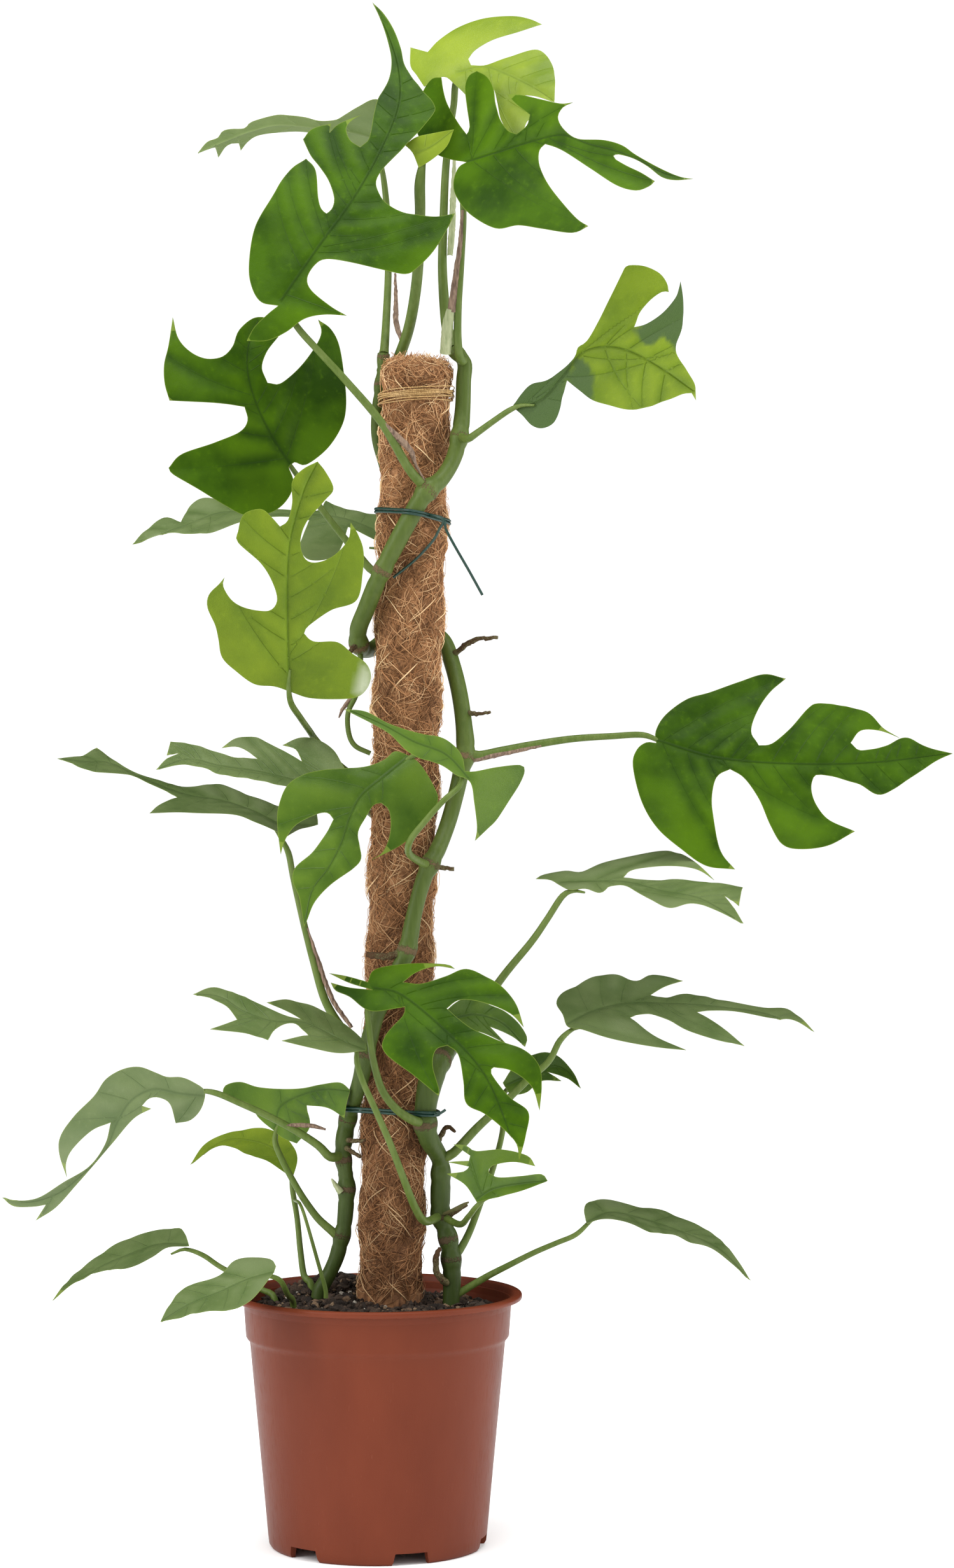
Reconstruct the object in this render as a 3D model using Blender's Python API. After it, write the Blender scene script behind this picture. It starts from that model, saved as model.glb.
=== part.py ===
"""Mini monstera in a nursery pot, climbing a coir pole: metres, +Z up, standing on its pot's feet.

Sizes are in millimetres and become metres where a mesh is made. The plant was laid out by sighting:
a sighting is a picture column, a picture row and a depth, and seen() turns it into a place. The
viewer stands in front, along -Y, level, and depth grows away from the viewer, from the pot's axis.
"""

import math

import bmesh
import bpy
import numpy as np
from mathutils import Vector
from mathutils.geometry import delaunay_2d_cdt

MM = 0.001

# Driving dimensions, in millimetres
RIM_RADIUS = 95.0
POT_HEIGHT = 165.3
POT_WALL = 1.8
LIP_DEPTH = 4.0
COLLAR_STEP = (134.0, 137.0)
COLLAR_RADII = (83.9, 86.4)
UNDER_LIP_RADIUS = 88.1
FOOT_RADIUS = 71.5
FOOT_HEIGHT = 9.0
FOOT_COUNT = 6
NOTCH_TURN = -70.8
FLOOR_THICKNESS = 2.0
DRAIN_RADIUS = 5.0
DRAIN_REACH = 48.0
SOIL_HEIGHT = 155.0
SOIL_MOUND = 15.0
SOIL_EDGE = 150.0
POLE_LENGTH = 756.0
POLE_RADIUS = (20.8, 22.6)
NET_RELIEF = 0.7
NET_LOBES = 4
NET_PITCH = 9.0
SLEEVE_CROWN = ((4.0, 19.5), (7.0, 12.0))
STAKE_RADIUS = 9.5
STAKE_DROP = 5.0
STAKE_SHORT = 12.0
BINDING_RADIUS = 1.0
BINDING_TURNS = 4
BINDING_SPAN = 9.0
TIE_RADIUS = 0.9
TIE_SLACK = 0.6
BLADE = 0.8
BLADE_GRID = 17.0
RIB_RADII = (0.9, 1.5)
SOIL_ROOT = 28.0

# Clearances, in millimetres
GAP = 0.35
WALL_CLEARANCE = 0.3
SLEEVE_CLEARANCE = 0.9
BINDING_CLEARANCE = 0.8
STEM_CLEARANCE = 3.6
PETIOLE_CLEARANCE = 1.6

# How finely round pieces are divided
POT_SIDES = 42
SOIL_SIDES = 36
POLE_SIDES = 18
POLE_RINGS = 40
VINE_SIDES = 8
VINE_STEP = 13.0
PETIOLE_SIDES = 6
PETIOLE_STEP = 22.0
THIN_SIDES = 6

# The viewer's eye from the pot's axis on the ground, and the picture's focal length and middle
EYE = Vector((65.3, -2369.0, 499.4))
FOCAL_PX = 5660.0
MIDDLE_PX = (749.5, 1232.0)

FRONT = "front"
BACK = "back"

COLOURS = {
    "dark": (0.035, 0.13, 0.012),
    "mid": (0.075, 0.20, 0.02),
    "light": (0.20, 0.36, 0.05),
    "vine": (0.045, 0.12, 0.03),
    "pot": (0.20, 0.040, 0.018),
    "soil": (0.035, 0.022, 0.012),
    "coir": (0.30, 0.14, 0.055),
    "stake": (0.45, 0.30, 0.16),
    "binding": (0.62, 0.38, 0.10),
    "tie": (0.010, 0.055, 0.035),
}


def seen(px, py, depth=0.0):
    """The place of a sighting: picture column and row, and depth in millimetres."""
    reach = (depth - EYE.y) / FOCAL_PX
    return Vector((EYE.x + (px - MIDDLE_PX[0]) * reach, depth, EYE.z - (py - MIDDLE_PX[1]) * reach))


POLE_FOOT = seen(612, 2050, 5.0)
POLE_TOP = seen(655, 582, 5.0)
POLE_AXIS = (POLE_TOP - POLE_FOOT).normalized()
POLE_BOTTOM = POLE_TOP - POLE_AXIS * POLE_LENGTH


BINDING_Z = seen(655, 624, 5.0).z


def pole_centre(z):
    """The middle of the pole at a height."""
    return POLE_FOOT + POLE_AXIS * ((z - POLE_FOOT.z) / POLE_AXIS.z)


def pole_radius(z):
    """The sleeve thickens a little towards its top."""
    share = min(max((z - POLE_BOTTOM.z) / POLE_LENGTH, 0.0), 1.0)
    return POLE_RADIUS[0] + (POLE_RADIUS[1] - POLE_RADIUS[0]) * share


def beside_pole(px, py, radius, side):
    """A sighting whose depth makes a stem of this radius lie against the pole, in front or behind."""
    depth = POLE_FOOT.y
    for _ in range(4):
        point = seen(px, py, depth)
        middle = pole_centre(point.z)
        reach = pole_radius(point.z) + STEM_CLEARANCE + radius
        across = point.x - middle.x
        off = math.sqrt(max(reach * reach - across * across, 0.0))
        depth = middle.y + (off if side == BACK else -off)
    return seen(px, py, depth)


def place(sighting, radius):
    """A sighting's place, where a depth may be FRONT or BACK for against the pole."""
    px, py, depth = sighting[:3]
    if depth in (FRONT, BACK):
        return beside_pole(px, py, radius, depth)
    return seen(px, py, depth)


def off_pole(point, radius, clear=PETIOLE_CLEARANCE):
    """The point, pushed straight out of the pole where a stem of this radius would cut it."""
    if point.z > POLE_TOP.z + radius + 1.0:
        return point
    middle = pole_centre(point.z)
    away = Vector((point.x - middle.x, point.y - middle.y, 0.0))
    least = pole_radius(point.z) + clear + radius
    if away.length >= least or away.length < 1e-6:
        return point
    return point + away.normalized() * (least - away.length)


def smooth_curve(points, step):
    """A smooth curve through points of any dimension, with a point about every step."""
    points = [np.asarray(p, float) for p in points]
    if len(points) < 3:
        count = max(1, round(np.linalg.norm(points[-1][:3] - points[0][:3]) / step))
        return [points[0] + (points[-1] - points[0]) * k / count for k in range(count + 1)]
    ends = [2 * points[0] - points[1]] + points + [2 * points[-1] - points[-2]]
    curve = []
    for a, b, c, d in zip(ends, ends[1:], ends[2:], ends[3:]):
        count = max(1, round(np.linalg.norm(c[:3] - b[:3]) / step))
        for k in range(count):
            t = k / count
            square, cube = 2 * a - 5 * b + 4 * c - d, 3 * b - a - 3 * c + d
            curve.append(0.5 * (2 * b + (c - a) * t + square * t**2 + cube * t**3))
    curve.append(points[-1])
    return curve


def material(name, colour, roughness):
    """A plain finish."""
    finish = bpy.data.materials.new(name)
    finish.use_nodes = True
    shader = finish.node_tree.nodes["Principled BSDF"]
    shader.inputs["Base Color"].default_value = (*colour, 1.0)
    shader.inputs["Roughness"].default_value = roughness
    finish.diffuse_color = (*colour, 1.0)
    return finish


def solid(name, vertices, faces, colour=None, roughness=0.5):
    """An object from points in millimetres, with its own finish if it has a colour."""
    mesh = bpy.data.meshes.new(name)
    mesh.from_pydata([tuple(np.asarray(v, float)[:3] * MM) for v in vertices], [], faces)
    mesh.validate()
    if colour:
        mesh.materials.append(material(name, COLOURS[colour], roughness))
    mesh.shade_smooth()
    mesh.set_sharp_from_angle(angle=math.radians(40))
    made = bpy.data.objects.new(name, mesh)
    bpy.context.scene.collection.objects.link(made)
    return made


def tube_mesh(path, sides, closed=False):
    """Vertices and faces of a round tube along points (x, y, z, radius)."""
    path = [np.asarray(p, float) for p in path]
    count = len(path)
    centres = [Vector(p[:3]) for p in path]
    along = []
    for k in range(count):
        before = centres[(k - 1) % count] if closed or k else centres[k]
        after = centres[(k + 1) % count] if closed or k < count - 1 else centres[k]
        along.append((after - before).normalized())
    side = along[0].orthogonal().normalized()
    vertices = []
    for k in range(count):
        side = (side - along[k] * side.dot(along[k])).normalized()
        other = along[k].cross(side)
        for n in range(sides):
            turn = 2 * math.pi * n / sides
            vertices.append(centres[k] + (side * math.cos(turn) + other * math.sin(turn)) * path[k][3])
    faces = []
    for k in range(count if closed else count - 1):
        a, b = k * sides, (k + 1) % count * sides
        for n in range(sides):
            m = (n + 1) % sides
            faces.append((a + n, a + m, b + m, b + n))
    if not closed:
        faces.append(tuple(reversed(range(sides))))
        faces.append(tuple(range((count - 1) * sides, count * sides)))
    return vertices, faces


def tube(name, path, sides, colour=None, closed=False, roughness=0.5):
    """A round tube as an object."""
    vertices, faces = tube_mesh(path, sides, closed)
    return solid(name, vertices, faces, colour, roughness)


def grown(path, by, start=0.0, end=0.0):
    """The same path with a larger radius, and longer at its ends."""
    rows = [np.asarray(p, float).copy() for p in path]
    for row in rows:
        row[3] += by
    first = rows[0][:3] - rows[1][:3]
    last = rows[-1][:3] - rows[-2][:3]
    rows[0][:3] += first / np.linalg.norm(first) * start
    rows[-1][:3] += last / np.linalg.norm(last) * end
    return rows


def turned(name, profile, segments, colour=None, roughness=0.5):
    """A turned solid from (radius, height) points, running up the outer side and back down the inner."""
    vertices, rings = [], []
    for radius, height in profile:
        if radius < 1e-9:
            rings.append([len(vertices)] * segments)
            vertices.append(Vector((0.0, 0.0, height)))
            continue
        rings.append(list(range(len(vertices), len(vertices) + segments)))
        for n in range(segments):
            turn = 2 * math.pi * n / segments
            vertices.append(Vector((radius * math.cos(turn), radius * math.sin(turn), height)))
    faces = []
    for low, high in zip(rings, rings[1:] + rings[:1]):
        for n in range(segments):
            m = (n + 1) % segments
            corners = []
            for corner in (low[n], low[m], high[m], high[n]):
                if corner not in corners:
                    corners.append(corner)
            if len(corners) > 2:
                faces.append(tuple(corners))
    return solid(name, vertices, faces, colour, roughness)


def is_closed(mesh):
    """Whether every edge has two faces."""
    shell = bmesh.new()
    shell.from_mesh(mesh)
    closed = bool(shell.faces) and all(len(edge.link_faces) == 2 for edge in shell.edges)
    shell.free()
    return closed


def combine(base, others, operation):
    """Joins the others to the base, or cuts them from it, and removes them."""
    group = bpy.data.collections.new("operands")
    for other in others:
        group.objects.link(other)
    bpy.context.scene.collection.children.link(group)
    old = base.data
    for solver in ("EXACT", "MANIFOLD"):
        step = base.modifiers.new("combine", "BOOLEAN")
        step.operation = operation
        step.solver = solver
        step.operand_type = "COLLECTION"
        step.collection = group
        shape = base.evaluated_get(bpy.context.evaluated_depsgraph_get())
        result = bpy.data.meshes.new_from_object(shape)
        base.modifiers.remove(step)
        if is_closed(result):
            break
    base.data = result
    bpy.data.meshes.remove(old)
    for other in others:
        bpy.data.objects.remove(other)
    bpy.data.collections.remove(group)
    return base


def largest_part(made):
    """Drops the loose scraps of an object and keeps its largest connected part."""
    shell = bmesh.new()
    shell.from_mesh(made.data)
    waiting = set(shell.verts)
    parts = []
    while waiting:
        part, border = set(), [waiting.pop()]
        while border:
            vertex = border.pop()
            part.add(vertex)
            for edge in vertex.link_edges:
                other = edge.other_vert(vertex)
                if other in waiting:
                    waiting.discard(other)
                    border.append(other)
        parts.append(part)
    keep = max(parts, key=len)
    bmesh.ops.delete(shell, geom=[v for v in shell.verts if v not in keep], context="VERTS")
    shell.to_mesh(made.data)
    shell.free()


# Pot and soil


def wall_radius(z):
    """The pot's outer radius: a tapered wall, a bevelled step and a straighter collar."""
    heights = (0.0, 3.0, *COLLAR_STEP, POT_HEIGHT - LIP_DEPTH)
    radii = (FOOT_RADIUS - 1.1, FOOT_RADIUS, *COLLAR_RADII, UNDER_LIP_RADIUS)
    return float(np.interp(z, heights, radii))


def inner_radius(z):
    """The pot's inner radius."""
    return wall_radius(z) - POT_WALL


def build_pot():
    """A moulded pot: rolled lip, stepped collar, tapered wall, floor with drains, notched foot ring."""
    floor_top = FOOT_HEIGHT + FLOOR_THICKNESS
    lip_bottom = POT_HEIGHT - LIP_DEPTH
    profile = [
        (0.0, FOOT_HEIGHT),
        (FOOT_RADIUS - 5.5, FOOT_HEIGHT),
        (FOOT_RADIUS - 4.2, FOOT_HEIGHT - 1.5),
        (FOOT_RADIUS - 4.4, 0.0),
        (FOOT_RADIUS - 1.6, 0.0),
        (FOOT_RADIUS - 0.2, 2.0),
        (wall_radius(7.0), 7.0),
        *((wall_radius(h), h) for h in COLLAR_STEP),
        (wall_radius(lip_bottom), lip_bottom),
        (RIM_RADIUS - 1.0, lip_bottom),
        (RIM_RADIUS, lip_bottom + 1.0),
        (RIM_RADIUS, POT_HEIGHT - 1.0),
        (RIM_RADIUS - 1.0, POT_HEIGHT),
        (RIM_RADIUS - 4.6, POT_HEIGHT),
        (RIM_RADIUS - 5.8, POT_HEIGHT - 1.0),
        (RIM_RADIUS - 6.6, POT_HEIGHT - 5.0),
        *((inner_radius(h), h) for h in reversed(COLLAR_STEP)),
        (inner_radius(floor_top + 3.0), floor_top + 3.0),
        (inner_radius(floor_top) - 3.0, floor_top),
        (0.0, floor_top),
    ]
    pot = turned("pot", profile, POT_SIDES, "pot", 0.42)
    cutters = []
    for k in range(FOOT_COUNT):
        turn = 2 * math.pi * k / FOOT_COUNT
        cutters.append(notch(math.radians(NOTCH_TURN) + turn))
        x, y = DRAIN_REACH * math.cos(turn), DRAIN_REACH * math.sin(turn)
        cutters.append(tube("drain", [(x, y, h, DRAIN_RADIUS) for h in (FOOT_HEIGHT - 3, floor_top + 3)], 10))
    return combine(pot, cutters, "DIFFERENCE")


def notch(turn):
    """A slant-sided wedge that cuts the foot ring between two feet."""
    vertices = []
    for radius in (FOOT_RADIUS - 12.0, FOOT_RADIUS + 6.0):
        for height, half in ((-2.0, 10.6), (FOOT_HEIGHT - 1.2, 8.6)):
            for way in (-1, 1):
                angle = turn + math.radians(half * way)
                vertices.append((radius * math.cos(angle), radius * math.sin(angle), height))
    faces = [(0, 2, 3, 1), (4, 5, 7, 6), (0, 1, 5, 4), (2, 6, 7, 3), (0, 4, 6, 2), (1, 3, 7, 5)]
    return solid("notch", vertices, faces)


def soil_top(x, y):
    """The soil's height: lower at the rim, heaped behind and left of the pole."""
    distance = math.hypot(x, y)
    rim_fall = 4.0 * max(0.0, distance / 86.0 - 0.75) / 0.25
    heap = SOIL_MOUND * math.exp(-(((x + 30) / 38) ** 2 + ((y - 36) / 30) ** 2))
    collar = 3.0 * math.exp(-(((x - 8) / 34) ** 2 + ((y - 5) / 30) ** 2))
    clods = 0.9 * math.sin(x * 0.23 + 1.3) * math.sin(y * 0.19 - 0.7) + 0.6 * math.sin(x * 0.51 - y * 0.37)
    return SOIL_HEIGHT + heap + collar + clods - rim_fall


def build_soil(rooms):
    """One packed body of soil with plain holes where the stems and the pole stand."""
    bottom = FOOT_HEIGHT + FLOOR_THICKNESS + GAP
    fit = GAP + WALL_CLEARANCE
    profile = [(0.0, bottom), (inner_radius(bottom) - 4.0 - GAP, bottom)]
    profile += [(inner_radius(h) - fit, h) for h in (bottom + 4.0, *COLLAR_STEP, SOIL_EDGE)]
    profile += [(radius, SOIL_HEIGHT) for radius in (84.5, 74.0, 60.0, 45.0, 30.0, 15.0, 0.0)]
    soil = turned("soil", profile, SOIL_SIDES, "soil", 0.95)
    for vertex in soil.data.vertices:
        if vertex.co.z > (SOIL_EDGE + 1.0) * MM:
            vertex.co.z = soil_top(vertex.co.x / MM, vertex.co.y / MM) * MM
    return combine(soil, rooms, "DIFFERENCE")


# Pole, stake, binding and ties


def build_pole():
    """The coir sleeve: a leaning tube, its plaited lumps in a raised net, open below for the stake."""
    sides = POLE_SIDES
    bore = STAKE_RADIUS + GAP
    inside = POLE_LENGTH - STAKE_SHORT
    across = POLE_AXIS.orthogonal().normalized()
    other = POLE_AXIS.cross(across)
    vertices, faces = [], []

    def ring(height, radius_at):
        start = len(vertices)
        for n in range(sides):
            turn = 2 * math.pi * n / sides
            out = across * math.cos(turn) + other * math.sin(turn)
            vertices.append(POLE_BOTTOM + POLE_AXIS * height + out * radius_at(turn))
        return start

    def lumpy(height):
        def radius_at(turn):
            lobe, climb = NET_LOBES * turn, height / NET_PITCH
            net = math.cos(lobe + climb) * math.cos(lobe - climb)
            base = POLE_RADIUS[0] + (POLE_RADIUS[1] - POLE_RADIUS[0]) * height / POLE_LENGTH
            return base + NET_RELIEF * net * min(1.0, height / 20.0)

        return radius_at

    heights = [POLE_LENGTH * k / POLE_RINGS for k in range(POLE_RINGS + 1)]
    starts = [ring(height, lumpy(height)) for height in heights]
    for rise, radius in SLEEVE_CROWN:
        starts.append(ring(POLE_LENGTH + rise, lambda turn: radius + 1.2 * math.cos(5 * turn)))
    for low, high in zip(starts, starts[1:]):
        for n in range(sides):
            m = (n + 1) % sides
            faces.append((low + n, low + m, high + m, high + n))
    faces.append(tuple(range(starts[-1], starts[-1] + sides)))
    inner_low = ring(0.0, lambda turn: bore)
    inner_high = ring(inside, lambda turn: bore)
    for n in range(sides):
        m = (n + 1) % sides
        faces.append((starts[0] + m, starts[0] + n, inner_low + n, inner_low + m))
        faces.append((inner_low + m, inner_low + n, inner_high + n, inner_high + m))
    faces.append(tuple(reversed(range(inner_high, inner_high + sides))))
    return solid("coir_pole", vertices, faces, "coir", 0.95)


def build_stake():
    """The rod inside the sleeve, its foot a little below the sleeve's."""
    low = POLE_BOTTOM - POLE_AXIS * STAKE_DROP
    high = POLE_BOTTOM + POLE_AXIS * (POLE_LENGTH - STAKE_SHORT - GAP)
    bevel = low + POLE_AXIS * 6.0
    path = [(*low, STAKE_RADIUS * 0.7), (*bevel, STAKE_RADIUS), (*high, STAKE_RADIUS)]
    return tube("pole_stake", path, POLE_SIDES, "stake", roughness=0.8)


def build_binding():
    """Twine wound round the top of the sleeve, each turn tight and a little askew."""
    per_turn = 20
    count = BINDING_TURNS * per_turn
    path = []
    for k in range(count + 1):
        turn = 2 * math.pi * k / per_turn
        middle = pole_centre(BINDING_Z + BINDING_SPAN * (k / count - 0.5))
        radius = pole_radius(middle.z) + BINDING_CLEARANCE + BINDING_RADIUS + GAP
        x, y = radius * math.cos(turn), radius * math.sin(turn)
        path.append((*(middle + Vector((x, y, 0.06 * x))), BINDING_RADIUS))
    return tube("pole_binding", path, 5, "binding", roughness=0.6)


def around(circles, count):
    """The taut loop round several circles (x, y, radius): the points of their hull."""
    points = []
    for x, y, radius in circles:
        for n in range(72):
            turn = 2 * math.pi * n / 72
            points.append((x + radius * math.cos(turn), y + radius * math.sin(turn)))
    points.sort()

    def half(ordered):
        hull = []
        for p in ordered:
            while len(hull) > 1 and (hull[-1][0] - hull[-2][0]) * (p[1] - hull[-2][1]) <= (
                hull[-1][1] - hull[-2][1]
            ) * (p[0] - hull[-2][0]):
                hull.pop()
            hull.append(p)
        return hull[:-1]

    hull = half(points) + half(points[::-1])
    lengths = [0.0]
    for a, b in zip(hull, hull[1:] + hull[:1]):
        lengths.append(lengths[-1] + math.dist(a, b))
    loop = []
    for k in range(count):
        goal = lengths[-1] * k / count
        n = max(i for i in range(len(hull)) if lengths[i] <= goal)
        share = (goal - lengths[n]) / (lengths[n + 1] - lengths[n])
        a, b = hull[n], hull[(n + 1) % len(hull)]
        loop.append((a[0] + (b[0] - a[0]) * share, a[1] + (b[1] - a[1]) * share))
    return loop


def girths(path, height_at):
    """The circles (x, y, radius) in which a stem's round body meets a tilted level."""
    circles = []
    for here, there in zip(path, path[1:]):
        for share in np.linspace(0.0, 1.0, 8):
            x, y, z, radius = here + (there - here) * share
            reach = radius + TIE_RADIUS + TIE_SLACK
            off = z - height_at(x)
            if abs(off) < reach:
                circles.append((x, y, math.sqrt(reach * reach - off * off)))
    return circles


def build_tie(name, z, tilt, stems, tails):
    """A coated wire pulled tight round the pole and stems, its twisted end left standing."""
    middle = pole_centre(z)

    def height_at(x):
        return z + tilt * (x - middle.x)

    circles = [(middle.x, middle.y, pole_radius(z) + SLEEVE_CLEARANCE + TIE_RADIUS + GAP)]
    for stem in stems:
        circles += girths(stem, height_at)
    loop = around(circles, 40)
    path = [(x, y, height_at(x), TIE_RADIUS) for x, y in loop]
    tie = tube(name, path, THIN_SIDES, "tie", closed=True, roughness=0.4)
    ends = []
    for points in tails:
        places = [seen(*p) for p in points]
        places.insert(0, Vector(nearest(path, places[0])))
        ends.append(tube(name + "_end", smooth_curve([(*p, TIE_RADIUS) for p in places], 8.0), THIN_SIDES))
    return combine(tie, ends, "UNION")


# Vines

LEFT_VINE = [
    (503, 2110, 8, 4.2), (499, 2060, 8, 4.6), (502, 2030, 8, 4.9), (514, 2008, 7, 4.8), (528, 1978, 6, 5.0),
    (536, 1948, 5, 5.4), (542, 1915, 4, 5.2), (545, 1868, 4, 5.6), (543, 1845, 4, 5.2), (539, 1815, 4, 5.2),
    (541, 1790, 4, 5.8), (547, 1757, FRONT, 5.6), (557, 1727, FRONT, 5.2), (567, 1695, FRONT, 5.4),
    (575, 1655, FRONT, 5.8), (590, 1600, FRONT, 5.2), (606, 1565, FRONT, 5.3), (626, 1525, FRONT, 5.4),
    (641, 1488, FRONT, 6.0), (650, 1440, FRONT, 5.2), (663, 1390, FRONT, 5.2), (675, 1360, FRONT, 6.0),
    (691, 1328, FRONT, 5.3), (705, 1290, FRONT, 5.3), (716, 1250, 0, 5.3), (723, 1220, 2, 5.4),
    (731, 1182, 4, 6.4), (729, 1140, 8, 5.6), (722, 1090, 16, 5.4), (711, 1045, 28, 5.4),
    (697, 1008, 38, 5.4), (670, 990, 45, 5.2), (640, 990, 47, 5.0), (608, 1002, 43, 5.0),
    (584, 1020, 32, 5.2), (566, 1016, 10, 6.2), (563, 990, 0, 5.8), (575, 958, FRONT, 5.8),
    (590, 920, FRONT, 5.8), (604, 890, FRONT, 5.8), (622, 855, FRONT, 5.9), (641, 820, FRONT, 6.0),
    (658, 790, FRONT, 6.0), (672, 770, FRONT, 6.8), (694, 752, FRONT, 5.4), (712, 722, FRONT, 5.2),
    (722, 685, FRONT, 5.8), (726, 645, 0, 5.2), (723, 600, 2, 5.0), (717, 570, 4, 4.9), (712, 548, 6, 4.6),
]
RIGHT_VINE = [
    (702, 2120, 2, 5.0), (706, 2070, 2, 5.2), (709, 2040, 3, 5.6), (710, 2010, 4, 6.0), (709, 1980, 4, 6.4),
    (704, 1946, 4, 6.1), (693, 1910, 4, 6.5), (686, 1880, 3, 6.6), (684, 1850, 2, 6.6), (680, 1820, 0, 5.8),
    (674, 1790, FRONT, 6.6), (668, 1764, FRONT, 7.6), (669, 1738, FRONT, 7.2), (676, 1702, FRONT, 8.0),
    (688, 1670, FRONT, 8.0), (701, 1645, 10, 7.2), (697, 1615, 20, 6.4), (674, 1585, BACK, 5.6),
    (650, 1545, BACK, 5.4), (632, 1490, BACK, 5.2), (624, 1420, BACK, 5.2), (628, 1340, BACK, 5.2),
    (640, 1270, BACK, 5.6), (646, 1200, BACK, 5.0), (640, 1110, BACK, 5.0), (628, 1060, BACK, 4.8),
    (622, 960, BACK, 4.8), (626, 880, BACK, 5.2), (624, 800, BACK, 4.6), (606, 735, BACK, 4.2),
    (594, 690, BACK, 4.2), (593, 650, BACK, 4.0), (598, 605, BACK, 3.8), (603, 556, BACK, 3.6),
]


def vine_path(sightings):
    """A vine's smooth path, (x, y, z, radius), from its sightings."""
    points = [off_pole(place(s, s[3]), s[3], STEM_CLEARANCE) for s in sightings]
    return smooth_curve([(*p, s[3]) for p, s in zip(points, sightings)], VINE_STEP)


def nearest(path, point):
    """The point on a path that is nearest a place."""
    point = np.asarray(point, float)
    return min(path, key=lambda p: float(np.linalg.norm(p[:3] - point)))[:3]


ROOTLETS = {
    "vine_left": [
        [(535, 1800, -2, 2.0), (550, 1808, -6, 1.6), (566, 1818, -14, 1.1)],
        [(535, 1790, -2, 2.0), (556, 1793, -8, 1.5), (574, 1792, -15, 1.0)],
        [(672, 1360, -21, 2.4), (692, 1363, -26, 1.8), (714, 1366, -28, 1.2)],
        [(729, 1115, 8, 2.0), (748, 1122, 4, 1.5), (770, 1119, 0, 1.0)],
        [(712, 1015, 22, 2.2), (745, 1006, 18, 1.7), (782, 1002, 14, 1.1)],
        [(642, 1495, -22, 2.4), (610, 1503, -27, 2.6), (576, 1500, -22, 2.0)],
        [(566, 1016, 2, 2.2), (552, 1022, -4, 1.6), (542, 1036, -8, 1.0)],
    ],
    "vine_right": [
        [(700, 1918, 2, 2.0), (716, 1904, -2, 1.5), (734, 1893, -4, 1.0)],
        [(683, 1778, 0, 2.2), (700, 1772, -6, 1.6), (716, 1778, -9, 1.0)],
        [(709, 2018, 2, 2.4), (696, 2012, -3, 2.5), (686, 1998, -4, 2.4), (685, 1978, -4, 2.0),
         (691, 1960, -4, 1.2)],
    ],
}


def build_vine(name, path):
    """A vine with its rootlets grown from it."""
    vine = tube(name, path, VINE_SIDES, "vine", roughness=0.45)
    roots = []
    for root in ROOTLETS[name]:
        start = nearest(path, seen(*root[0][:3]))
        points = [(*start, root[0][3])] + [(*off_pole(seen(*r[:3]), r[3]), r[3]) for r in root[1:]]
        roots.append(tube(name + "_root", smooth_curve(points, 7.0), 5))
    return combine(vine, roots, "UNION")


# Leaves


class Surface:
    """A blade's middle surface: a plane through base, tip and side, bent along and across."""

    def __init__(self, base, tip, side, arch=0.0, fold=0.0, cup=0.0, twist=0.0):
        self.base = seen(*base)
        chord = seen(*tip) - self.base
        self.length = chord.length
        self.along = chord.normalized()
        facing = chord.cross(seen(*side) - self.base).normalized()
        if facing.dot(EYE - self.base) < 0:
            facing = -facing
        self.facing = facing
        self.across = facing.cross(self.along)
        self.arch, self.fold, self.cup, self.twist = arch, fold, cup, twist

    def height(self, u, v):
        """How far the blade stands off its plane."""
        s = u / self.length
        bend = self.arch * self.length * 4 * s * (1 - s)
        crease = self.fold * (math.sqrt(v * v + 9.0) - 3.0)
        return bend - crease - self.cup * v * v / self.length + self.twist * s * v

    def point(self, u, v, lift=0.0):
        """A place on the blade, lifted off its middle surface."""
        small = 0.5
        centre = self.height(u, v)
        slope_u = (self.height(u + small, v) - centre) / small
        slope_v = (self.height(u, v + small) - centre) / small
        normal = (self.facing - self.along * slope_u - self.across * slope_v).normalized()
        return self.base + self.along * u + self.across * v + self.facing * centre + normal * lift

    def under_sighting(self, px, py):
        """Where the sight line through a pixel meets the blade, as (along, across)."""
        ray = (seen(px, py, 0.0) - EYE).normalized()

        def miss(t):
            reached = EYE + ray * t - self.base
            u, v = reached.dot(self.along), reached.dot(self.across)
            return reached.dot(self.facing) - self.height(u, v), u, v

        t = (self.base - EYE).dot(self.facing) / ray.dot(self.facing)
        for _ in range(20):
            off, u, v = miss(t)
            slope = (miss(t + 0.5)[0] - off) / 0.5
            step = -off / slope if abs(slope) > 1e-4 else 0.0
            t += max(-20.0, min(20.0, step))
        return miss(t)[1:]


def inside(point, loop):
    """Whether a point lies inside a closed loop."""
    x, y = point
    found = False
    for (ax, ay), (bx, by) in zip(loop, loop[1:] + loop[:1]):
        if (ay > y) != (by > y) and x < (bx - ax) * (y - ay) / (by - ay) + ax:
            found = not found
    return found


def distance_to(point, loop):
    """How far a point is from a closed loop."""
    p = np.asarray(point)
    a = np.asarray(loop)
    b = np.roll(a, -1, axis=0)
    run = b - a
    share = np.clip(((p - a) * run).sum(1) / np.maximum((run * run).sum(1), 1e-12), 0, 1)
    return float(np.linalg.norm(a + run * share[:, None] - p, axis=1).min())


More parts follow.
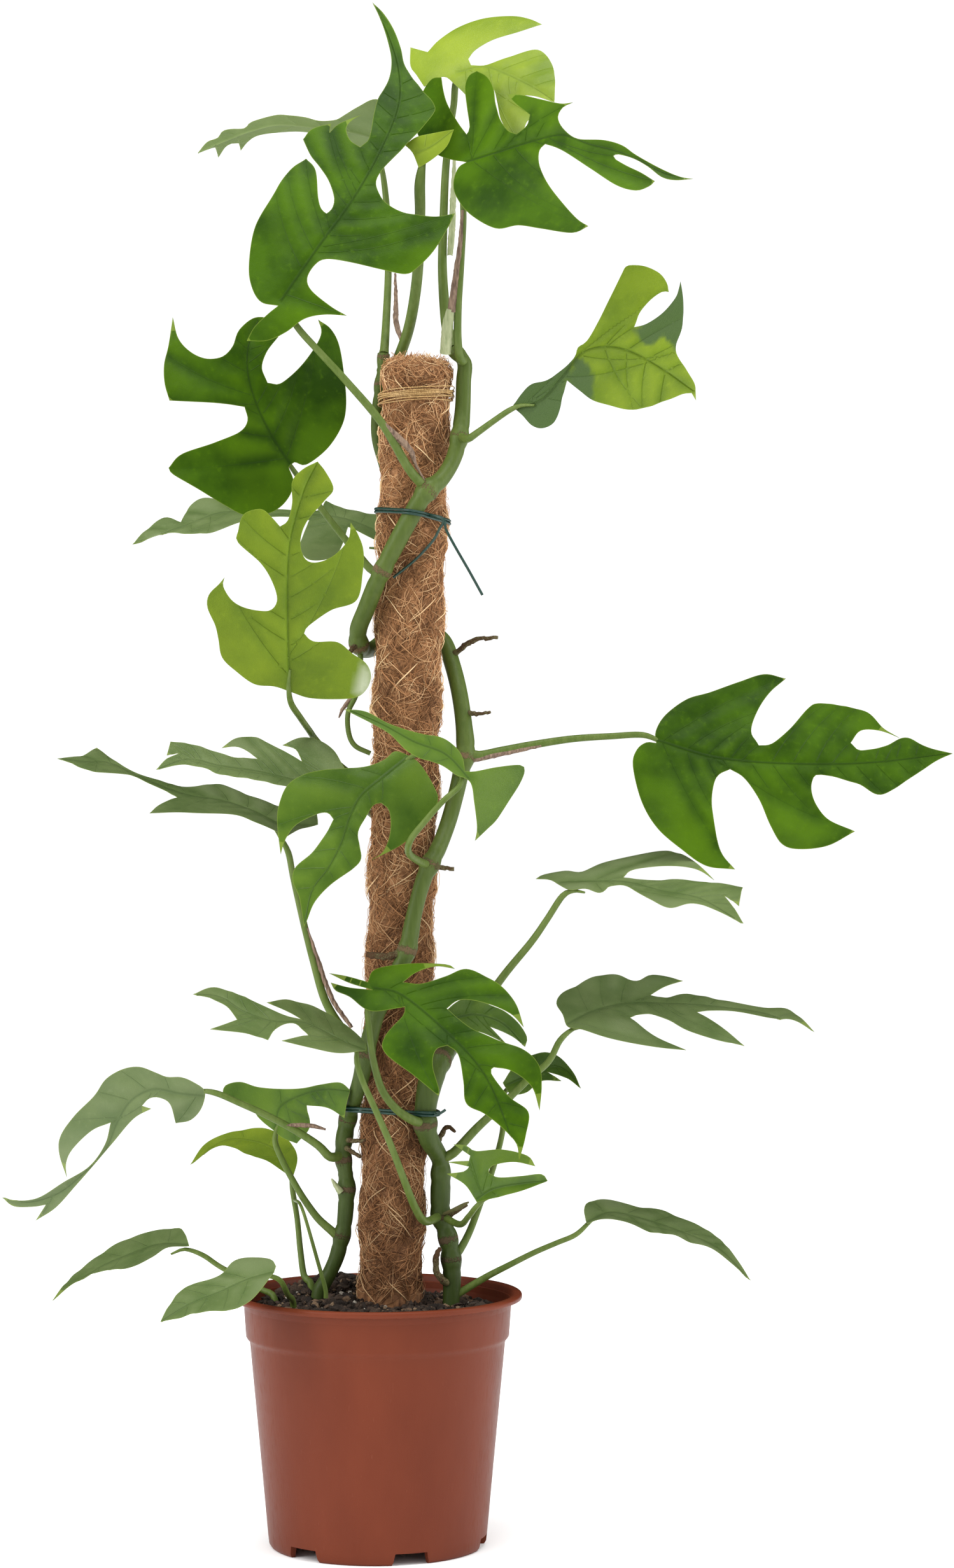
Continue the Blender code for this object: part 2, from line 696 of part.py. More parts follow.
def blade_mesh(surface, outline, spacing, thickness):
    """A thin closed blade: the outline's inside in triangles, alike on both faces, joined by an edge."""
    loop = [surface.under_sighting(*p) for p in outline]
    area = sum(a[0] * b[1] - b[0] * a[1] for a, b in zip(loop, loop[1:] + loop[:1]))
    if area < 0:
        loop.reverse()
    low = np.min(loop, axis=0)
    high = np.max(loop, axis=0)
    rows = []
    row = math.floor(low[1] / spacing)
    while row * spacing < high[1]:
        u = low[0] + (0.5 * spacing if row % 2 else 0.0)
        while u < high[0]:
            if inside((u, row * spacing), loop) and distance_to((u, row * spacing), loop) > 0.4 * spacing:
                rows.append((u, row * spacing))
            u += spacing
        row += 1
    count = len(loop)
    points = [Vector(p) for p in loop + rows]
    edges = [(k, (k + 1) % count) for k in range(count)]
    made, _, triangles, *_ = delaunay_2d_cdt(points, edges, [], 0, 1e-5)
    kept = []
    for a, b, c in triangles:
        middle = (made[a] + made[b] + made[c]) / 3
        if inside(tuple(middle), loop):
            turn = (made[b] - made[a]).cross(made[c] - made[a])
            kept.append((a, b, c) if turn > 0 else (a, c, b))
    total = len(made)
    vertices = [surface.point(p.x, p.y, thickness / 2) for p in made]
    vertices += [surface.point(p.x, p.y, -thickness / 2) for p in made]
    faces = list(kept) + [(c + total, b + total, a + total) for a, b, c in kept]
    rim = {}
    for triangle in kept:
        for a, b in zip(triangle, triangle[1:] + triangle[:1]):
            if (b, a) in rim:
                del rim[(b, a)]
            else:
                rim[(a, b)] = True
    for a, b in rim:
        faces += [(a, a + total, b + total), (a, b + total, b)]
    return vertices, faces


def build_leaf(name, spec, vines):
    """Builds a leaf, its petiole's foot hollowed to sit on its vine, and gives the petiole's curve."""
    surface = Surface(spec["base"], spec["tip"], spec["side"], **spec.get("bend", {}))
    vertices, faces = blade_mesh(surface, spec["outline"], spec.get("grid", BLADE_GRID), BLADE)
    leaf = solid(name, vertices, faces, spec["colour"], 0.35)
    top_radius, foot_radius = spec.get("radii", (1.9, 3.2))
    under = 1.0 if spec.get("underside") else -1.0
    inner = surface.under_sighting(*spec["rib"]) if "rib" in spec else (14.0, 0.0)
    entry = (0.3 * inner[0], 0.3 * inner[1])
    rib = [(*surface.point(*at, under * (0.25 + 0.5 * r)), r) for at, r in zip((inner, entry), RIB_RADII)]
    stalk = [place(s, foot_radius) for s in spec["petiole"]]
    stalk = [off_pole(p, foot_radius + 0.4) for p in stalk]
    joint = spec["joint"]
    if joint == "soil":
        stalk.append(stalk[-1] - Vector((0, 0, SOIL_ROOT)))
    else:
        stalk.append(Vector(nearest(vines[joint], stalk[-1])))
    path = rib
    for k, point in enumerate(stalk):
        share = (k + 1) / len(stalk)
        path.append((*point, top_radius + (foot_radius - top_radius) * share**2))
    curve = smooth_curve(path, spec.get("step", PETIOLE_STEP))
    combine(leaf, [tube(name + "_petiole", curve, PETIOLE_SIDES)], "UNION")
    if joint != "soil":
        room = tube(name + "_room", grown(vines[joint], GAP), VINE_SIDES)
        largest_part(combine(leaf, [room], "DIFFERENCE"))
    return curve


LEAVES = {
    # The crown's newest leaf, with its hanging lobe
    "leaf_01": dict(
        colour="light", base=(724, 108, 21), tip=(868, 110, 1), side=(790, 30, 39), joint="vine_left",
        outline=[(645, 75), (672, 82), (690, 62), (720, 42), (760, 29), (805, 26), (832, 31), (852, 40),
                 (815, 52), (775, 63), (748, 78), (736, 93), (740, 102), (765, 101), (800, 90), (845, 79),
                 (866, 98), (872, 125), (871, 160), (840, 151), (812, 150), (803, 152), (820, 167),
                 (845, 186), (830, 190), (822, 208), (812, 217), (800, 210), (787, 188), (781, 160),
                 (775, 138), (762, 122), (745, 113), (738, 130), (733, 150), (715, 134), (697, 122),
                 (667, 138), (654, 118), (645, 104)],
        petiole=[(717, 128, 32), (713, 165, 40), (706, 210, 43), (700, 270, 38), (697, 340, 32),
                 (695, 410, 25), (697, 460, 20), (701, 505, 15), (706, 530, 10)],
        radii=(2.2, 4.4),
    ),
    # The largest leaf, top left, facing forward
    "leaf_02": dict(
        colour="dark", base=(440, 482, -81), tip=(585, 3, 16), side=(715, 335, -51), joint="vine_left",
        bend=dict(arch=0.04, cup=0.06),
        outline=[(437, 481), (410, 475), (395, 450), (391, 415), (400, 360), (425, 315), (452, 272),
                 (481, 249), (496, 268), (500, 310), (505, 328), (513, 335), (521, 328), (525, 312),
                 (517, 285), (502, 262), (488, 244), (476, 218), (490, 203), (520, 194), (518, 208),
                 (532, 196), (568, 182), (554, 190), (544, 203), (550, 222), (566, 232), (580, 218),
                 (587, 182), (594, 155), (610, 127), (615, 98), (610, 68), (598, 30), (585, 3), (603, 22),
                 (619, 48), (630, 77), (637, 105), (660, 138), (682, 165), (680, 181), (650, 215),
                 (620, 247), (599, 270), (591, 290), (605, 318), (635, 335), (680, 341), (715, 335),
                 (700, 365), (680, 397), (655, 422), (637, 431), (600, 424), (550, 413), (513, 408),
                 (495, 417), (483, 438), (490, 458), (520, 482), (545, 496), (510, 495), (478, 502),
                 (450, 522), (420, 536), (388, 537), (400, 515), (420, 495)],
        petiole=[(468, 515, -78), (500, 551, -74), (545, 600, -68), (600, 665, -55), (640, 733, -40),
                 (664, 762, -28)],
        radii=(2.1, 3.8),
    ),
    # Behind it, seen from below
    "leaf_03": dict(
        colour="mid", base=(600, 252, 82), tip=(311, 240, 119), side=(455, 186, 47), joint="vine_right",
        underside=True, rib=(588, 205),
        outline=[(600, 250), (560, 232), (530, 222), (500, 212), (455, 208), (418, 211), (395, 219),
                 (378, 238), (375, 226), (358, 229), (343, 248), (338, 232), (311, 240), (325, 225),
                 (342, 218), (352, 206), (383, 203), (396, 193), (440, 183), (480, 187), (520, 191),
                 (560, 170), (590, 158), (615, 172), (640, 200), (630, 235)],
        petiole=[(604, 290, 79), (610, 360, 70), (610, 430, 57), (607, 500, 40), (604, 548, 26)],
        radii=(2.0, 3.4),
    ),
    # Two small unfolding and hanging leaves of the crown
    "leaf_04": dict(
        colour="light", base=(660, 250, -35), tip=(713, 203, -39), side=(636, 228, -34), joint="vine_right",
        outline=[(658, 264), (648, 240), (636, 228), (655, 215), (682, 209), (713, 203), (702, 230),
                 (680, 250)],
        petiole=[(660, 285, -31), (660, 340, -21), (656, 430, 0), (646, 500, 17), (632, 548, 29),
                 (612, 590, 34)],
        radii=(3.4, 4.0), grid=12.0,
    ),
    "leaf_05": dict(
        colour="dark", base=(733, 254, -34), tip=(1090, 281, -107), side=(790, 358, -62), joint="vine_left",
        bend=dict(arch=0.05, cup=0.05),
        outline=[(733, 255), (722, 264), (715, 284), (718, 308), (740, 338), (780, 360), (815, 355),
                 (850, 360), (900, 367), (925, 356), (908, 345), (885, 320), (862, 290), (849, 262),
                 (849, 238), (857, 227), (885, 238), (930, 267), (970, 293), (1000, 301), (1020, 294),
                 (1029, 285), (1008, 272), (985, 261), (968, 251), (964, 245), (972, 243), (995, 249),
                 (1018, 262), (1040, 279), (1062, 284), (1090, 281), (1070, 278), (1040, 266), (1000, 244),
                 (978, 229), (950, 221), (908, 218), (886, 203), (878, 185), (885, 169), (900, 161),
                 (880, 163), (850, 157), (822, 151), (797, 149), (812, 165), (833, 181), (828, 198),
                 (812, 211), (798, 205), (786, 187), (780, 165), (778, 142), (768, 123), (750, 112),
                 (738, 120), (732, 138), (735, 170), (738, 200), (733, 211), (720, 192), (704, 164),
                 (697, 142), (694, 122), (680, 124), (667, 141), (655, 175), (660, 215), (685, 242),
                 (710, 252)],
        petiole=[(729, 300, -32), (728, 350, -29), (724, 420, -24), (720, 480, -19), (719, 530, -14),
                 (722, 560, -8)],
        radii=(2.0, 3.4),
    ),
    # The twisted pale leaf at the upper right
    "leaf_06": dict(
        colour="light", base=(812, 640, -39), tip=(1093, 625, -104), side=(985, 420, -41), joint="vine_left",
        underside=True, bend=dict(cup=0.1),
        outline=[(806, 640), (818, 620), (835, 603), (860, 597), (885, 580), (903, 562), (908, 546),
                 (922, 536), (940, 506), (957, 470), (976, 430), (983, 418), (994, 416), (1015, 419),
                 (1037, 430), (1048, 445), (1051, 459), (1040, 459), (1022, 471), (1004, 492), (996, 514),
                 (1015, 507), (1040, 490), (1060, 468), (1066, 455), (1070, 443), (1073, 475), (1072, 510),
                 (1062, 550), (1078, 580), (1092, 605), (1093, 629), (1087, 618), (1072, 619), (1050, 628),
                 (1020, 639), (990, 644), (955, 636), (930, 628), (910, 613), (891, 598), (884, 620),
                 (880, 640), (870, 664), (852, 673), (835, 668), (820, 652)],
        petiole=[(800, 645, -39), (775, 662, -35), (750, 680, -30), (734, 690, -24)],
        radii=(1.8, 3.0),
    ),
    # Left of the pole, at the height of the upper tie
    "leaf_07": dict(
        colour="dark", base=(453, 728, -32), tip=(385, 520, -18), side=(258, 600, -48), joint="vine_left",
        bend=dict(arch=0.03, fold=0.06),
        outline=[(453, 735), (460, 757), (455, 778), (440, 797), (418, 808), (385, 810), (350, 793),
                 (310, 769), (272, 746), (265, 735), (285, 714), (335, 697), (375, 680), (388, 662),
                 (384, 640), (340, 634), (266, 630), (258, 605), (257, 575), (264, 545), (271, 500),
                 (280, 533), (300, 554), (325, 564), (350, 560), (365, 545), (375, 520), (400, 500),
                 (425, 505), (437, 530), (418, 555), (411, 580), (420, 602), (440, 603), (470, 578),
                 (495, 545), (505, 522), (500, 502), (520, 518), (533, 545), (540, 595), (542, 640),
                 (535, 672), (513, 706), (480, 731), (462, 727)],
        petiole=[(474, 757, -28), (500, 793, -24), (530, 832, -20), (560, 868, -18), (586, 897, -18)],
    ),
    # Seen from below, with raised veins
    "leaf_08": dict(
        colour="light", base=(453, 1082, -55), tip=(490, 728, -106), side=(330, 950, -73), joint="vine_right",
        underside=True, bend=dict(arch=0.03),
        outline=[(453, 1086), (430, 1079), (400, 1075), (372, 1056), (349, 1034), (343, 1005), (338, 983),
                 (326, 955), (328, 935), (344, 918), (353, 907), (351, 922), (366, 945), (392, 958),
                 (422, 960), (435, 945), (429, 918), (410, 885), (374, 852), (374, 835), (383, 808),
                 (410, 800), (426, 812), (440, 827), (452, 818), (459, 790), (459, 757), (475, 738),
                 (499, 725), (512, 742), (524, 768), (510, 787), (482, 820), (472, 852), (480, 879),
                 (500, 884), (525, 873), (547, 848), (551, 821), (562, 839), (571, 865), (570, 900),
                 (560, 944), (520, 959), (485, 983), (478, 995), (492, 1007), (530, 1009), (553, 1027),
                 (575, 1043), (583, 1062), (577, 1082), (560, 1096), (525, 1100), (485, 1098)],
        petiole=[(457, 1104, -47), (472, 1128, -28), (486, 1148, -8), (498, 1165, 4), (528, 1198, 15),
                 (560, 1222, 22), (600, 1238, 35), (628, 1240, 38)],
        radii=(2.0, 3.2),
    ),
    "leaf_09": dict(
        colour="mid", base=(612, 858, 46), tip=(208, 855, 79), side=(400, 800, 114), joint="vine_right",
        outline=[(612, 862), (575, 843), (547, 827), (540, 852), (528, 873), (505, 882), (482, 880),
                 (471, 860), (477, 838), (486, 817), (440, 812), (400, 816), (375, 822), (335, 838),
                 (290, 838), (255, 838), (208, 855), (230, 832), (258, 815), (284, 820), (299, 797),
                 (318, 784), (345, 786), (385, 799), (440, 801), (498, 803), (512, 787), (532, 797),
                 (570, 805), (610, 812), (625, 835)],
        petiole=[(617, 862, 46), (624, 872, 38)],
        radii=(2.0, 2.8), step=12.0,
    ),
    # In front of the pole, below its middle
    "leaf_10": dict(
        colour="mid", base=(735, 1222, -66), tip=(540, 1114, -74), side=(765, 1300, -80), joint="vine_left",
        bend=dict(arch=0.06),
        outline=[(737, 1228), (715, 1219), (690, 1202), (660, 1192), (638, 1180), (612, 1154), (585, 1138),
                 (558, 1124), (540, 1114), (575, 1119), (610, 1137), (650, 1151), (690, 1159), (712, 1171),
                 (725, 1190), (730, 1212), (745, 1213), (780, 1206), (815, 1203), (822, 1212), (815, 1232),
                 (800, 1257), (780, 1288), (765, 1303), (745, 1322), (748, 1300), (743, 1262)],
        petiole=[(722, 1235, -68), (695, 1260, -74), (665, 1294, -76), (645, 1320, -70), (642, 1340, -56),
                 (658, 1353, -36)],
        radii=(1.8, 2.8), step=14.0,
    ),
    "leaf_11": dict(
        colour="mid", base=(640, 1188, -40), tip=(478, 1457, -84), side=(688, 1250, -44), joint="vine_left",
        bend=dict(arch=0.04, fold=0.08),
        outline=[(640, 1186), (655, 1196), (668, 1212), (681, 1235), (688, 1255), (680, 1275), (660, 1300),
                 (630, 1328), (583, 1352), (602, 1338), (613, 1308), (612, 1275), (600, 1261), (587, 1265),
                 (575, 1284), (563, 1307), (565, 1330), (567, 1350), (555, 1365), (520, 1390), (495, 1417),
                 (483, 1445), (478, 1457), (470, 1410), (460, 1385), (464, 1363), (490, 1340), (512, 1310),
                 (524, 1287), (514, 1277), (495, 1280), (465, 1296), (448, 1320), (441, 1343), (436, 1300),
                 (437, 1270), (450, 1236), (475, 1218), (505, 1211), (540, 1208), (580, 1203), (605, 1193),
                 (620, 1181)],
        petiole=[(660, 1184, -38), (685, 1188, -32), (706, 1200, -18)],
        radii=(1.8, 2.6), step=12.0,
    ),
    "leaf_12": dict(
        colour="mid", base=(560, 1235, -30), tip=(245, 1210, -88), side=(400, 1164, -26), joint="vine_right",
        outline=[(560, 1240), (540, 1208), (524, 1181), (500, 1165), (472, 1161), (444, 1171), (465, 1178),
                 (475, 1196), (440, 1178), (400, 1160), (370, 1163), (347, 1179), (374, 1178), (405, 1194),
                 (362, 1191), (305, 1172), (268, 1165), (262, 1187), (282, 1184), (262, 1193), (245, 1210),
                 (285, 1203), (320, 1208), (345, 1218), (400, 1226), (470, 1242), (520, 1250)],
        petiole=[(574, 1246, -21), (570, 1264, 6), (590, 1284, 29), (620, 1290, 38)],
        radii=(1.8, 2.8), step=12.0,
    ),
    "leaf_13": dict(
        colour="mid", rib=(425, 1288), base=(447, 1318, -26), tip=(90, 1191, 42), side=(375, 1245, 52),
        joint="vine_left",
        outline=[(447, 1320), (430, 1307), (400, 1293), (365, 1280), (300, 1277), (235, 1278), (250, 1266),
                 (279, 1253), (235, 1233), (205, 1219), (150, 1212), (90, 1191), (130, 1188), (152, 1176),
                 (175, 1193), (215, 1215), (260, 1229), (300, 1236), (340, 1232), (375, 1244), (437, 1267),
                 (498, 1280), (500, 1294), (470, 1304)],
        petiole=[(453, 1340, -18), (460, 1375, -13), (470, 1420, -10), (480, 1462, -7), (493, 1512, -6),
                 (510, 1570, -8), (534, 1612, -10), (562, 1645, -12)],
        radii=(2.0, 3.6), step=26.0,
    ),
    # Right of the pole, facing forward
    "leaf_14": dict(
        colour="dark", base=(1031, 1163, 20), tip=(1497, 1184, 61), side=(1220, 1062, 62), joint="vine_left",
        bend=dict(arch=0.03, fold=0.05),
        outline=[(1031, 1168), (1030, 1150), (1045, 1125), (1078, 1101), (1115, 1090), (1160, 1073),
                 (1200, 1060), (1235, 1066), (1210, 1088), (1190, 1118), (1180, 1150), (1192, 1172),
                 (1212, 1170), (1240, 1147), (1268, 1115), (1285, 1106), (1320, 1110), (1362, 1121),
                 (1388, 1146), (1413, 1160), (1380, 1149), (1352, 1149), (1337, 1167), (1352, 1179),
                 (1390, 1173), (1421, 1160), (1458, 1176), (1497, 1184), (1470, 1197), (1435, 1220),
                 (1383, 1250), (1345, 1232), (1290, 1218), (1276, 1228), (1278, 1256), (1300, 1287),
                 (1343, 1307), (1300, 1330), (1255, 1336), (1228, 1328), (1210, 1298), (1193, 1258),
                 (1170, 1224), (1147, 1209), (1126, 1222), (1118, 1255), (1122, 1295), (1133, 1338),
                 (1155, 1366), (1110, 1361), (1070, 1335), (1033, 1303), (1008, 1260), (994, 1205),
                 (1000, 1180), (1015, 1168)],
        petiole=[(1010, 1155, 19), (960, 1157, 19), (900, 1161, 18), (840, 1170, 15), (790, 1180, 10),
                 (752, 1188, 4)],
        radii=(2.0, 4.0), step=30.0,
    ),
    "leaf_15": dict(
        colour="mid", base=(893, 1394, -20), tip=(1168, 1450, -121), side=(1045, 1337, 16),
        joint="vine_right",
        outline=[(893, 1398), (920, 1397), (943, 1403), (960, 1392), (985, 1392), (1020, 1413),
                 (1052, 1427), (1090, 1420), (1130, 1432), (1168, 1450), (1152, 1425), (1138, 1408),
                 (1161, 1423), (1167, 1394), (1110, 1386), (1065, 1381), (1008, 1382), (979, 1378),
                 (997, 1367), (1045, 1362), (1092, 1367), (1122, 1382), (1095, 1359), (1065, 1341),
                 (1040, 1337), (1000, 1343), (950, 1357), (915, 1372), (888, 1370), (855, 1375),
                 (842, 1382), (866, 1384)],
        petiole=[(884, 1408, -20), (860, 1444, -18), (835, 1480, -14), (790, 1535, -7), (745, 1600, 1),
                 (718, 1640, 8)],
        radii=(2.0, 3.8),
    ),
    # The large low leaf in front
    "leaf_16": dict(
        colour="dark", base=(580, 1556, -50), tip=(816, 1823, -105), side=(850, 1700, -81),
        joint="vine_right",
        bend=dict(arch=0.05, fold=0.06),
        outline=[(585, 1556), (550, 1546), (517, 1530), (545, 1535), (578, 1544), (590, 1524), (640, 1515),
                 (700, 1517), (715, 1524), (685, 1520), (655, 1528), (633, 1543), (660, 1546), (700, 1535),
                 (733, 1524), (768, 1537), (795, 1556), (812, 1580), (823, 1615), (802, 1593), (765, 1577),
                 (725, 1571), (702, 1585), (735, 1613), (775, 1632), (822, 1650), (846, 1674), (851, 1705),
                 (848, 1745), (835, 1708), (805, 1684), (776, 1677), (772, 1687), (800, 1723), (830, 1747),
                 (826, 1785), (816, 1823), (808, 1792), (765, 1753), (733, 1735), (728, 1700), (720, 1658),
                 (703, 1643), (685, 1651), (680, 1675), (690, 1712), (689, 1722), (650, 1690), (605, 1655),
                 (605, 1630), (633, 1596), (636, 1582), (583, 1590), (550, 1568), (528, 1558), (520, 1545),
                 (550, 1553)],
        petiole=[(578, 1580, -50), (581, 1625, -47), (587, 1668, -44), (600, 1712, -40), (622, 1742, -36),
                 (648, 1760, -32)],
        radii=(2.0, 3.4), step=16.0,
    ),
    "leaf_17": dict(
        colour="mid", base=(702, 1608, -20), tip=(825, 1645, -38), side=(745, 1573, -10), joint="vine_right",
        outline=[(698, 1608), (700, 1592), (725, 1572), (747, 1573), (785, 1586), (812, 1606), (828, 1630),
                 (825, 1645), (806, 1630), (770, 1614), (795, 1640), (762, 1626), (730, 1618)],
        petiole=[(695, 1615, -18), (694, 1632, -6)],
        radii=(1.6, 2.4), step=8.0, grid=13.0,
    ),
    "leaf_18": dict(
        colour="mid", base=(893, 1612, -5), tip=(1280, 1620, 33), side=(1070, 1541, 71), joint="vine_right",
        outline=[(893, 1614), (884, 1595), (874, 1578), (882, 1562), (905, 1548), (935, 1533), (968, 1532),
                 (1000, 1543), (1025, 1534), (1073, 1541), (1045, 1551), (1022, 1563), (1045, 1567),
                 (1085, 1562), (1140, 1573), (1200, 1584), (1242, 1587), (1280, 1620), (1245, 1602),
                 (1205, 1599), (1150, 1589), (1095, 1589), (1130, 1612), (1170, 1641), (1120, 1632),
                 (1080, 1619), (1050, 1600), (1015, 1592), (990, 1598), (1030, 1630), (1078, 1651),
                 (1030, 1646), (960, 1631), (915, 1618)],
        petiole=[(880, 1635, -10), (862, 1668, -15), (828, 1698, -17), (790, 1735, -14), (750, 1772, -10),
                 (712, 1812, -4)],
        radii=(2.0, 3.6),
    ),
    "leaf_19": dict(
        colour="dark", base=(570, 1648, -51), tip=(303, 1563, -80), side=(455, 1572, -37), joint="vine_right",
        outline=[(575, 1652), (572, 1640), (545, 1615), (505, 1587), (455, 1572), (418, 1578), (445, 1589),
                 (474, 1603), (440, 1595), (380, 1567), (335, 1554), (303, 1563), (333, 1571), (355, 1583),
                 (373, 1602), (330, 1618), (385, 1625), (421, 1635), (433, 1618), (460, 1609), (484, 1629),
                 (442, 1637), (485, 1650), (530, 1658)],
        petiole=[(561, 1670, -52), (571, 1702, -52), (589, 1742, -52), (613, 1797, -49), (634, 1852, -44),
                 (652, 1897, -35), (668, 1919, -22)],
        radii=(1.9, 3.0), step=20.0,
    ),
    # Lower left, drooping
    "leaf_20": dict(
        colour="dark", base=(320, 1712, -5), tip=(3, 1882, 60), side=(168, 1694, 8), joint="vine_left",
        bend=dict(arch=0.05, fold=0.1),
        outline=[(322, 1714), (305, 1700), (285, 1692), (262, 1692), (245, 1685), (220, 1676), (195, 1679),
                 (168, 1694), (148, 1722), (118, 1752), (97, 1782), (94, 1808), (106, 1850), (105, 1828),
                 (115, 1805), (145, 1776), (174, 1764), (165, 1798), (140, 1833), (100, 1857), (60, 1882),
                 (25, 1887), (3, 1882), (22, 1895), (50, 1896), (72, 1893), (56, 1918), (88, 1897),
                 (120, 1862), (150, 1828), (178, 1795), (210, 1758), (238, 1742), (223, 1738), (235, 1726),
                 (252, 1725), (268, 1735), (276, 1765), (300, 1759), (317, 1740)],
        petiole=[(340, 1718, -6), (380, 1735, -7), (420, 1753, -7), (465, 1777, -7), (500, 1800, -8),
                 (519, 1818, -6)],
        radii=(2.0, 3.4), step=24.0,
    ),
    "leaf_21": dict(
        colour="mid", base=(432, 1764, 18), tip=(548, 1722, -18), side=(380, 1703, 36), joint="vine_left",
        outline=[(432, 1778), (405, 1755), (392, 1735), (350, 1722), (355, 1706), (378, 1700), (405, 1708),
                 (440, 1711), (475, 1710), (505, 1704), (535, 1701), (550, 1713), (541, 1757), (515, 1741),
                 (482, 1737), (487, 1772), (466, 1797), (445, 1788)],
        petiole=[(432, 1790, 17), (443, 1822, 13), (463, 1860, 9), (480, 1888, 7), (500, 1915, 6),
                 (522, 1935, 4)],
        radii=(1.9, 3.2), step=18.0, grid=14.0,
    ),
    "leaf_22": dict(
        colour="light", base=(458, 1850, 41), tip=(299, 1830, 72), side=(400, 1776, 94),
        joint="soil", rib=(452, 1812),
        outline=[(460, 1852), (440, 1839), (415, 1823), (388, 1814), (360, 1802), (333, 1806), (299, 1830),
                 (322, 1800), (355, 1783), (400, 1774), (432, 1778), (457, 1797), (468, 1822)],
        petiole=[(460, 1872, 40), (467, 1915, 36), (472, 1965, 30), (478, 2005, 22), (490, 2022, 18)],
        radii=(1.8, 2.8), grid=14.0,
    ),
    # Lower right
    "leaf_23": dict(
        colour="mid", base=(795, 1702, 29), tip=(913, 1710, 26), side=(875, 1660, 51), joint="vine_right",
        outline=[(790, 1702), (812, 1672), (845, 1655), (875, 1660), (900, 1684), (913, 1710), (890, 1694),
                 (860, 1684), (882, 1698), (850, 1699), (828, 1718), (802, 1724)],
        petiole=[(790, 1725, 30), (790, 1775, 29), (775, 1835, 26), (755, 1890, 21), (738, 1935, 14),
                 (722, 1965, 7)],
        radii=(1.8, 3.0), grid=13.0,
    ),
    "leaf_24": dict(
        colour="mid", base=(750, 1885, -72), tip=(861, 1856, -95), side=(740, 1803, -50), joint="vine_right",
        outline=[(750, 1890), (732, 1863), (704, 1846), (730, 1842), (738, 1834), (705, 1828), (738, 1825),
                 (740, 1817), (715, 1800), (735, 1802), (750, 1810), (790, 1807), (830, 1817), (843, 1834),
                 (808, 1827), (774, 1833), (768, 1843), (785, 1851), (820, 1849), (852, 1846), (861, 1856),
                 (820, 1873), (775, 1884)],
        petiole=[(747, 1898, -65), (736, 1912, -45), (722, 1924, -16)],
        radii=(1.7, 2.6), step=12.0, grid=14.0,
    ),
    "leaf_25": dict(
        colour="mid", base=(922, 1920, 1), tip=(1180, 2012, -12), side=(1000, 1895, 52),
        joint="vine_right", rib=(945, 1903),
        outline=[(922, 1923), (917, 1903), (925, 1890), (955, 1885), (1000, 1895), (1040, 1903),
                 (1070, 1917), (1105, 1932), (1135, 1952), (1158, 1980), (1180, 2012), (1148, 1985),
                 (1118, 1963), (1085, 1952), (1055, 1940), (1020, 1936), (980, 1922), (945, 1917)],
        petiole=[(905, 1940, 2), (875, 1953, 3), (840, 1968, 5), (800, 1988, 6), (765, 2006, 6),
                 (728, 2028, 4)],
        radii=(1.7, 2.8), grid=14.0,
    ),
    # Two low leaves at the left of the rim
    "leaf_26": dict(
        colour="mid", base=(298, 1955, 28), tip=(82, 2045, 13), side=(210, 1947, 70), joint="soil",
        outline=[(298, 1960), (265, 1962), (240, 1976), (205, 1993), (160, 1999), (120, 2015), (82, 2045),
                 (118, 2003), (165, 1968), (210, 1947), (275, 1932), (291, 1940)],
        petiole=[(318, 1972, 28), (345, 1990, 27), (378, 2008, 23), (410, 2026, 15), (432, 2042, 8)],
        radii=(1.7, 2.4), step=14.0, grid=14.0,
    ),
    "leaf_27": dict(
        colour="mid", base=(429, 1998, -82), tip=(252, 2077, -107), side=(390, 1980, -63), joint="soil",
        bend=dict(arch=0.04),
        outline=[(428, 2004), (434, 1992), (425, 1982), (390, 1980), (368, 1985), (352, 2000), (335, 2010),
                 (300, 2018), (278, 2034), (252, 2077), (280, 2074), (300, 2067), (340, 2063), (365, 2060),
                 (392, 2047), (412, 2025)],
        petiole=[(440, 2012, -69), (452, 2034, -41), (461, 2050, -16)],
        radii=(1.7, 2.4), step=12.0, grid=14.0,
    ),
}


def stand_on_origin():
    """Carries the whole object on an empty, so that its box's bottom centre is the origin."""
    shown = [o for o in bpy.context.scene.objects if o.type == "MESH" and not o.hide_render]
    corners = np.array([tuple(v.co) for o in shown for v in o.data.vertices])
    low, high = corners.min(axis=0), corners.max(axis=0)
    anchor = bpy.data.objects.new("plant_origin", None)
    anchor.location = (-(low[0] + high[0]) / 2, -(low[1] + high[1]) / 2, -low[2])
    bpy.context.scene.collection.objects.link(anchor)
    for made in shown:
        made.parent = anchor


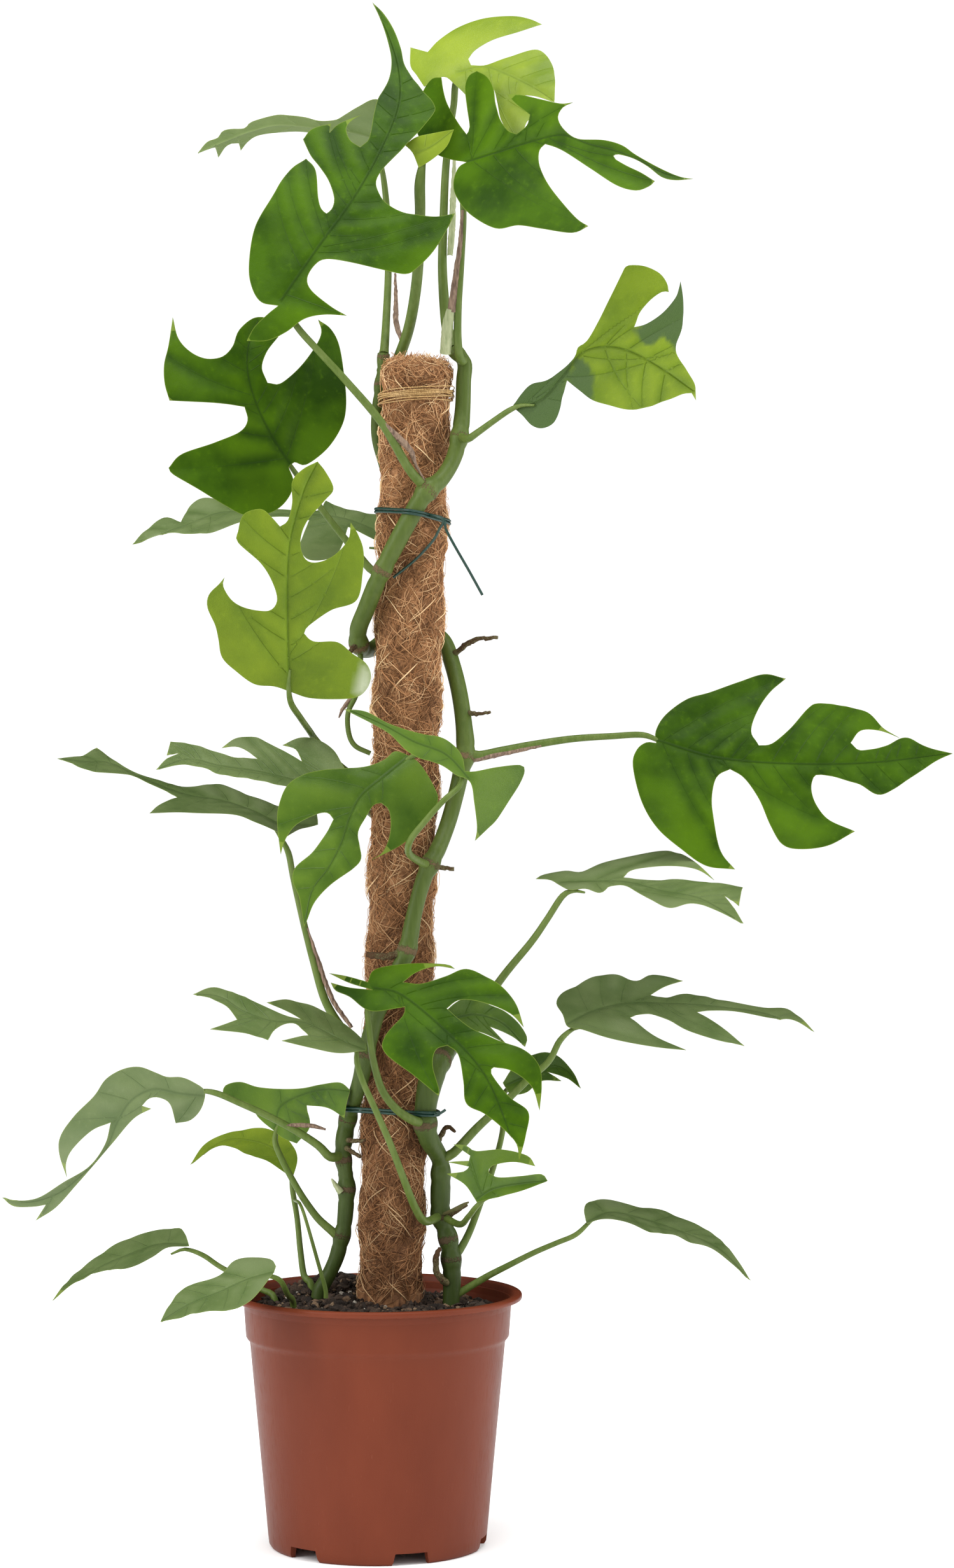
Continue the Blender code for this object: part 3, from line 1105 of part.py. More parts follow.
def main():
    """Builds every piece."""
    for old in list(bpy.data.objects):
        bpy.data.objects.remove(old, do_unlink=True)
    vines = {"vine_left": vine_path(LEFT_VINE), "vine_right": vine_path(RIGHT_VINE)}
    rooms = []
    for name, spec in LEAVES.items():
        curve = build_leaf(name, spec, vines)
        if spec["joint"] == "soil":
            rooms.append(tube("room", grown(curve, GAP, -4.0, 1.5), PETIOLE_SIDES))
    for name, path in vines.items():
        build_vine(name, path)
        rooms.append(tube("room", grown([p for p in path if p[2] < 190.0], GAP, 2.0), VINE_SIDES))
    build_pot()
    room_radius = POLE_RADIUS[0] + SLEEVE_CLEARANCE + GAP
    pole_room = [(*(POLE_BOTTOM + POLE_AXIS * h), room_radius) for h in (-30.0, 200.0)]
    rooms.append(tube("room", pole_room, 24))
    build_soil(rooms)
    build_pole()
    build_stake()
    build_binding()
    build_tie("tie_upper", seen(650, 805, -20).z, -0.16, [vines["vine_left"]],
              [[(700, 830, -30), (714, 857, -31), (737, 897, -29), (758, 935, -26)]])
    build_tie("tie_lower", seen(620, 1745, -20).z, -0.03, [vines["vine_left"], vines["vine_right"]],
              [[(687, 1752, -30), (700, 1744, -31)]])
    stand_on_origin()


main()
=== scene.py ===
"""Dresses the potted mini monstera: leaves, stems, coir pole, ties, soil and pot, in a plain studio.

Sizes are in millimetres from the pot's axis on the ground, and become metres in the row's frame
when a mesh is made. A sighting is a picture column, a picture row and a depth behind that axis.
"""

import logging
import math
from dataclasses import dataclass, field
from enum import Enum
from functools import reduce
from typing import Callable, Sequence

import bpy
import numpy as np
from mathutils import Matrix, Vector
from mathutils.geometry import delaunay_2d_cdt


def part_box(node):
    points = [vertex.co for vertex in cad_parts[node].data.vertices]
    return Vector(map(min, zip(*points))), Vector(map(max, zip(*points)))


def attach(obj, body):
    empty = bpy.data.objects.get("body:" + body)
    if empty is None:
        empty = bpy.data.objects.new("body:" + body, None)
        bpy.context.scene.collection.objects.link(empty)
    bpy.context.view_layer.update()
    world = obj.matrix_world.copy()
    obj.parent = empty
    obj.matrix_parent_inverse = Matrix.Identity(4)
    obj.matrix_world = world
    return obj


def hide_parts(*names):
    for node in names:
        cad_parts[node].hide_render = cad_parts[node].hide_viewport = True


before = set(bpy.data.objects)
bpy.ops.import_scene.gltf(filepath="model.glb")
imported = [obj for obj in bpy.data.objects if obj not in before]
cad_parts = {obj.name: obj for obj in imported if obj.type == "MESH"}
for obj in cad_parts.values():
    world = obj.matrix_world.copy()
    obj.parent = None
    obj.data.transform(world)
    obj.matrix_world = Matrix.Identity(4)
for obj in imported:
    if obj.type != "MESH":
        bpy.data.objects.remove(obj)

logging.basicConfig(level=logging.INFO, format="%(message)s")
log = logging.getLogger("mini_monstera")

MM = 0.001
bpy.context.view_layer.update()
SEED = 27
TINY = 1e-9
Array = np.ndarray
Point = tuple[float, ...]


class Side(Enum):
    """Which side of the pole a stem lies against."""

    FRONT = "front"
    BACK = "back"


class Root(Enum):
    """What a leaf's petiole grows from."""

    LEFT_VINE = "vine_left"
    RIGHT_VINE = "vine_right"
    SOIL = "soil"


FRONT, BACK = Side.FRONT, Side.BACK


# The picture's geometry


def dots(text: str) -> tuple[tuple, ...]:
    """Points from text such as "12,34,F 15,40,B", where F and B are the pole's front and back."""
    sides = {"F": FRONT, "B": BACK}
    return tuple(tuple(sides.get(n) or float(n) for n in word.split(",")) for word in text.split())


def unit(rows: Array) -> Array:
    """Each row's direction, as a vector of length 1."""
    return rows / (np.linalg.norm(rows, axis=-1, keepdims=True) + TINY)


def distances(path: Array) -> Array:
    """How far along a path each of its points is."""
    return np.concatenate([[0.0], np.cumsum(np.linalg.norm(np.diff(path, axis=0), axis=1))])


@dataclass(frozen=True)
class Viewer:
    """The viewer's place and the picture's scale.

    Attributes:
        eye: the eye, from the pot's axis on the ground.
        focal: the focal length in picture pixels.
        middle: the picture's middle column and row.
        height: the picture's height in pixels.
    """

    eye: Point = (65.3, -2369.0, 499.4)
    focal: float = 5660.0
    middle: Point = (749.5, 1232.0)
    height: int = 2464

    def place(self, px: float, py: float, depth: float = 0.0) -> Array:
        """The place of a sighting."""
        reach = (depth - self.eye[1]) / self.focal
        return np.array([
            self.eye[0] + (px - self.middle[0]) * reach,
            depth,
            self.eye[2] - (py - self.middle[1]) * reach,
        ])

    def rays(self, pixels: Array) -> Array:
        """Unit sight lines through picture points, one row each.

        Args:
            pixels: the points' columns and rows.

        Returns:
            The lines, one row each.
        """
        across = (pixels[:, 0] - self.middle[0]) / self.focal
        down = (pixels[:, 1] - self.middle[1]) / self.focal
        return unit(np.stack([across, np.ones(len(pixels)), -down], axis=1))


VIEWER = Viewer()
POT_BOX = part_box("pot")
AXIS = np.array([(POT_BOX[0].x + POT_BOX[1].x) / 2 / MM, (POT_BOX[0].y + POT_BOX[1].y) / 2 / MM, 0.0])


def smooth_curve(points: Sequence[Sequence[float]], step: float) -> Array:
    """A smooth (Catmull-Rom) curve through points of any dimension.

    Args:
        points: the points it passes through.
        step: about how far apart its points are, measured over at most three dimensions.

    Returns:
        The curve's points, one row each.
    """
    rows = [np.asarray(p, float) for p in points]
    if len(rows) < 3:
        count = max(1, round(float(np.linalg.norm(rows[-1][:3] - rows[0][:3])) / step))
        return np.array([rows[0] + (rows[-1] - rows[0]) * k / count for k in range(count + 1)])
    ends = [2 * rows[0] - rows[1]] + rows + [2 * rows[-1] - rows[-2]]
    curve = []
    for a, b, c, d in zip(ends, ends[1:], ends[2:], ends[3:]):
        count = max(1, round(float(np.linalg.norm(c[:3] - b[:3])) / step))
        for k in range(count):
            t = k / count
            bend, turn = 2 * a - 5 * b + 4 * c - d, 3 * b - a - 3 * c + d
            curve.append(0.5 * (2 * b + (c - a) * t + bend * t**2 + turn * t**3))
    curve.append(rows[-1])
    return np.array(curve)


# Meshes


def add_object(name: str, data: bpy.types.ID) -> bpy.types.Object:
    """Puts a mesh, lamp or camera into the scene.

    Args:
        name: the object's name.
        data: what it shows.

    Returns:
        The object.
    """
    made = bpy.data.objects.new(name, data)
    bpy.context.scene.collection.objects.link(made)
    return made


@dataclass
class Shape:
    """Mesh data on its way to becoming a piece.

    Attributes:
        points: vertices in millimetres from the pot's axis.
        faces: vertex indices of each face.
        slots: material number of each face.
        marks: named values, one for each vertex.
    """

    points: Array
    faces: list
    slots: list = field(default_factory=list)
    marks: dict = field(default_factory=dict)

    def add(self, other: "Shape", slot: int = 0) -> "Shape":
        """Joins another shape's mesh to this one, its faces in a material slot of its own.

        Args:
            other: the other shape.
            slot: what is added to its faces' material numbers.

        Returns:
            This shape.
        """
        shift = len(self.points)
        own = len(self.faces)
        self.slots = (self.slots or [0] * own) + (
            [s + slot for s in other.slots] if other.slots else [slot] * len(other.faces)
        )
        for name in set(self.marks) | set(other.marks):
            mine = self.marks.get(name, np.zeros(shift))
            theirs = other.marks.get(name, np.zeros(len(other.points)))
            self.marks[name] = np.concatenate([mine, theirs])
        self.points = np.concatenate([self.points, other.points])
        self.faces = self.faces + [tuple(i + shift for i in f) for f in other.faces]
        return self

    def mesh(self, name: str) -> bpy.types.Mesh:
        """The bare mesh, in metres in the row's frame.

        Args:
            name: the mesh's name.

        Returns:
            The mesh.
        """
        made = bpy.data.meshes.new(name)
        made.from_pydata(((self.points + AXIS) * MM).tolist(), [], self.faces)
        return made

    def piece(self, name: str, finishes: Sequence[bpy.types.Material], slot: str,
              replaces: Sequence[str] = (), crease: float = 45.0) -> bpy.types.Object:
        """Makes the shape into a piece of the plant.

        Args:
            name: the piece's name.
            finishes: its materials, in slot order.
            slot: the record's material slot it takes its finish from; not used.
            replaces: the solids it stands for.
            crease: the angle in degrees past which an edge is sharp.

        Returns:
            The piece.
        """
        mesh = self.mesh(name)
        for finish in finishes:
            mesh.materials.append(finish)
        if self.slots:
            mesh.polygons.foreach_set("material_index", self.slots)
        for mark, values in self.marks.items():
            stored = mesh.attributes.new(mark, "FLOAT", "POINT")
            stored.data.foreach_set("value", np.asarray(values, np.float32))
        mesh.shade_smooth()
        mesh.set_sharp_from_angle(angle=math.radians(crease))
        made = add_object(name, mesh)
        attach(made, "root")
        if replaces:
            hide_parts(*replaces)
        log.info("%s: %d faces", name, len(self.faces))
        return made


def joined(shapes: Sequence[Shape]) -> Shape:
    """Several shapes as one."""
    return reduce(Shape.add, shapes)


def bands(count: int, sides: int, closed: bool = False) -> list[tuple]:
    """The faces over rings of points.

    Args:
        count: how many rings there are.
        sides: how many points a ring has.
        closed: whether the last ring joins the first; otherwise both ends are capped.

    Returns:
        The faces.
    """
    faces = []
    for k in range(count if closed else count - 1):
        a, b = k * sides, (k + 1) % count * sides
        faces += [(a + n, a + (n + 1) % sides, b + (n + 1) % sides, b + n) for n in range(sides)]
    if not closed:
        faces += [tuple(reversed(range(sides))), tuple(range((count - 1) * sides, count * sides))]
    return faces


def tube(path: Array, sides: int, closed: bool = False) -> Shape:
    """A round tube.

    Args:
        path: rows of x, y, z and radius.
        sides: how many sides it has.
        closed: whether its end joins its start.

    Returns:
        The tube, with the mark "along" (millimetres from its start).
    """
    path = np.asarray(path, float)
    count = len(path)
    centres = path[:, :3]
    if closed:
        along = np.roll(centres, -1, axis=0) - np.roll(centres, 1, axis=0)
    else:
        along = np.gradient(centres, axis=0)
    along = unit(along)
    side = np.cross(along[0], (0.3, 0.2, 0.9))
    side = side if np.linalg.norm(side) > 0.1 else np.cross(along[0], (1.0, 0.0, 0.0))
    turns = np.arange(sides) * 2 * math.pi / sides
    points = np.empty((count, sides, 3))
    for k in range(count):
        side = unit(side - along[k] * side.dot(along[k]))
        other = np.cross(along[k], side)
        ring = np.cos(turns)[:, None] * side + np.sin(turns)[:, None] * other
        points[k] = centres[k] + ring * path[k, 3]
    marks = {"along": np.repeat(distances(centres), sides)}
    return Shape(points.reshape(-1, 3), bands(count, sides, closed), marks=marks)


def strands(centres: Array, radii: Array, outward: Array, tints: Array) -> Shape:
    """Many thin three-sided strands in one mesh.

    Args:
        centres: strand by point by place.
        radii: strand by point.
        outward: strand by point, the way that is out from what they lie on.
        tints: one value for each strand.

    Returns:
        The strands, with the mark "tint".
    """
    count, length = centres.shape[:2]
    along = unit(np.gradient(centres, axis=1))
    side = unit(np.cross(along, outward))
    out = np.cross(side, along)
    corners = [centres + (side * math.cos(turn) + out * math.sin(turn)) * radii[..., None]
               for turn in (math.pi / 2, math.pi * 7 / 6, math.pi * 11 / 6)]
    points = np.stack(corners, axis=2).reshape(-1, 3)
    pattern, starts = bands(length, 3), range(0, count * length * 3, length * 3)
    faces = [tuple(n + start for n in face) for start in starts for face in pattern]
    return Shape(points, faces, marks={"tint": np.repeat(tints, length * 3)})


def turned(profile: Sequence[Point], segments: int) -> Shape:
    """A turned solid from (radius, height) points, up the outer side and back down the inner.

    Args:
        profile: the section's radii and heights.
        segments: how many sides it has.

    Returns:
        The solid.
    """
    turns = np.arange(segments) * 2 * math.pi / segments
    points, rings = [], []
    for radius, height in profile:
        if radius < TINY:
            rings.append([len(points)] * segments)
            points.append((0.0, 0.0, height))
            continue
        rings.append(list(range(len(points), len(points) + segments)))
        points += [(radius * math.cos(t), radius * math.sin(t), height) for t in turns]
    faces = []
    for low, high in zip(rings, rings[1:] + rings[:1]):
        for n in range(segments):
            m = (n + 1) % segments
            corners = list(dict.fromkeys((low[n], low[m], high[m], high[n])))
            if len(corners) > 2:
                faces.append(tuple(corners))
    return Shape(np.array(points), faces)


# Shader maths


class Socket:
    """A shader socket that takes part in Python arithmetic."""

    def __init__(self, graph: "Graph", socket: bpy.types.NodeSocket) -> None:
        """Wraps a node's output socket."""
        self.graph = graph
        self.socket = socket

    def _maths(self, operation: str, *values: "Socket | float") -> "Socket":
        """One Math node."""
        return self.graph.node("ShaderNodeMath", {"operation": operation}, dict(enumerate(values)))

    def __add__(self, other: "Socket | float") -> "Socket":
        """Their sum."""
        return self._maths("ADD", self, other)

    __radd__ = __add__

    def __mul__(self, other: "Socket | float") -> "Socket":
        """Their product."""
        return self._maths("MULTIPLY", self, other)

    __rmul__ = __mul__

    def __sub__(self, other: "Socket | float") -> "Socket":
        """Their difference."""
        return self._maths("SUBTRACT", self, other)

    def __rsub__(self, other: "Socket | float") -> "Socket":
        """The difference with this one taken away."""
        return self._maths("SUBTRACT", other, self)

    def clamped(self) -> "Socket":
        """This value kept from 0 to 1."""
        return self._maths("MINIMUM", self._maths("MAXIMUM", self, 0.0), 1.0)

    def over(self, low: float, high: float) -> "Socket":
        """0 below low, 1 above high and straight between."""
        return ((self - low) * (1.0 / (high - low))).clamped()


class Graph:
    """A material under construction around one Principled shader."""

    def __init__(self, name: str) -> None:
        """Starts a material.

        Args:
            name: its name.
        """
        self.material = bpy.data.materials.new(name)
        self.material.use_nodes = True
        self.tree = self.material.node_tree
        self.shader = self.tree.nodes["Principled BSDF"]

    def node(self, kind: str, settings: dict | None = None, inputs: dict | None = None,
             output: int | str = 0) -> Socket:
        """Adds a node.

        Args:
            kind: the node's type.
            settings: its properties; "stops" fills a colour ramp.
            inputs: values or sockets for its inputs, by index or name.
            output: which output is wanted.

        Returns:
            That output.
        """
        made = self.tree.nodes.new(kind)
        for key, value in (settings or {}).items():
            if key == "stops":
                ramp = made.color_ramp.elements
                while len(ramp) < len(value):
                    ramp.new(0.5)
                for element, (at, colour) in zip(ramp, value):
                    element.position = at
                    element.color = (*colour, 1.0)
            else:
                setattr(made, key, value)
        for key, value in (inputs or {}).items():
            if isinstance(value, Socket):
                self.tree.links.new(value.socket, made.inputs[key])
            else:
                made.inputs[key].default_value = value
        return Socket(self, made.outputs[output])

    def mark(self, name: str) -> Socket:
        """A value stored at the mesh's vertices."""
        return self.node("ShaderNodeAttribute", {"attribute_name": name}, output="Fac")

    def place(self, stretch: Point = (1.0, 1.0, 1.0)) -> Socket:
        """The surface's place in metres, stretched along the axes."""
        where = self.node("ShaderNodeTexCoord", output="Object")
        return self.node("ShaderNodeVectorMath", {"operation": "MULTIPLY"}, {0: where, 1: stretch})

    def noise(self, scale: float, detail: float = 3.0, stretch: Point = (1.0, 1.0, 1.0)) -> Socket:
        """Cloudy variation; scale is cycles per metre."""
        values = {"Vector": self.place(stretch), "Scale": scale, "Detail": detail, "Roughness": 0.55}
        return self.node("ShaderNodeTexNoise", {}, values, "Fac")

    def height(self) -> Socket:
        """The surface's height in metres."""
        return self.node("ShaderNodeSeparateXYZ", {}, {0: self.place()}, 2)

    def ramp(self, value: Socket, stops: tuple) -> Socket:
        """The colour at a value between stops."""
        return self.node("ShaderNodeValToRGB", {"stops": stops}, {0: value}, 0)

    def mix(self, factor: Socket | float, low: "Socket | Point", high: "Socket | Point",
            way: str = "MIX") -> Socket:
        """A colour between two, or one laid on the other in a way such as MULTIPLY."""
        colours = [c if isinstance(c, Socket) else (*c, 1.0) for c in (low, high)]
        return self.node("ShaderNodeMix", {"data_type": "RGBA", "blend_type": way},
                         {0: factor, 6: colours[0], 7: colours[1]}, 2)

    def feed(self, name: str, value: "Socket | float | Point") -> None:
        """Gives the shader a constant, or a link for what varies over the surface.

        Args:
            name: the shader's socket.
            value: the constant, or the socket to link.
        """
        if isinstance(value, Socket):
            self.tree.links.new(value.socket, self.shader.inputs[name])
        else:
            self.shader.inputs[name].default_value = value

    def bump(self, height: Socket, distance: float) -> None:
        """Relief from a height, with the distance in metres for a height of 1."""
        values = {"Height": height, "Distance": distance, "Strength": 1.0}
        self.feed("Normal", self.node("ShaderNodeBump", {}, values, "Normal"))

    def finished(self, colour: Socket, rough: "Socket | float", gloss: float, height: Socket,
                 relief: float) -> bpy.types.Material:
        """Feeds the shader.

        Args:
            colour: the surface's colour.
            rough: how matt it is.
            gloss: how strongly it mirrors its surroundings.
            height: its relief, from 0 to 1.
            relief: the relief's depth in metres.

        Returns:
            The material.
        """
        self.feed("Base Color", colour)
        self.feed("Roughness", rough)
        self.feed("Specular IOR Level", gloss)
        self.bump(height, relief)
        return self.material


# Finishes


@dataclass(frozen=True)
class LeafFace:
    """One face of a leaf blade.

    Attributes:
        name: the finish's name.
        body: the blade's colour.
        shade: its darker patches.
        glow: its lighter colour: painted light on the swells between the veins, and random lighter flecks.
        vein: the veins' colour.
        rough: how matt it is.
        gloss: how strongly it mirrors its surroundings.
        relief: the veins' relief in metres.
    """

    name: str
    body: Point
    shade: Point
    glow: Point
    vein: Point
    rough: float
    gloss: float
    relief: float

    def material(self) -> bpy.types.Material:
        """Builds the finish, which reads the marks vein, quilt, edge, dark and pale.

        Returns:
            The material.
        """
        g = Graph(self.name)
        vein, quilt, edge = g.mark("vein"), g.mark("quilt"), g.mark("edge")
        cloud = g.noise(30.0, 4.0)
        broad = g.noise(13.0, 2.0)
        fleck = g.noise(240.0, 3.0)
        grain = g.noise(2200.0, 2.0)
        colour = g.mix(cloud.over(0.36, 0.62), self.shade, self.body)
        # Painted light: the blade is lighter where it swells between the veins, as if lit there.
        colour = g.mix(broad.over(0.44, 0.60) * quilt * 0.6, colour, self.glow)
        colour = g.mix(fleck.over(0.60, 0.78) * 0.35, colour, self.glow)
        colour = g.mix(vein * 0.7, colour, self.vein)
        # Painted light: a pale rim along the blade's edge stands in for light shining through it.
        colour = g.mix((1.0 - edge.over(0.05, 0.5)) * 0.45, colour, (0.200, 0.260, 0.040))
        colour = g.mix(g.mark("dark"), colour, (0.045, 0.080, 0.020))
        # Painted sheen: the pale regions take a greyish white cast that stands in for reflected light.
        colour = g.mix(g.mark("pale") * (0.55 + cloud * 0.5), colour, (0.400, 0.430, 0.310))
        rough = (self.rough + cloud * 0.16 - 0.08 + vein * 0.08).clamped()
        return g.finished(colour, rough, self.gloss, grain * 0.20 + fleck * 0.30 + vein * 0.6, self.relief)


@dataclass(frozen=True)
class Bark:
    """A stem's, petiole's or root's skin.

    Attributes:
        name: the finish's name.
        body: its colour.
        pale: its streaks and the skin beside a node.
        scar: the scars at its nodes.
        rough: how matt it is.
        dim: how much darker it is low down.
    """

    name: str
    body: Point
    pale: Point
    scar: Point
    rough: float = 0.42
    dim: float = 0.0

    def material(self) -> bpy.types.Material:
        """Builds the finish, which reads the mark node (0 to 1 near a node).

        Returns:
            The material.
        """
        g = Graph(self.name)
        node = g.mark("node")
        streaks = g.noise(420.0, 3.0, (1.0, 1.0, 0.10))
        fleck = g.noise(900.0, 2.0)
        cloud = g.noise(60.0, 3.0)
        colour = g.mix(streaks.over(0.40, 0.70) * 0.5, self.body, self.pale)
        colour = g.mix(cloud.over(0.45, 0.7) * 0.35, colour, self.pale)
        ragged = (node + (fleck - 0.5) * 1.3 + (cloud - 0.5) * 1.1).over(0.66, 0.90)
        colour = g.mix(node.over(0.15, 0.75) * 0.55, colour, self.pale)
        colour = g.mix(ragged, colour, self.scar)
        colour = g.mix(fleck.over(0.72, 0.78) * 0.5, colour, self.scar)
        shaded = g.mix(1.0, colour, (0.3, 0.35, 0.35), "MULTIPLY")
        colour = g.mix((1.0 - g.height().over(0.12, 0.50)) * self.dim, colour, shaded)
        rough = (self.rough + ragged * 0.35 + fleck * 0.08).clamped()
        return g.finished(colour, rough, 0.20, streaks * 0.5 + ragged * 1.2 + fleck * 0.3, 0.0004)


@dataclass(frozen=True)
class PotFinish:
    """Satin terracotta-brown moulded plastic.

    Attributes:
        name: the finish's name.
        body: its colour.
        deep: its darker flow marks.
        dust: its scuffs.
    """

    name: str = "pot_plastic"
    body: Point = (0.135, 0.028, 0.011)
    deep: Point = (0.115, 0.023, 0.009)
    dust: Point = (0.360, 0.160, 0.110)

    def material(self) -> bpy.types.Material:
        """Builds the finish: flow marks, faint scuffs and a little dust.

        Returns:
            The material.
        """
        g = Graph(self.name)
        flow = g.noise(22.0, 3.0, (1.0, 1.0, 0.35))
        scuff = g.noise(900.0, 4.0, (1.0, 1.0, 0.08))
        grain = g.noise(3500.0, 2.0)
        colour = g.mix(flow.over(0.35, 0.65), self.deep, self.body)
        colour = g.mix(scuff.over(0.66, 0.84) * 0.15, colour, self.dust)
        rough = (0.36 + scuff.over(0.5, 0.8) * 0.22 + flow * 0.06).clamped()
        return g.finished(colour, rough, 0.13, grain * 0.5 + scuff * 0.3, 0.0001)


@dataclass(frozen=True)
class Crumb:
    """Soil, bark chips and white grains, told apart by the mark tint.

    Attributes:
        name: the finish's name.
        stops: the colours from tint 0 to 1.
        rough: how matt it is.
    """

    name: str
    stops: tuple
    rough: float = 0.92

    def material(self) -> bpy.types.Material:
        """Builds the finish.

        Returns:
            The material.
        """
        g = Graph(self.name)
        grit = g.noise(1100.0, 4.0)
        base = g.ramp(g.mark("tint"), self.stops)
        colour = g.mix(grit.over(0.35, 0.70), g.mix(1.0, base, (0.45, 0.42, 0.40), "MULTIPLY"), base)
        return g.finished(colour, self.rough, 0.5, grit, 0.0008)


@dataclass(frozen=True)
class Fibre:
    """Coir: brown strands whose colour goes from dark to straw with the mark tint, and darker low down.

    Attributes:
        name: the finish's name.
        dark: the colour at tint 0.
        warm: the colour half way.
        straw: the colour at tint 1.
        rough: how matt it is.
    """

    name: str
    dark: Point = (0.080, 0.033, 0.014)
    warm: Point = (0.480, 0.240, 0.102)
    straw: Point = (0.820, 0.600, 0.340)
    rough: float = 0.75

    def material(self) -> bpy.types.Material:
        """Builds the finish.

        Returns:
            The material.
        """
        g = Graph(self.name)
        grit = g.noise(1500.0, 3.0)
        # Darker towards the bottom of the pole.
        low_darkening = 1.0 - g.height().over(0.18, 0.66)
        stops = ((0.0, self.dark), (0.55, self.warm), (1.0, self.straw))
        base = g.ramp(g.mark("tint") + (grit - 0.5) * 0.3, stops)
        colour = g.mix(low_darkening * 0.80, base, g.mix(1.0, base, (0.50, 0.44, 0.40), "MULTIPLY"))
        return g.finished(colour, self.rough, 0.25, grit, 0.0003)


@dataclass(frozen=True)
class Plain:
    """A small trim: twine, wire or dried sheath, streaked along its length.

    Attributes:
        name: the finish's name.
        body: its colour.
        streak: its streaks' colour.
        rough: how matt it is.
        grain: how many streaks there are in a metre.
        relief: the streaks' relief in metres.
    """

    name: str
    body: Point
    streak: Point
    rough: float
    grain: float = 900.0
    relief: float = 0.0002

    def material(self) -> bpy.types.Material:
        """Builds the finish.

        Returns:
            The material.
        """
        g = Graph(self.name)
        streaks = g.noise(self.grain, 4.0, (1.0, 1.0, 0.15))
        colour = g.mix(streaks.over(0.35, 0.68), self.body, self.streak)
        return g.finished(colour, (self.rough + streaks * 0.15).clamped(), 0.5, streaks, self.relief)


FINISHES = (
    LeafFace("leaf_dark_upper", (0.034, 0.082, 0.001), (0.014, 0.04, 0.001), (0.062, 0.132, 0.001),
             (0.011, 0.03, 0.002), 0.4, 0.07, 0.0006),
    LeafFace("leaf_dark_under", (0.078, 0.132, 0.018), (0.056, 0.102, 0.013), (0.1, 0.16, 0.022),
             (0.13, 0.185, 0.045), 0.55, 0.05, 0.0007),
    LeafFace("leaf_mid_upper", (0.058, 0.112, 0.009), (0.031, 0.07, 0.005), (0.092, 0.156, 0.012),
             (0.026, 0.056, 0.006), 0.38, 0.15, 0.0006),
    LeafFace("leaf_mid_under", (0.1, 0.154, 0.032), (0.074, 0.122, 0.023), (0.126, 0.184, 0.04),
             (0.16, 0.215, 0.062), 0.55, 0.05, 0.0007),
    # The soft faces are a greyer green: the leaves' own green with a painted sheen of reflected light in the
    # colour.
    LeafFace("leaf_soft_upper", (0.098, 0.138, 0.044), (0.066, 0.104, 0.028), (0.14, 0.178, 0.078),
             (0.052, 0.086, 0.022), 0.38, 0.3, 0.0006),
    LeafFace("leaf_soft_under", (0.13, 0.18, 0.06), (0.1, 0.148, 0.044), (0.16, 0.21, 0.08),
             (0.19, 0.24, 0.1), 0.55, 0.08, 0.0007),
    LeafFace("leaf_light_upper", (0.145, 0.205, 0.01), (0.098, 0.155, 0.007), (0.2, 0.262, 0.014),
             (0.105, 0.16, 0.012), 0.42, 0.18, 0.0006),
    LeafFace("leaf_light_under", (0.11, 0.168, 0.006), (0.074, 0.122, 0.004), (0.156, 0.216, 0.008),
             (0.048, 0.09, 0.005), 0.48, 0.15, 0.001),
    Bark("petiole_skin", (0.074, 0.116, 0.018), (0.125, 0.165, 0.042), (0.13, 0.08, 0.04)),
    Bark("stem_skin", (0.064, 0.098, 0.016), (0.096, 0.134, 0.028), (0.13, 0.085, 0.042), dim=0.85),
    Bark("root_skin", (0.07, 0.075, 0.022), (0.12, 0.09, 0.045), (0.07, 0.036, 0.018), 0.7),
    PotFinish(),
    Crumb("soil_dark", (
        (0.0, (0.016, 0.01, 0.006)), (0.5, (0.045, 0.027, 0.016)), (1.0, (0.1, 0.064, 0.038)))),
    Crumb("soil_crumb", (
        (0.0, (0.02, 0.012, 0.008)), (0.42, (0.075, 0.044, 0.026)), (0.6, (0.17, 0.1, 0.055)),
        (0.82, (0.27, 0.18, 0.105)), (1.0, (0.56, 0.52, 0.44)))),
    Fibre("coir_fibre"),
    Plain("golden_twine", (0.26, 0.14, 0.04), (0.62, 0.41, 0.17), 0.4, 1600.0),
    Plain("tie_coating", (0.003, 0.026, 0.017), (0.007, 0.046, 0.031), 0.35),
    Plain("dried_sheath", (0.085, 0.046, 0.028), (0.26, 0.175, 0.115), 0.62, 700.0, 0.0006),
    Plain("pale_sheath", (0.21, 0.25, 0.11), (0.34, 0.36, 0.2), 0.5, 500.0, 0.0003),
)


# The pole's line, which the stems lie against


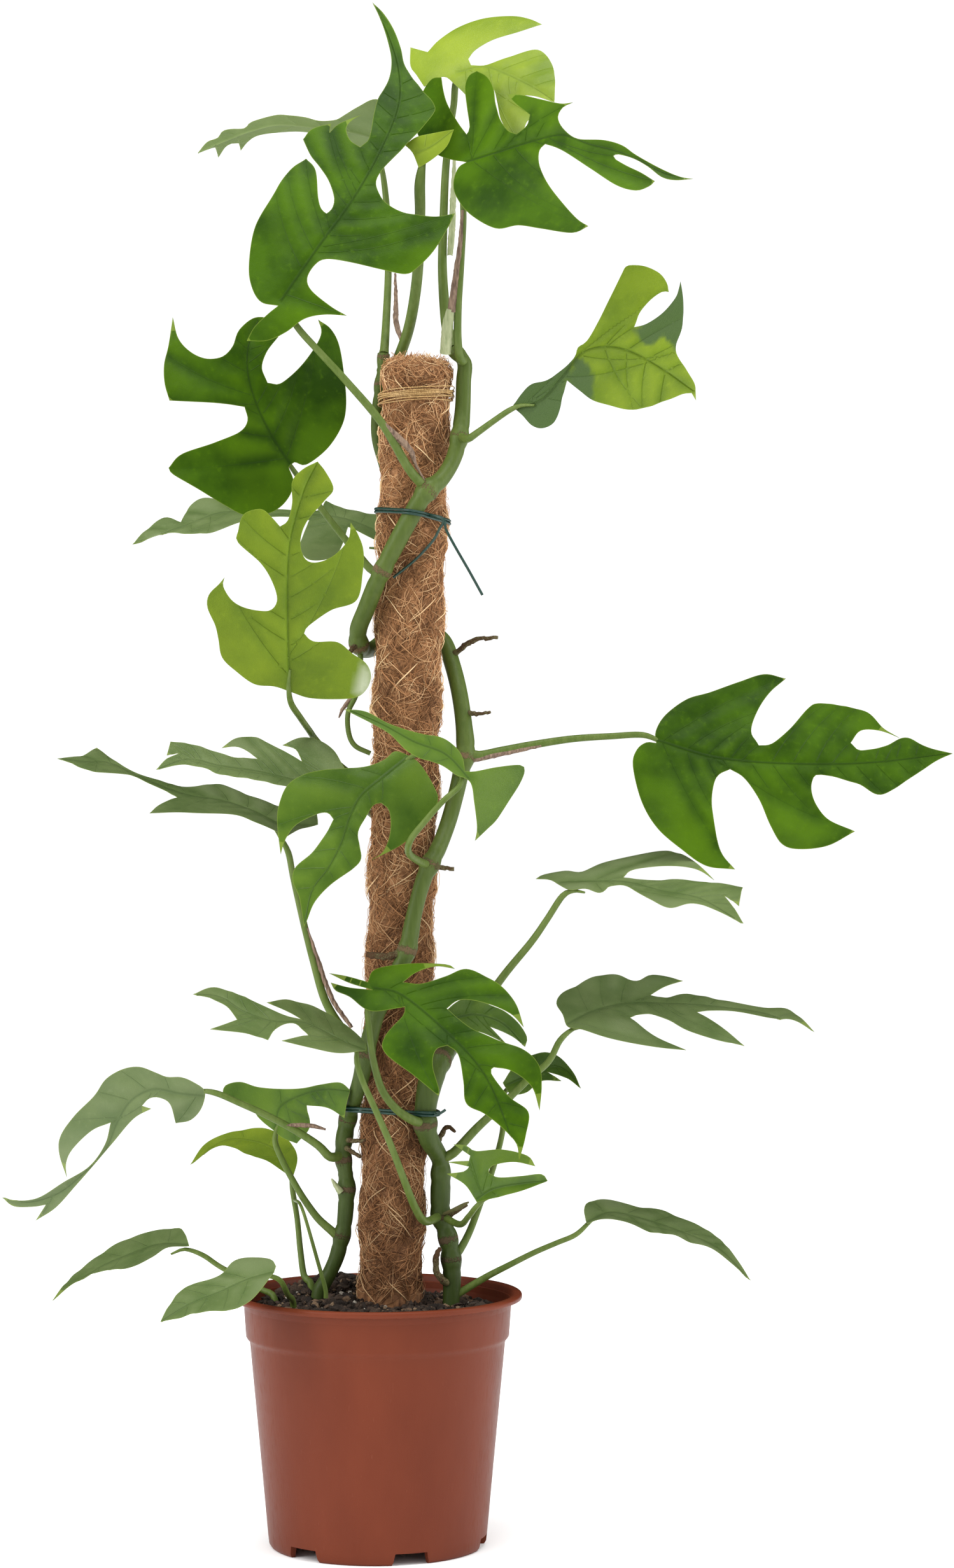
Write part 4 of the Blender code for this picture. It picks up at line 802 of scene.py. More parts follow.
@dataclass(frozen=True)
class PoleLine:
    """The leaning pole's axis and thickness.

    Attributes:
        foot: a sighting of its middle at the soil.
        top: a sighting of its middle at the sleeve's top.
        length: the sleeve's length.
        radii: its radius at the bottom and the top.
    """

    foot: Point = (612, 2050, 5.0)
    top: Point = (655, 582, 5.0)
    length: float = 756.0
    radii: Point = (20.8, 22.6)

    @property
    def top_place(self) -> Array:
        """The middle of the sleeve's top."""
        return VIEWER.place(*self.top)

    @property
    def axis(self) -> Array:
        """The way up the pole."""
        return unit(self.top_place - VIEWER.place(*self.foot))

    @property
    def bottom_place(self) -> Array:
        """The middle of the sleeve's bottom."""
        return self.top_place - self.axis * self.length

    def centre(self, z: float) -> Array:
        """The pole's middle at a height."""
        foot = VIEWER.place(*self.foot)
        return foot + self.axis * ((z - foot[2]) / self.axis[2])

    def radius(self, z: float) -> float:
        """The sleeve's radius at a height."""
        share = min(max((z - self.bottom_place[2]) / self.length, 0.0), 1.0)
        return self.radii[0] + (self.radii[1] - self.radii[0]) * share

    def beside(self, px: float, py: float, radius: float, side: Side, clear: float) -> Array:
        """A sighting's place with a stem of this radius against the pole.

        Args:
            px: the picture column.
            py: the picture row.
            radius: the stem's radius.
            side: the side of the pole it lies on.
            clear: the gap between them.

        Returns:
            The stem's middle.
        """
        depth = self.foot[2]
        for _ in range(4):
            point = VIEWER.place(px, py, depth)
            middle = self.centre(point[2])
            reach = self.radius(point[2]) + clear + radius
            off = math.sqrt(max(reach * reach - (point[0] - middle[0]) ** 2, 0.0))
            depth = middle[1] + (off if side is BACK else -off)
        return VIEWER.place(px, py, depth)

    def off(self, point: Array, radius: float, clear: float) -> Array:
        """The point, pushed straight out of the pole where a stem would cut it.

        Args:
            point: the stem's middle.
            radius: its radius.
            clear: the gap it keeps.

        Returns:
            Its new middle.
        """
        if point[2] > self.top_place[2] + radius + 1.0:
            return point
        middle = self.centre(point[2])
        away = np.array([point[0] - middle[0], point[1] - middle[1], 0.0])
        reach = float(np.linalg.norm(away))
        least = self.radius(point[2]) + clear + radius
        if reach >= least or reach < TINY:
            return point
        return point + away / reach * (least - reach)


POLE = PoleLine()
STEM_CLEARANCE = 3.6
PETIOLE_CLEARANCE = 1.6


def settle(sighting: Sequence, radius: float) -> Array:
    """A sighting's place, where its depth may be a side of the pole.

    Args:
        sighting: picture column, picture row, and depth or side.
        radius: the stem's radius.

    Returns:
        The place.
    """
    px, py, depth = sighting[:3]
    if isinstance(depth, Side):
        return POLE.beside(px, py, radius, depth, STEM_CLEARANCE)
    return VIEWER.place(px, py, depth)


def nearest(path: Array, point: Array) -> Array:
    """The point on a path that is nearest a place."""
    return path[np.argmin(np.linalg.norm(path[:, :3] - point, axis=1)), :3]


# Leaves


def loop_contains(points: Array, loop: Array) -> Array:
    """Which points lie inside a closed loop.

    Args:
        points: the points.
        loop: the loop's points.

    Returns:
        True for each that does.
    """
    x, y = points[:, 0][:, None], points[:, 1][:, None]
    ax, ay = loop[:, 0], loop[:, 1]
    bx, by = np.roll(ax, -1), np.roll(ay, -1)
    rise = np.where(np.abs(by - ay) < 1e-12, 1e-12, by - ay)
    cross = ((ay > y) != (by > y)) & (x < (bx - ax) * (y - ay) / rise + ax)
    return cross.sum(axis=1) % 2 == 1


def line_distance(points: Array, line: Array, closed: bool = False) -> Array:
    """How far points are from a line of points.

    Args:
        points: the points.
        line: the line's points.
        closed: whether its end joins its start.

    Returns:
        Each point's distance.
    """
    a = line if closed else line[:-1]
    b = np.roll(line, -1, axis=0) if closed else line[1:]
    run = b - a
    size = np.maximum((run * run).sum(axis=1), 1e-12)
    best = np.full(len(points), np.inf)
    for start in range(0, len(points), 2000):
        some = points[start:start + 2000]
        offset = some[:, None, :] - a[None]
        share = np.clip((offset * run).sum(axis=2) / size, 0.0, 1.0)
        gap = offset - run * share[..., None]
        best[start:start + 2000] = np.sqrt((gap * gap).sum(axis=2)).min(axis=1)
    return best


def soften(outline: Sequence[Point], step: float, corner: float = 62.0) -> tuple[Array, list[int]]:
    """Rounds an outline between its sharp tips.

    Args:
        outline: picture points round the blade.
        step: the wanted distance between points, in pixels.
        corner: the turn in degrees past which a point stays sharp.

    Returns:
        The outline's points, and which of them are sharp.
    """
    ring = np.asarray(outline, float)
    count = len(ring)
    before, after = ring - np.roll(ring, 1, axis=0), np.roll(ring, -1, axis=0) - ring
    cross = before[:, 0] * after[:, 1] - before[:, 1] * after[:, 0]
    turn = np.abs(np.degrees(np.arctan2(cross, (before * after).sum(axis=1))))
    sharp = [k for k in range(count) if turn[k] > corner]
    if len(sharp) < 2:
        sharp = sorted(np.argsort(turn)[-2:].tolist())
    points, tips = [], []
    for start, end in zip(sharp, sharp[1:] + [sharp[0] + count]):
        run = [ring[k % count] for k in range(start, end + 1)]
        tips.append(len(points))
        points += list(smooth_curve(run, step))[:-1]
    return np.array(points), tips


OLD_LEAVES = ("leaf_19", "leaf_20")


@dataclass(frozen=True)
class Leaf:
    """A leaf, laid out by sightings.

    Attributes:
        name: its node's name.
        faces: the finishes of its upper and under faces, by name.
        base: where the petiole meets the blade.
        tip: where the main lobe ends.
        side: a third point of the blade's plane.
        root: what the petiole grows from.
        outline: picture points round the blade.
        spine: picture points along the midrib.
        petiole: sightings down the petiole.
        radii: the petiole's radius at the blade and at its foot.
        arch: how far the blade's middle rises, over its length.
        fold: how steeply its halves fall away from the midrib.
        cup: how much its edges curl back.
        underside: whether the viewer sees its under face.
        rib: where the petiole ends under the blade, in picture points.
        turned: picture regions where the blade shows its other face.
        sheen_patches: picture regions painted pale as a sheen of reflected light.
    """

    name: str
    faces: str
    base: Point
    tip: Point
    side: Point
    root: Root
    outline: tuple
    spine: tuple
    petiole: tuple
    radii: Point = (1.9, 3.2)
    arch: float = 0.0
    fold: float = 0.0
    cup: float = 0.0
    underside: bool = False
    rib: Point = ()
    turned: tuple = ()
    sheen_patches: tuple = ()

    @property
    def slot(self) -> str:
        """The record's slot for its finish.

        Returns:
            The slot's name.
        """
        if self.faces == "dark" or self.name in OLD_LEAVES:
            return "leaf_deep_green"
        return "leaf_new_green" if self.faces == "light" else "leaf_mid_green"


class Blade:
    """A leaf's blade: a bent surface, its outline and its veins.

    Attributes:
        thickness: its thickness between the veins.
        spacing: how far apart the mesh's points are.
        trace: how far apart the outline's points are, in pixels.
        round: how softly the blade folds at its midrib.
        lean: the angle between the midrib and a lobe's vein, in degrees.
        rib: how far the midrib stands out below, and how deep it lies above.
        vein: how far a side vein stands out below.
        swell: how far the blade swells between its veins.
        ripple: how far the blade and its edge ripple.
    """

    thickness = 0.5
    spacing = 2.6
    trace = 5.0
    round = 3.0
    lean = 46.0
    rib = (0.55, 0.45)
    vein = 0.22
    swell = 0.75
    ripple = (0.9, 0.5)

    def __init__(self, leaf: Leaf) -> None:
        """Finds the blade's plane.

        Args:
            leaf: the leaf's plan.
        """
        self.leaf = leaf
        self.base = VIEWER.place(*leaf.base)
        chord = VIEWER.place(*leaf.tip) - self.base
        self.length = float(np.linalg.norm(chord))
        self.along = chord / self.length
        facing = unit(np.cross(chord, VIEWER.place(*leaf.side) - self.base))
        self.facing = facing if facing.dot(np.array(VIEWER.eye) - self.base) > 0 else -facing
        self.across = np.cross(self.facing, self.along)

    def height(self, u: Array, v: Array) -> Array:
        """How far the blade stands off its plane.

        Args:
            u: how far along the blade.
            v: how far across it.

        Returns:
            The rise towards the viewer.
        """
        share = u / self.length
        bow = self.leaf.arch * self.length * 4 * share * (1 - share)
        crease = self.leaf.fold * (np.hypot(v, self.round) - self.round)
        return bow - crease - self.leaf.cup * v * v / self.length

    def normals(self, uv: Array) -> Array:
        """The middle surface's normals, towards the viewer.

        Args:
            uv: places as (along, across).

        Returns:
            Unit normals, one row each.
        """
        u, v, small = uv[:, 0], uv[:, 1], 0.5
        centre = self.height(u, v)
        slope_u = (self.height(u + small, v) - centre) / small
        slope_v = (self.height(u, v + small) - centre) / small
        return unit(self.facing - self.along * slope_u[:, None] - self.across * slope_v[:, None])

    def surface(self, uv: Array) -> Array:
        """Places on the middle surface."""
        rise = self.height(uv[:, 0], uv[:, 1])
        return self.base + np.column_stack([uv, rise]) @ np.stack([self.along, self.across, self.facing])

    def traced(self, pixels: Array) -> Array:
        """Where the sight lines through picture points meet the blade, as (along, across).

        Args:
            pixels: the points' columns and rows.

        Returns:
            The places, one row each.
        """
        pixels = np.atleast_2d(np.asarray(pixels, float))
        rays = VIEWER.rays(pixels)
        eye = np.array(VIEWER.eye)

        def miss(t: Array) -> tuple[Array, Array]:
            """How far off the blade the sight lines are.

            Args:
                t: their lengths.

            Returns:
                The gaps, and the places on the blade that they lie over.
            """
            reached = eye + rays * t[:, None] - self.base
            uv = np.stack([reached @ self.along, reached @ self.across], axis=1)
            return reached @ self.facing - self.height(uv[:, 0], uv[:, 1]), uv

        t = (self.base - eye).dot(self.facing) / (rays @ self.facing)
        for _ in range(20):
            off = miss(t)[0]
            slope = (miss(t + 0.5)[0] - off) / 0.5
            slope = np.where(np.abs(slope) < 1e-4, np.inf, slope)
            t = t + np.clip(-off / slope, -20.0, 20.0)
        return miss(t)[1]

    def side_veins(self, spine: Array, loop: Array, tips: Sequence[int]) -> list[Array]:
        """The side veins: one out to each lobe's tip, and shorter ones between.

        Args:
            spine: the midrib, as (along, across).
            loop: the blade's outline.
            tips: which outline points are sharp.

        Returns:
            Each vein's points.
        """
        heading = unit(np.gradient(spine, axis=0))
        count = len(spine)
        veins: list[Array] = []
        for tip in tips:
            goal = loop[tip]
            if min(np.linalg.norm(goal - spine[-1]), np.linalg.norm(goal - spine[0])) < 12.0:
                continue
            best, chosen = 1e9, None
            for k in range(2, int(count * 0.92)):
                run = goal - spine[k]
                size = float(np.linalg.norm(run))
                if size < 9.0:
                    continue
                angle = math.degrees(math.acos(max(-1.0, min(1.0, float(run.dot(heading[k])) / size))))
                shares = np.linspace(0.05, 0.93, 12)[:, None]
                outside = 1.0 - loop_contains(spine[k] + run * shares, loop).mean()
                score = abs(angle - self.lean) + 160.0 * outside
                if score < best:
                    best, chosen = score, k
            if chosen is None or best > 60.0:
                continue
            start = spine[chosen]
            run = goal - start
            normal = np.array([-heading[chosen][1], heading[chosen][0]])
            way = 1.0 if normal.dot(run) > 0 else -1.0
            bulge = start + 0.5 * run + way * normal * 0.10 * np.linalg.norm(run)
            t = np.linspace(0.0, 1.0, max(6, int(np.linalg.norm(run) / 3.0)))[:, None]
            veins.append((1 - t) ** 2 * start + 2 * t * (1 - t) * bulge + t**2 * goal)
        main = np.concatenate(veins) if veins else np.zeros((0, 2))
        between = max(5, int(self.length / 15.0))
        for number in range(1, between):
            k = int((count - 1) * (0.04 + 0.90 * number / between))
            for way in (1.0, -1.0):
                normal = np.array([-heading[k][1], heading[k][0]]) * way
                at, line = spine[k] + normal * 0.2, [spine[k]]
                for step in range(40):
                    lean = math.radians(60.0 - 1.1 * step)
                    at = at + (heading[k] * math.cos(lean) + normal * math.sin(lean)) * 3.0
                    if not loop_contains(at[None], loop)[0]:
                        break
                    if step > 1 and len(main) and np.linalg.norm(main - at, axis=1).min() < 3.2:
                        break
                    line.append(at)
                if len(line) > 3:
                    veins.append(np.array(line))
        return veins

    def shape(self) -> Shape:
        """The blade's two faces and edge, with the marks vein, quilt, edge, dark and pale.

        Returns:
            The closed blade.
        """
        leaf = self.leaf
        pixels, tips = soften(leaf.outline, self.trace)
        loop = self.traced(pixels)
        if (loop[:, 0] * np.roll(loop[:, 1], -1) - loop[:, 1] * np.roll(loop[:, 0], -1)).sum() < 0:
            loop = loop[::-1]
            tips = [len(loop) - 1 - k for k in tips]
        spine = smooth_curve(self.traced(np.array(leaf.spine)), 2.0)
        veins = self.side_veins(spine, loop, tips)
        ribbons = [self.ribbon(spine, (0.0, 0.5, -0.5, 1.3, -1.3))]
        ribbons += [self.ribbon(smooth_curve(v, 2.4), (0.0, 0.42, -0.42)) for v in veins]
        ribs = np.concatenate(ribbons)
        ribs = ribs[loop_contains(ribs, loop)]
        ribs = ribs[line_distance(ribs, loop, True) > 0.5]
        points = np.concatenate([loop, self.thinned(ribs, 0.33), self.grid(loop, ribs)])
        count = len(loop)
        edges = [(k, (k + 1) % count) for k in range(count)]
        made, _, triangles, *_ = delaunay_2d_cdt([Vector(p) for p in points], edges, [], 0, 1e-5)
        flat, corners = np.array([tuple(p) for p in made]), np.array(triangles, int)
        corners = corners[loop_contains(flat[corners].mean(axis=1), loop)]
        a, b, c = flat[corners[:, 0]], flat[corners[:, 1]], flat[corners[:, 2]]
        area = (b[:, 0] - a[:, 0]) * (c[:, 1] - a[:, 1]) - (b[:, 1] - a[:, 1]) * (c[:, 0] - a[:, 0])
        corners[area < 0] = corners[area < 0][:, ::-1]
        return self.dressed(flat, corners, loop, spine, veins)

    def grid(self, loop: Array, ribs: Array) -> Array:
        """Evenly spaced points inside the outline, off its edge and off the veins.

        Args:
            loop: the outline.
            ribs: the points along the veins.

        Returns:
            The points, as (along, across).
        """
        low, high = np.floor(loop.min(axis=0) / self.spacing), np.ceil(loop.max(axis=0) / self.spacing)
        rows, columns = np.arange(low[1], high[1] + 1), np.arange(low[0], high[0] + 1)
        points = np.array([(c + 0.5 * (r % 2), r) for r in rows for c in columns]) * self.spacing
        points = points[loop_contains(points, loop)]
        points = points[line_distance(points, loop, True) > 0.55 * self.spacing]
        taken = {tuple(cell) for cell in np.floor(ribs).astype(int).tolist()}
        around = [(i, j) for i in (-1, 0, 1) for j in (-1, 0, 1)]
        cells = np.floor(points).astype(int).tolist()
        return points[[all((a + i, b + j) not in taken for i, j in around) for a, b in cells]]

    @staticmethod
    def ribbon(line: Array, offsets: Sequence[float]) -> Array:
        """Rows of points beside a line.

        Args:
            line: the line.
            offsets: how far beside it each row runs.

        Returns:
            All rows' points.
        """
        heading = unit(np.gradient(line, axis=0))
        normal = np.stack([-heading[:, 1], heading[:, 0]], axis=1)
        return np.concatenate([line + normal * off for off in offsets])

    @staticmethod
    def thinned(points: Array, least: float) -> Array:
        """The points without those that crowd an earlier one.

        Args:
            points: the points.
            least: the side of the square that holds one point.

        Returns:
            Those that stay.
        """
        kept: dict = {}
        for point in points:
            kept.setdefault(tuple(np.floor(point / least)), point)
        return np.array(list(kept.values())).reshape(-1, 2)

    def dressed(self, flat: Array, corners: Array, loop: Array, spine: Array, veins: list[Array]) -> Shape:
        """Lifts the flat triangles to the bent blade, raises its veins and quilts it between them.

        Args:
            flat: the points, as (along, across).
            corners: the triangles.
            loop: the outline.
            spine: the midrib.
            veins: the side veins.

        Returns:
            The closed blade.
        """
        leaf = self.leaf
        to_spine = line_distance(flat, spine)
        share = np.array([np.argmin(((spine - p) ** 2).sum(axis=1)) for p in flat]) / max(len(spine) - 1, 1)
        to_side = np.full(len(flat), 99.0)
        for vein in veins:
            to_side = np.minimum(to_side, line_distance(flat, vein))
        edge = line_distance(flat, loop, True)
        width = 1.25 * (1.0 - 0.72 * share) + 0.12
        main = np.clip(1.0 - to_spine / width, 0.0, 1.0)
        side = np.clip(1.0 - to_side / 0.5, 0.0, 1.0) * np.clip(1.0 - to_spine / 70.0, 0.25, 1.0)
        quilt = 1.0 - np.exp(-((np.minimum(to_side, to_spine) / 5.0) ** 2))
        rng = np.random.default_rng(SEED + int(leaf.name[-2:]))
        phase = rng.uniform(0.0, 6.28, 3)
        ripple = self.ripple[0] * np.sin(flat[:, 0] / 17.0 + phase[0]) * np.sin(flat[:, 1] / 14.0 + phase[1])
        ripple *= np.clip(to_spine / 18.0, 0.0, 1.0)
        ripple += self.ripple[1] * np.sin(edge / 5.0 + phase[2]) * np.exp(-edge / 6.0)
        centre, normal = self.surface(flat), self.normals(flat)
        lift = self.swell * quilt + ripple - self.rib[1] * np.exp(-((to_spine / 1.5) ** 2))
        taper = np.clip(edge / 0.6, 0.35, 1.0) * self.thickness / 2
        bulk = taper + self.rib[0] * main + self.vein * side
        near, far = (lift + taper, lift - bulk) if not leaf.underside else (bulk - lift, -lift - taper)
        top, bottom = centre + normal * near[:, None], centre + normal * far[:, None]
        total, half = len(flat), len(corners)
        triangles = corners.tolist()
        faces = [tuple(t) for t in triangles] + [(c + total, b + total, a + total) for a, b, c in triangles]
        slots = [int(leaf.underside)] * half + [int(not leaf.underside)] * half
        sides = {(i, j): True for a, b, c in triangles for i, j in ((a, b), (b, c), (c, a))}
        for a, b in sides:
            if (b, a) not in sides:
                faces += [(a, a + total, b + total), (a, b + total, b)]
                slots += [0, 0]
        marks = {"vein": np.maximum(main, side * 0.7), "quilt": quilt, "edge": edge}
        # The pale mark paints sheen over its regions; the dark mark shows the blade's other face.
        for mark, regions, blend in (("dark", leaf.turned, 1.5), ("pale", leaf.sheen_patches, 7.0)):
            marks[mark] = np.zeros(total)
            for region in regions:
                loop_here = self.traced(np.array(region))
                within = loop_contains(flat, loop_here) * line_distance(flat, loop_here, True)
                marks[mark] = np.maximum(marks[mark], np.clip(within / blend, 0.0, 1.0))
        marks = {mark: np.tile(values, 2) for mark, values in marks.items()}
        return Shape(np.concatenate([top, bottom]), faces, slots, marks)


# The plan of the plant, from sightings

LEFT_VINE = dots("""503,2110,8,4.2 499,2060,8,4.6 502,2030,8,4.9 514,2008,7,4.8 528,1978,6,5 536,1948,5,5.4
    542,1915,4,5.2 545,1868,4,5.6 543,1845,4,5.2 539,1815,4,5.2 541,1790,4,5.8 547,1757,F,5.6 557,1727,F,5.2
    567,1695,F,5.4 575,1655,F,5.8 590,1600,F,5.2 606,1565,F,5.3 626,1525,F,5.4 641,1488,F,6 650,1440,F,5.2
    663,1390,F,5.2 675,1360,F,6 691,1328,F,5.3 705,1290,F,5.3 716,1250,0,5.3 723,1220,2,5.4 731,1182,4,6.4
    729,1140,8,5.6 722,1090,16,5.4 711,1045,28,5.4 697,1008,38,5.4 670,990,45,5.2 640,990,47,5 608,1002,43,5
    584,1020,32,5.2 566,1016,10,6.2 563,990,0,5.8 575,958,F,5.8 590,920,F,5.8 604,890,F,5.8 622,855,F,5.9
    641,820,F,6 658,790,F,6 672,770,F,6.8 694,752,F,5.4 712,722,F,5.2 722,685,F,5.8 726,645,0,5.2 723,600,2,5
    717,570,4,4.9 712,548,6,4.6""")
RIGHT_VINE = dots("""702,2120,2,5 706,2070,2,5.2 709,2040,3,5.6 710,2010,4,6 709,1980,4,6.4 704,1946,4,6.1
    693,1910,4,6.5 686,1880,3,6.6 684,1850,2,6.6 680,1820,0,5.8 674,1790,F,6.6 668,1764,F,7.6 669,1738,F,7.2
    676,1702,F,8 688,1670,F,8 701,1645,10,7.2 697,1615,20,6.4 674,1585,B,5.6 650,1545,B,5.4 632,1490,B,5.2
    624,1420,B,5.2 628,1340,B,5.2 640,1270,B,5.6 646,1200,B,5 640,1110,B,5 628,1060,B,4.8 622,960,B,4.8
    626,880,B,5.2 624,800,B,4.6 606,735,B,4.2 594,690,B,4.2 593,650,B,4 598,605,B,3.8 603,556,B,3.6""")
LEFT_NODES = dots("""542,1942 543,1868 539,1822 547,1757 575,1655 641,1493 675,1358 731,1190 563,1012 602,897
    672,771 725,688 712,556""")
RIGHT_NODES = dots("""709,1978 705,1946 692,1912 685,1842 668,1766 690,1668 701,1645 640,1250 645,1290 624,860
    599,605 603,562""")
ROOTLETS = {
    Root.LEFT_VINE: (
        dots("535,1800,-2,2 550,1808,-6,1.6 566,1818,-14,1.1"),
        dots("535,1790,-2,2 556,1793,-8,1.5 574,1792,-15,1"),
        dots("672,1360,-21,2.4 692,1363,-26,1.8 714,1366,-28,1.2"),
        dots("729,1115,8,2 748,1122,4,1.5 770,1119,0,1"),
        dots("712,1015,22,2.2 745,1006,18,1.7 782,1002,14,1.1"),
        dots("642,1495,-22,2.4 610,1503,-27,2.6 576,1500,-22,2"),
        dots("566,1016,2,2.2 552,1022,-4,1.6 542,1036,-8,1"),
    ),
    Root.RIGHT_VINE: (
        dots("700,1918,2,2 716,1904,-2,1.5 734,1893,-4,1"),
        dots("683,1778,0,2.2 700,1772,-6,1.6 716,1778,-9,1"),
        dots("709,2018,2,2.4 696,2012,-3,2.5 686,1998,-4,2.4 685,1978,-4,2 691,1960,-4,1.2"),
    ),
}
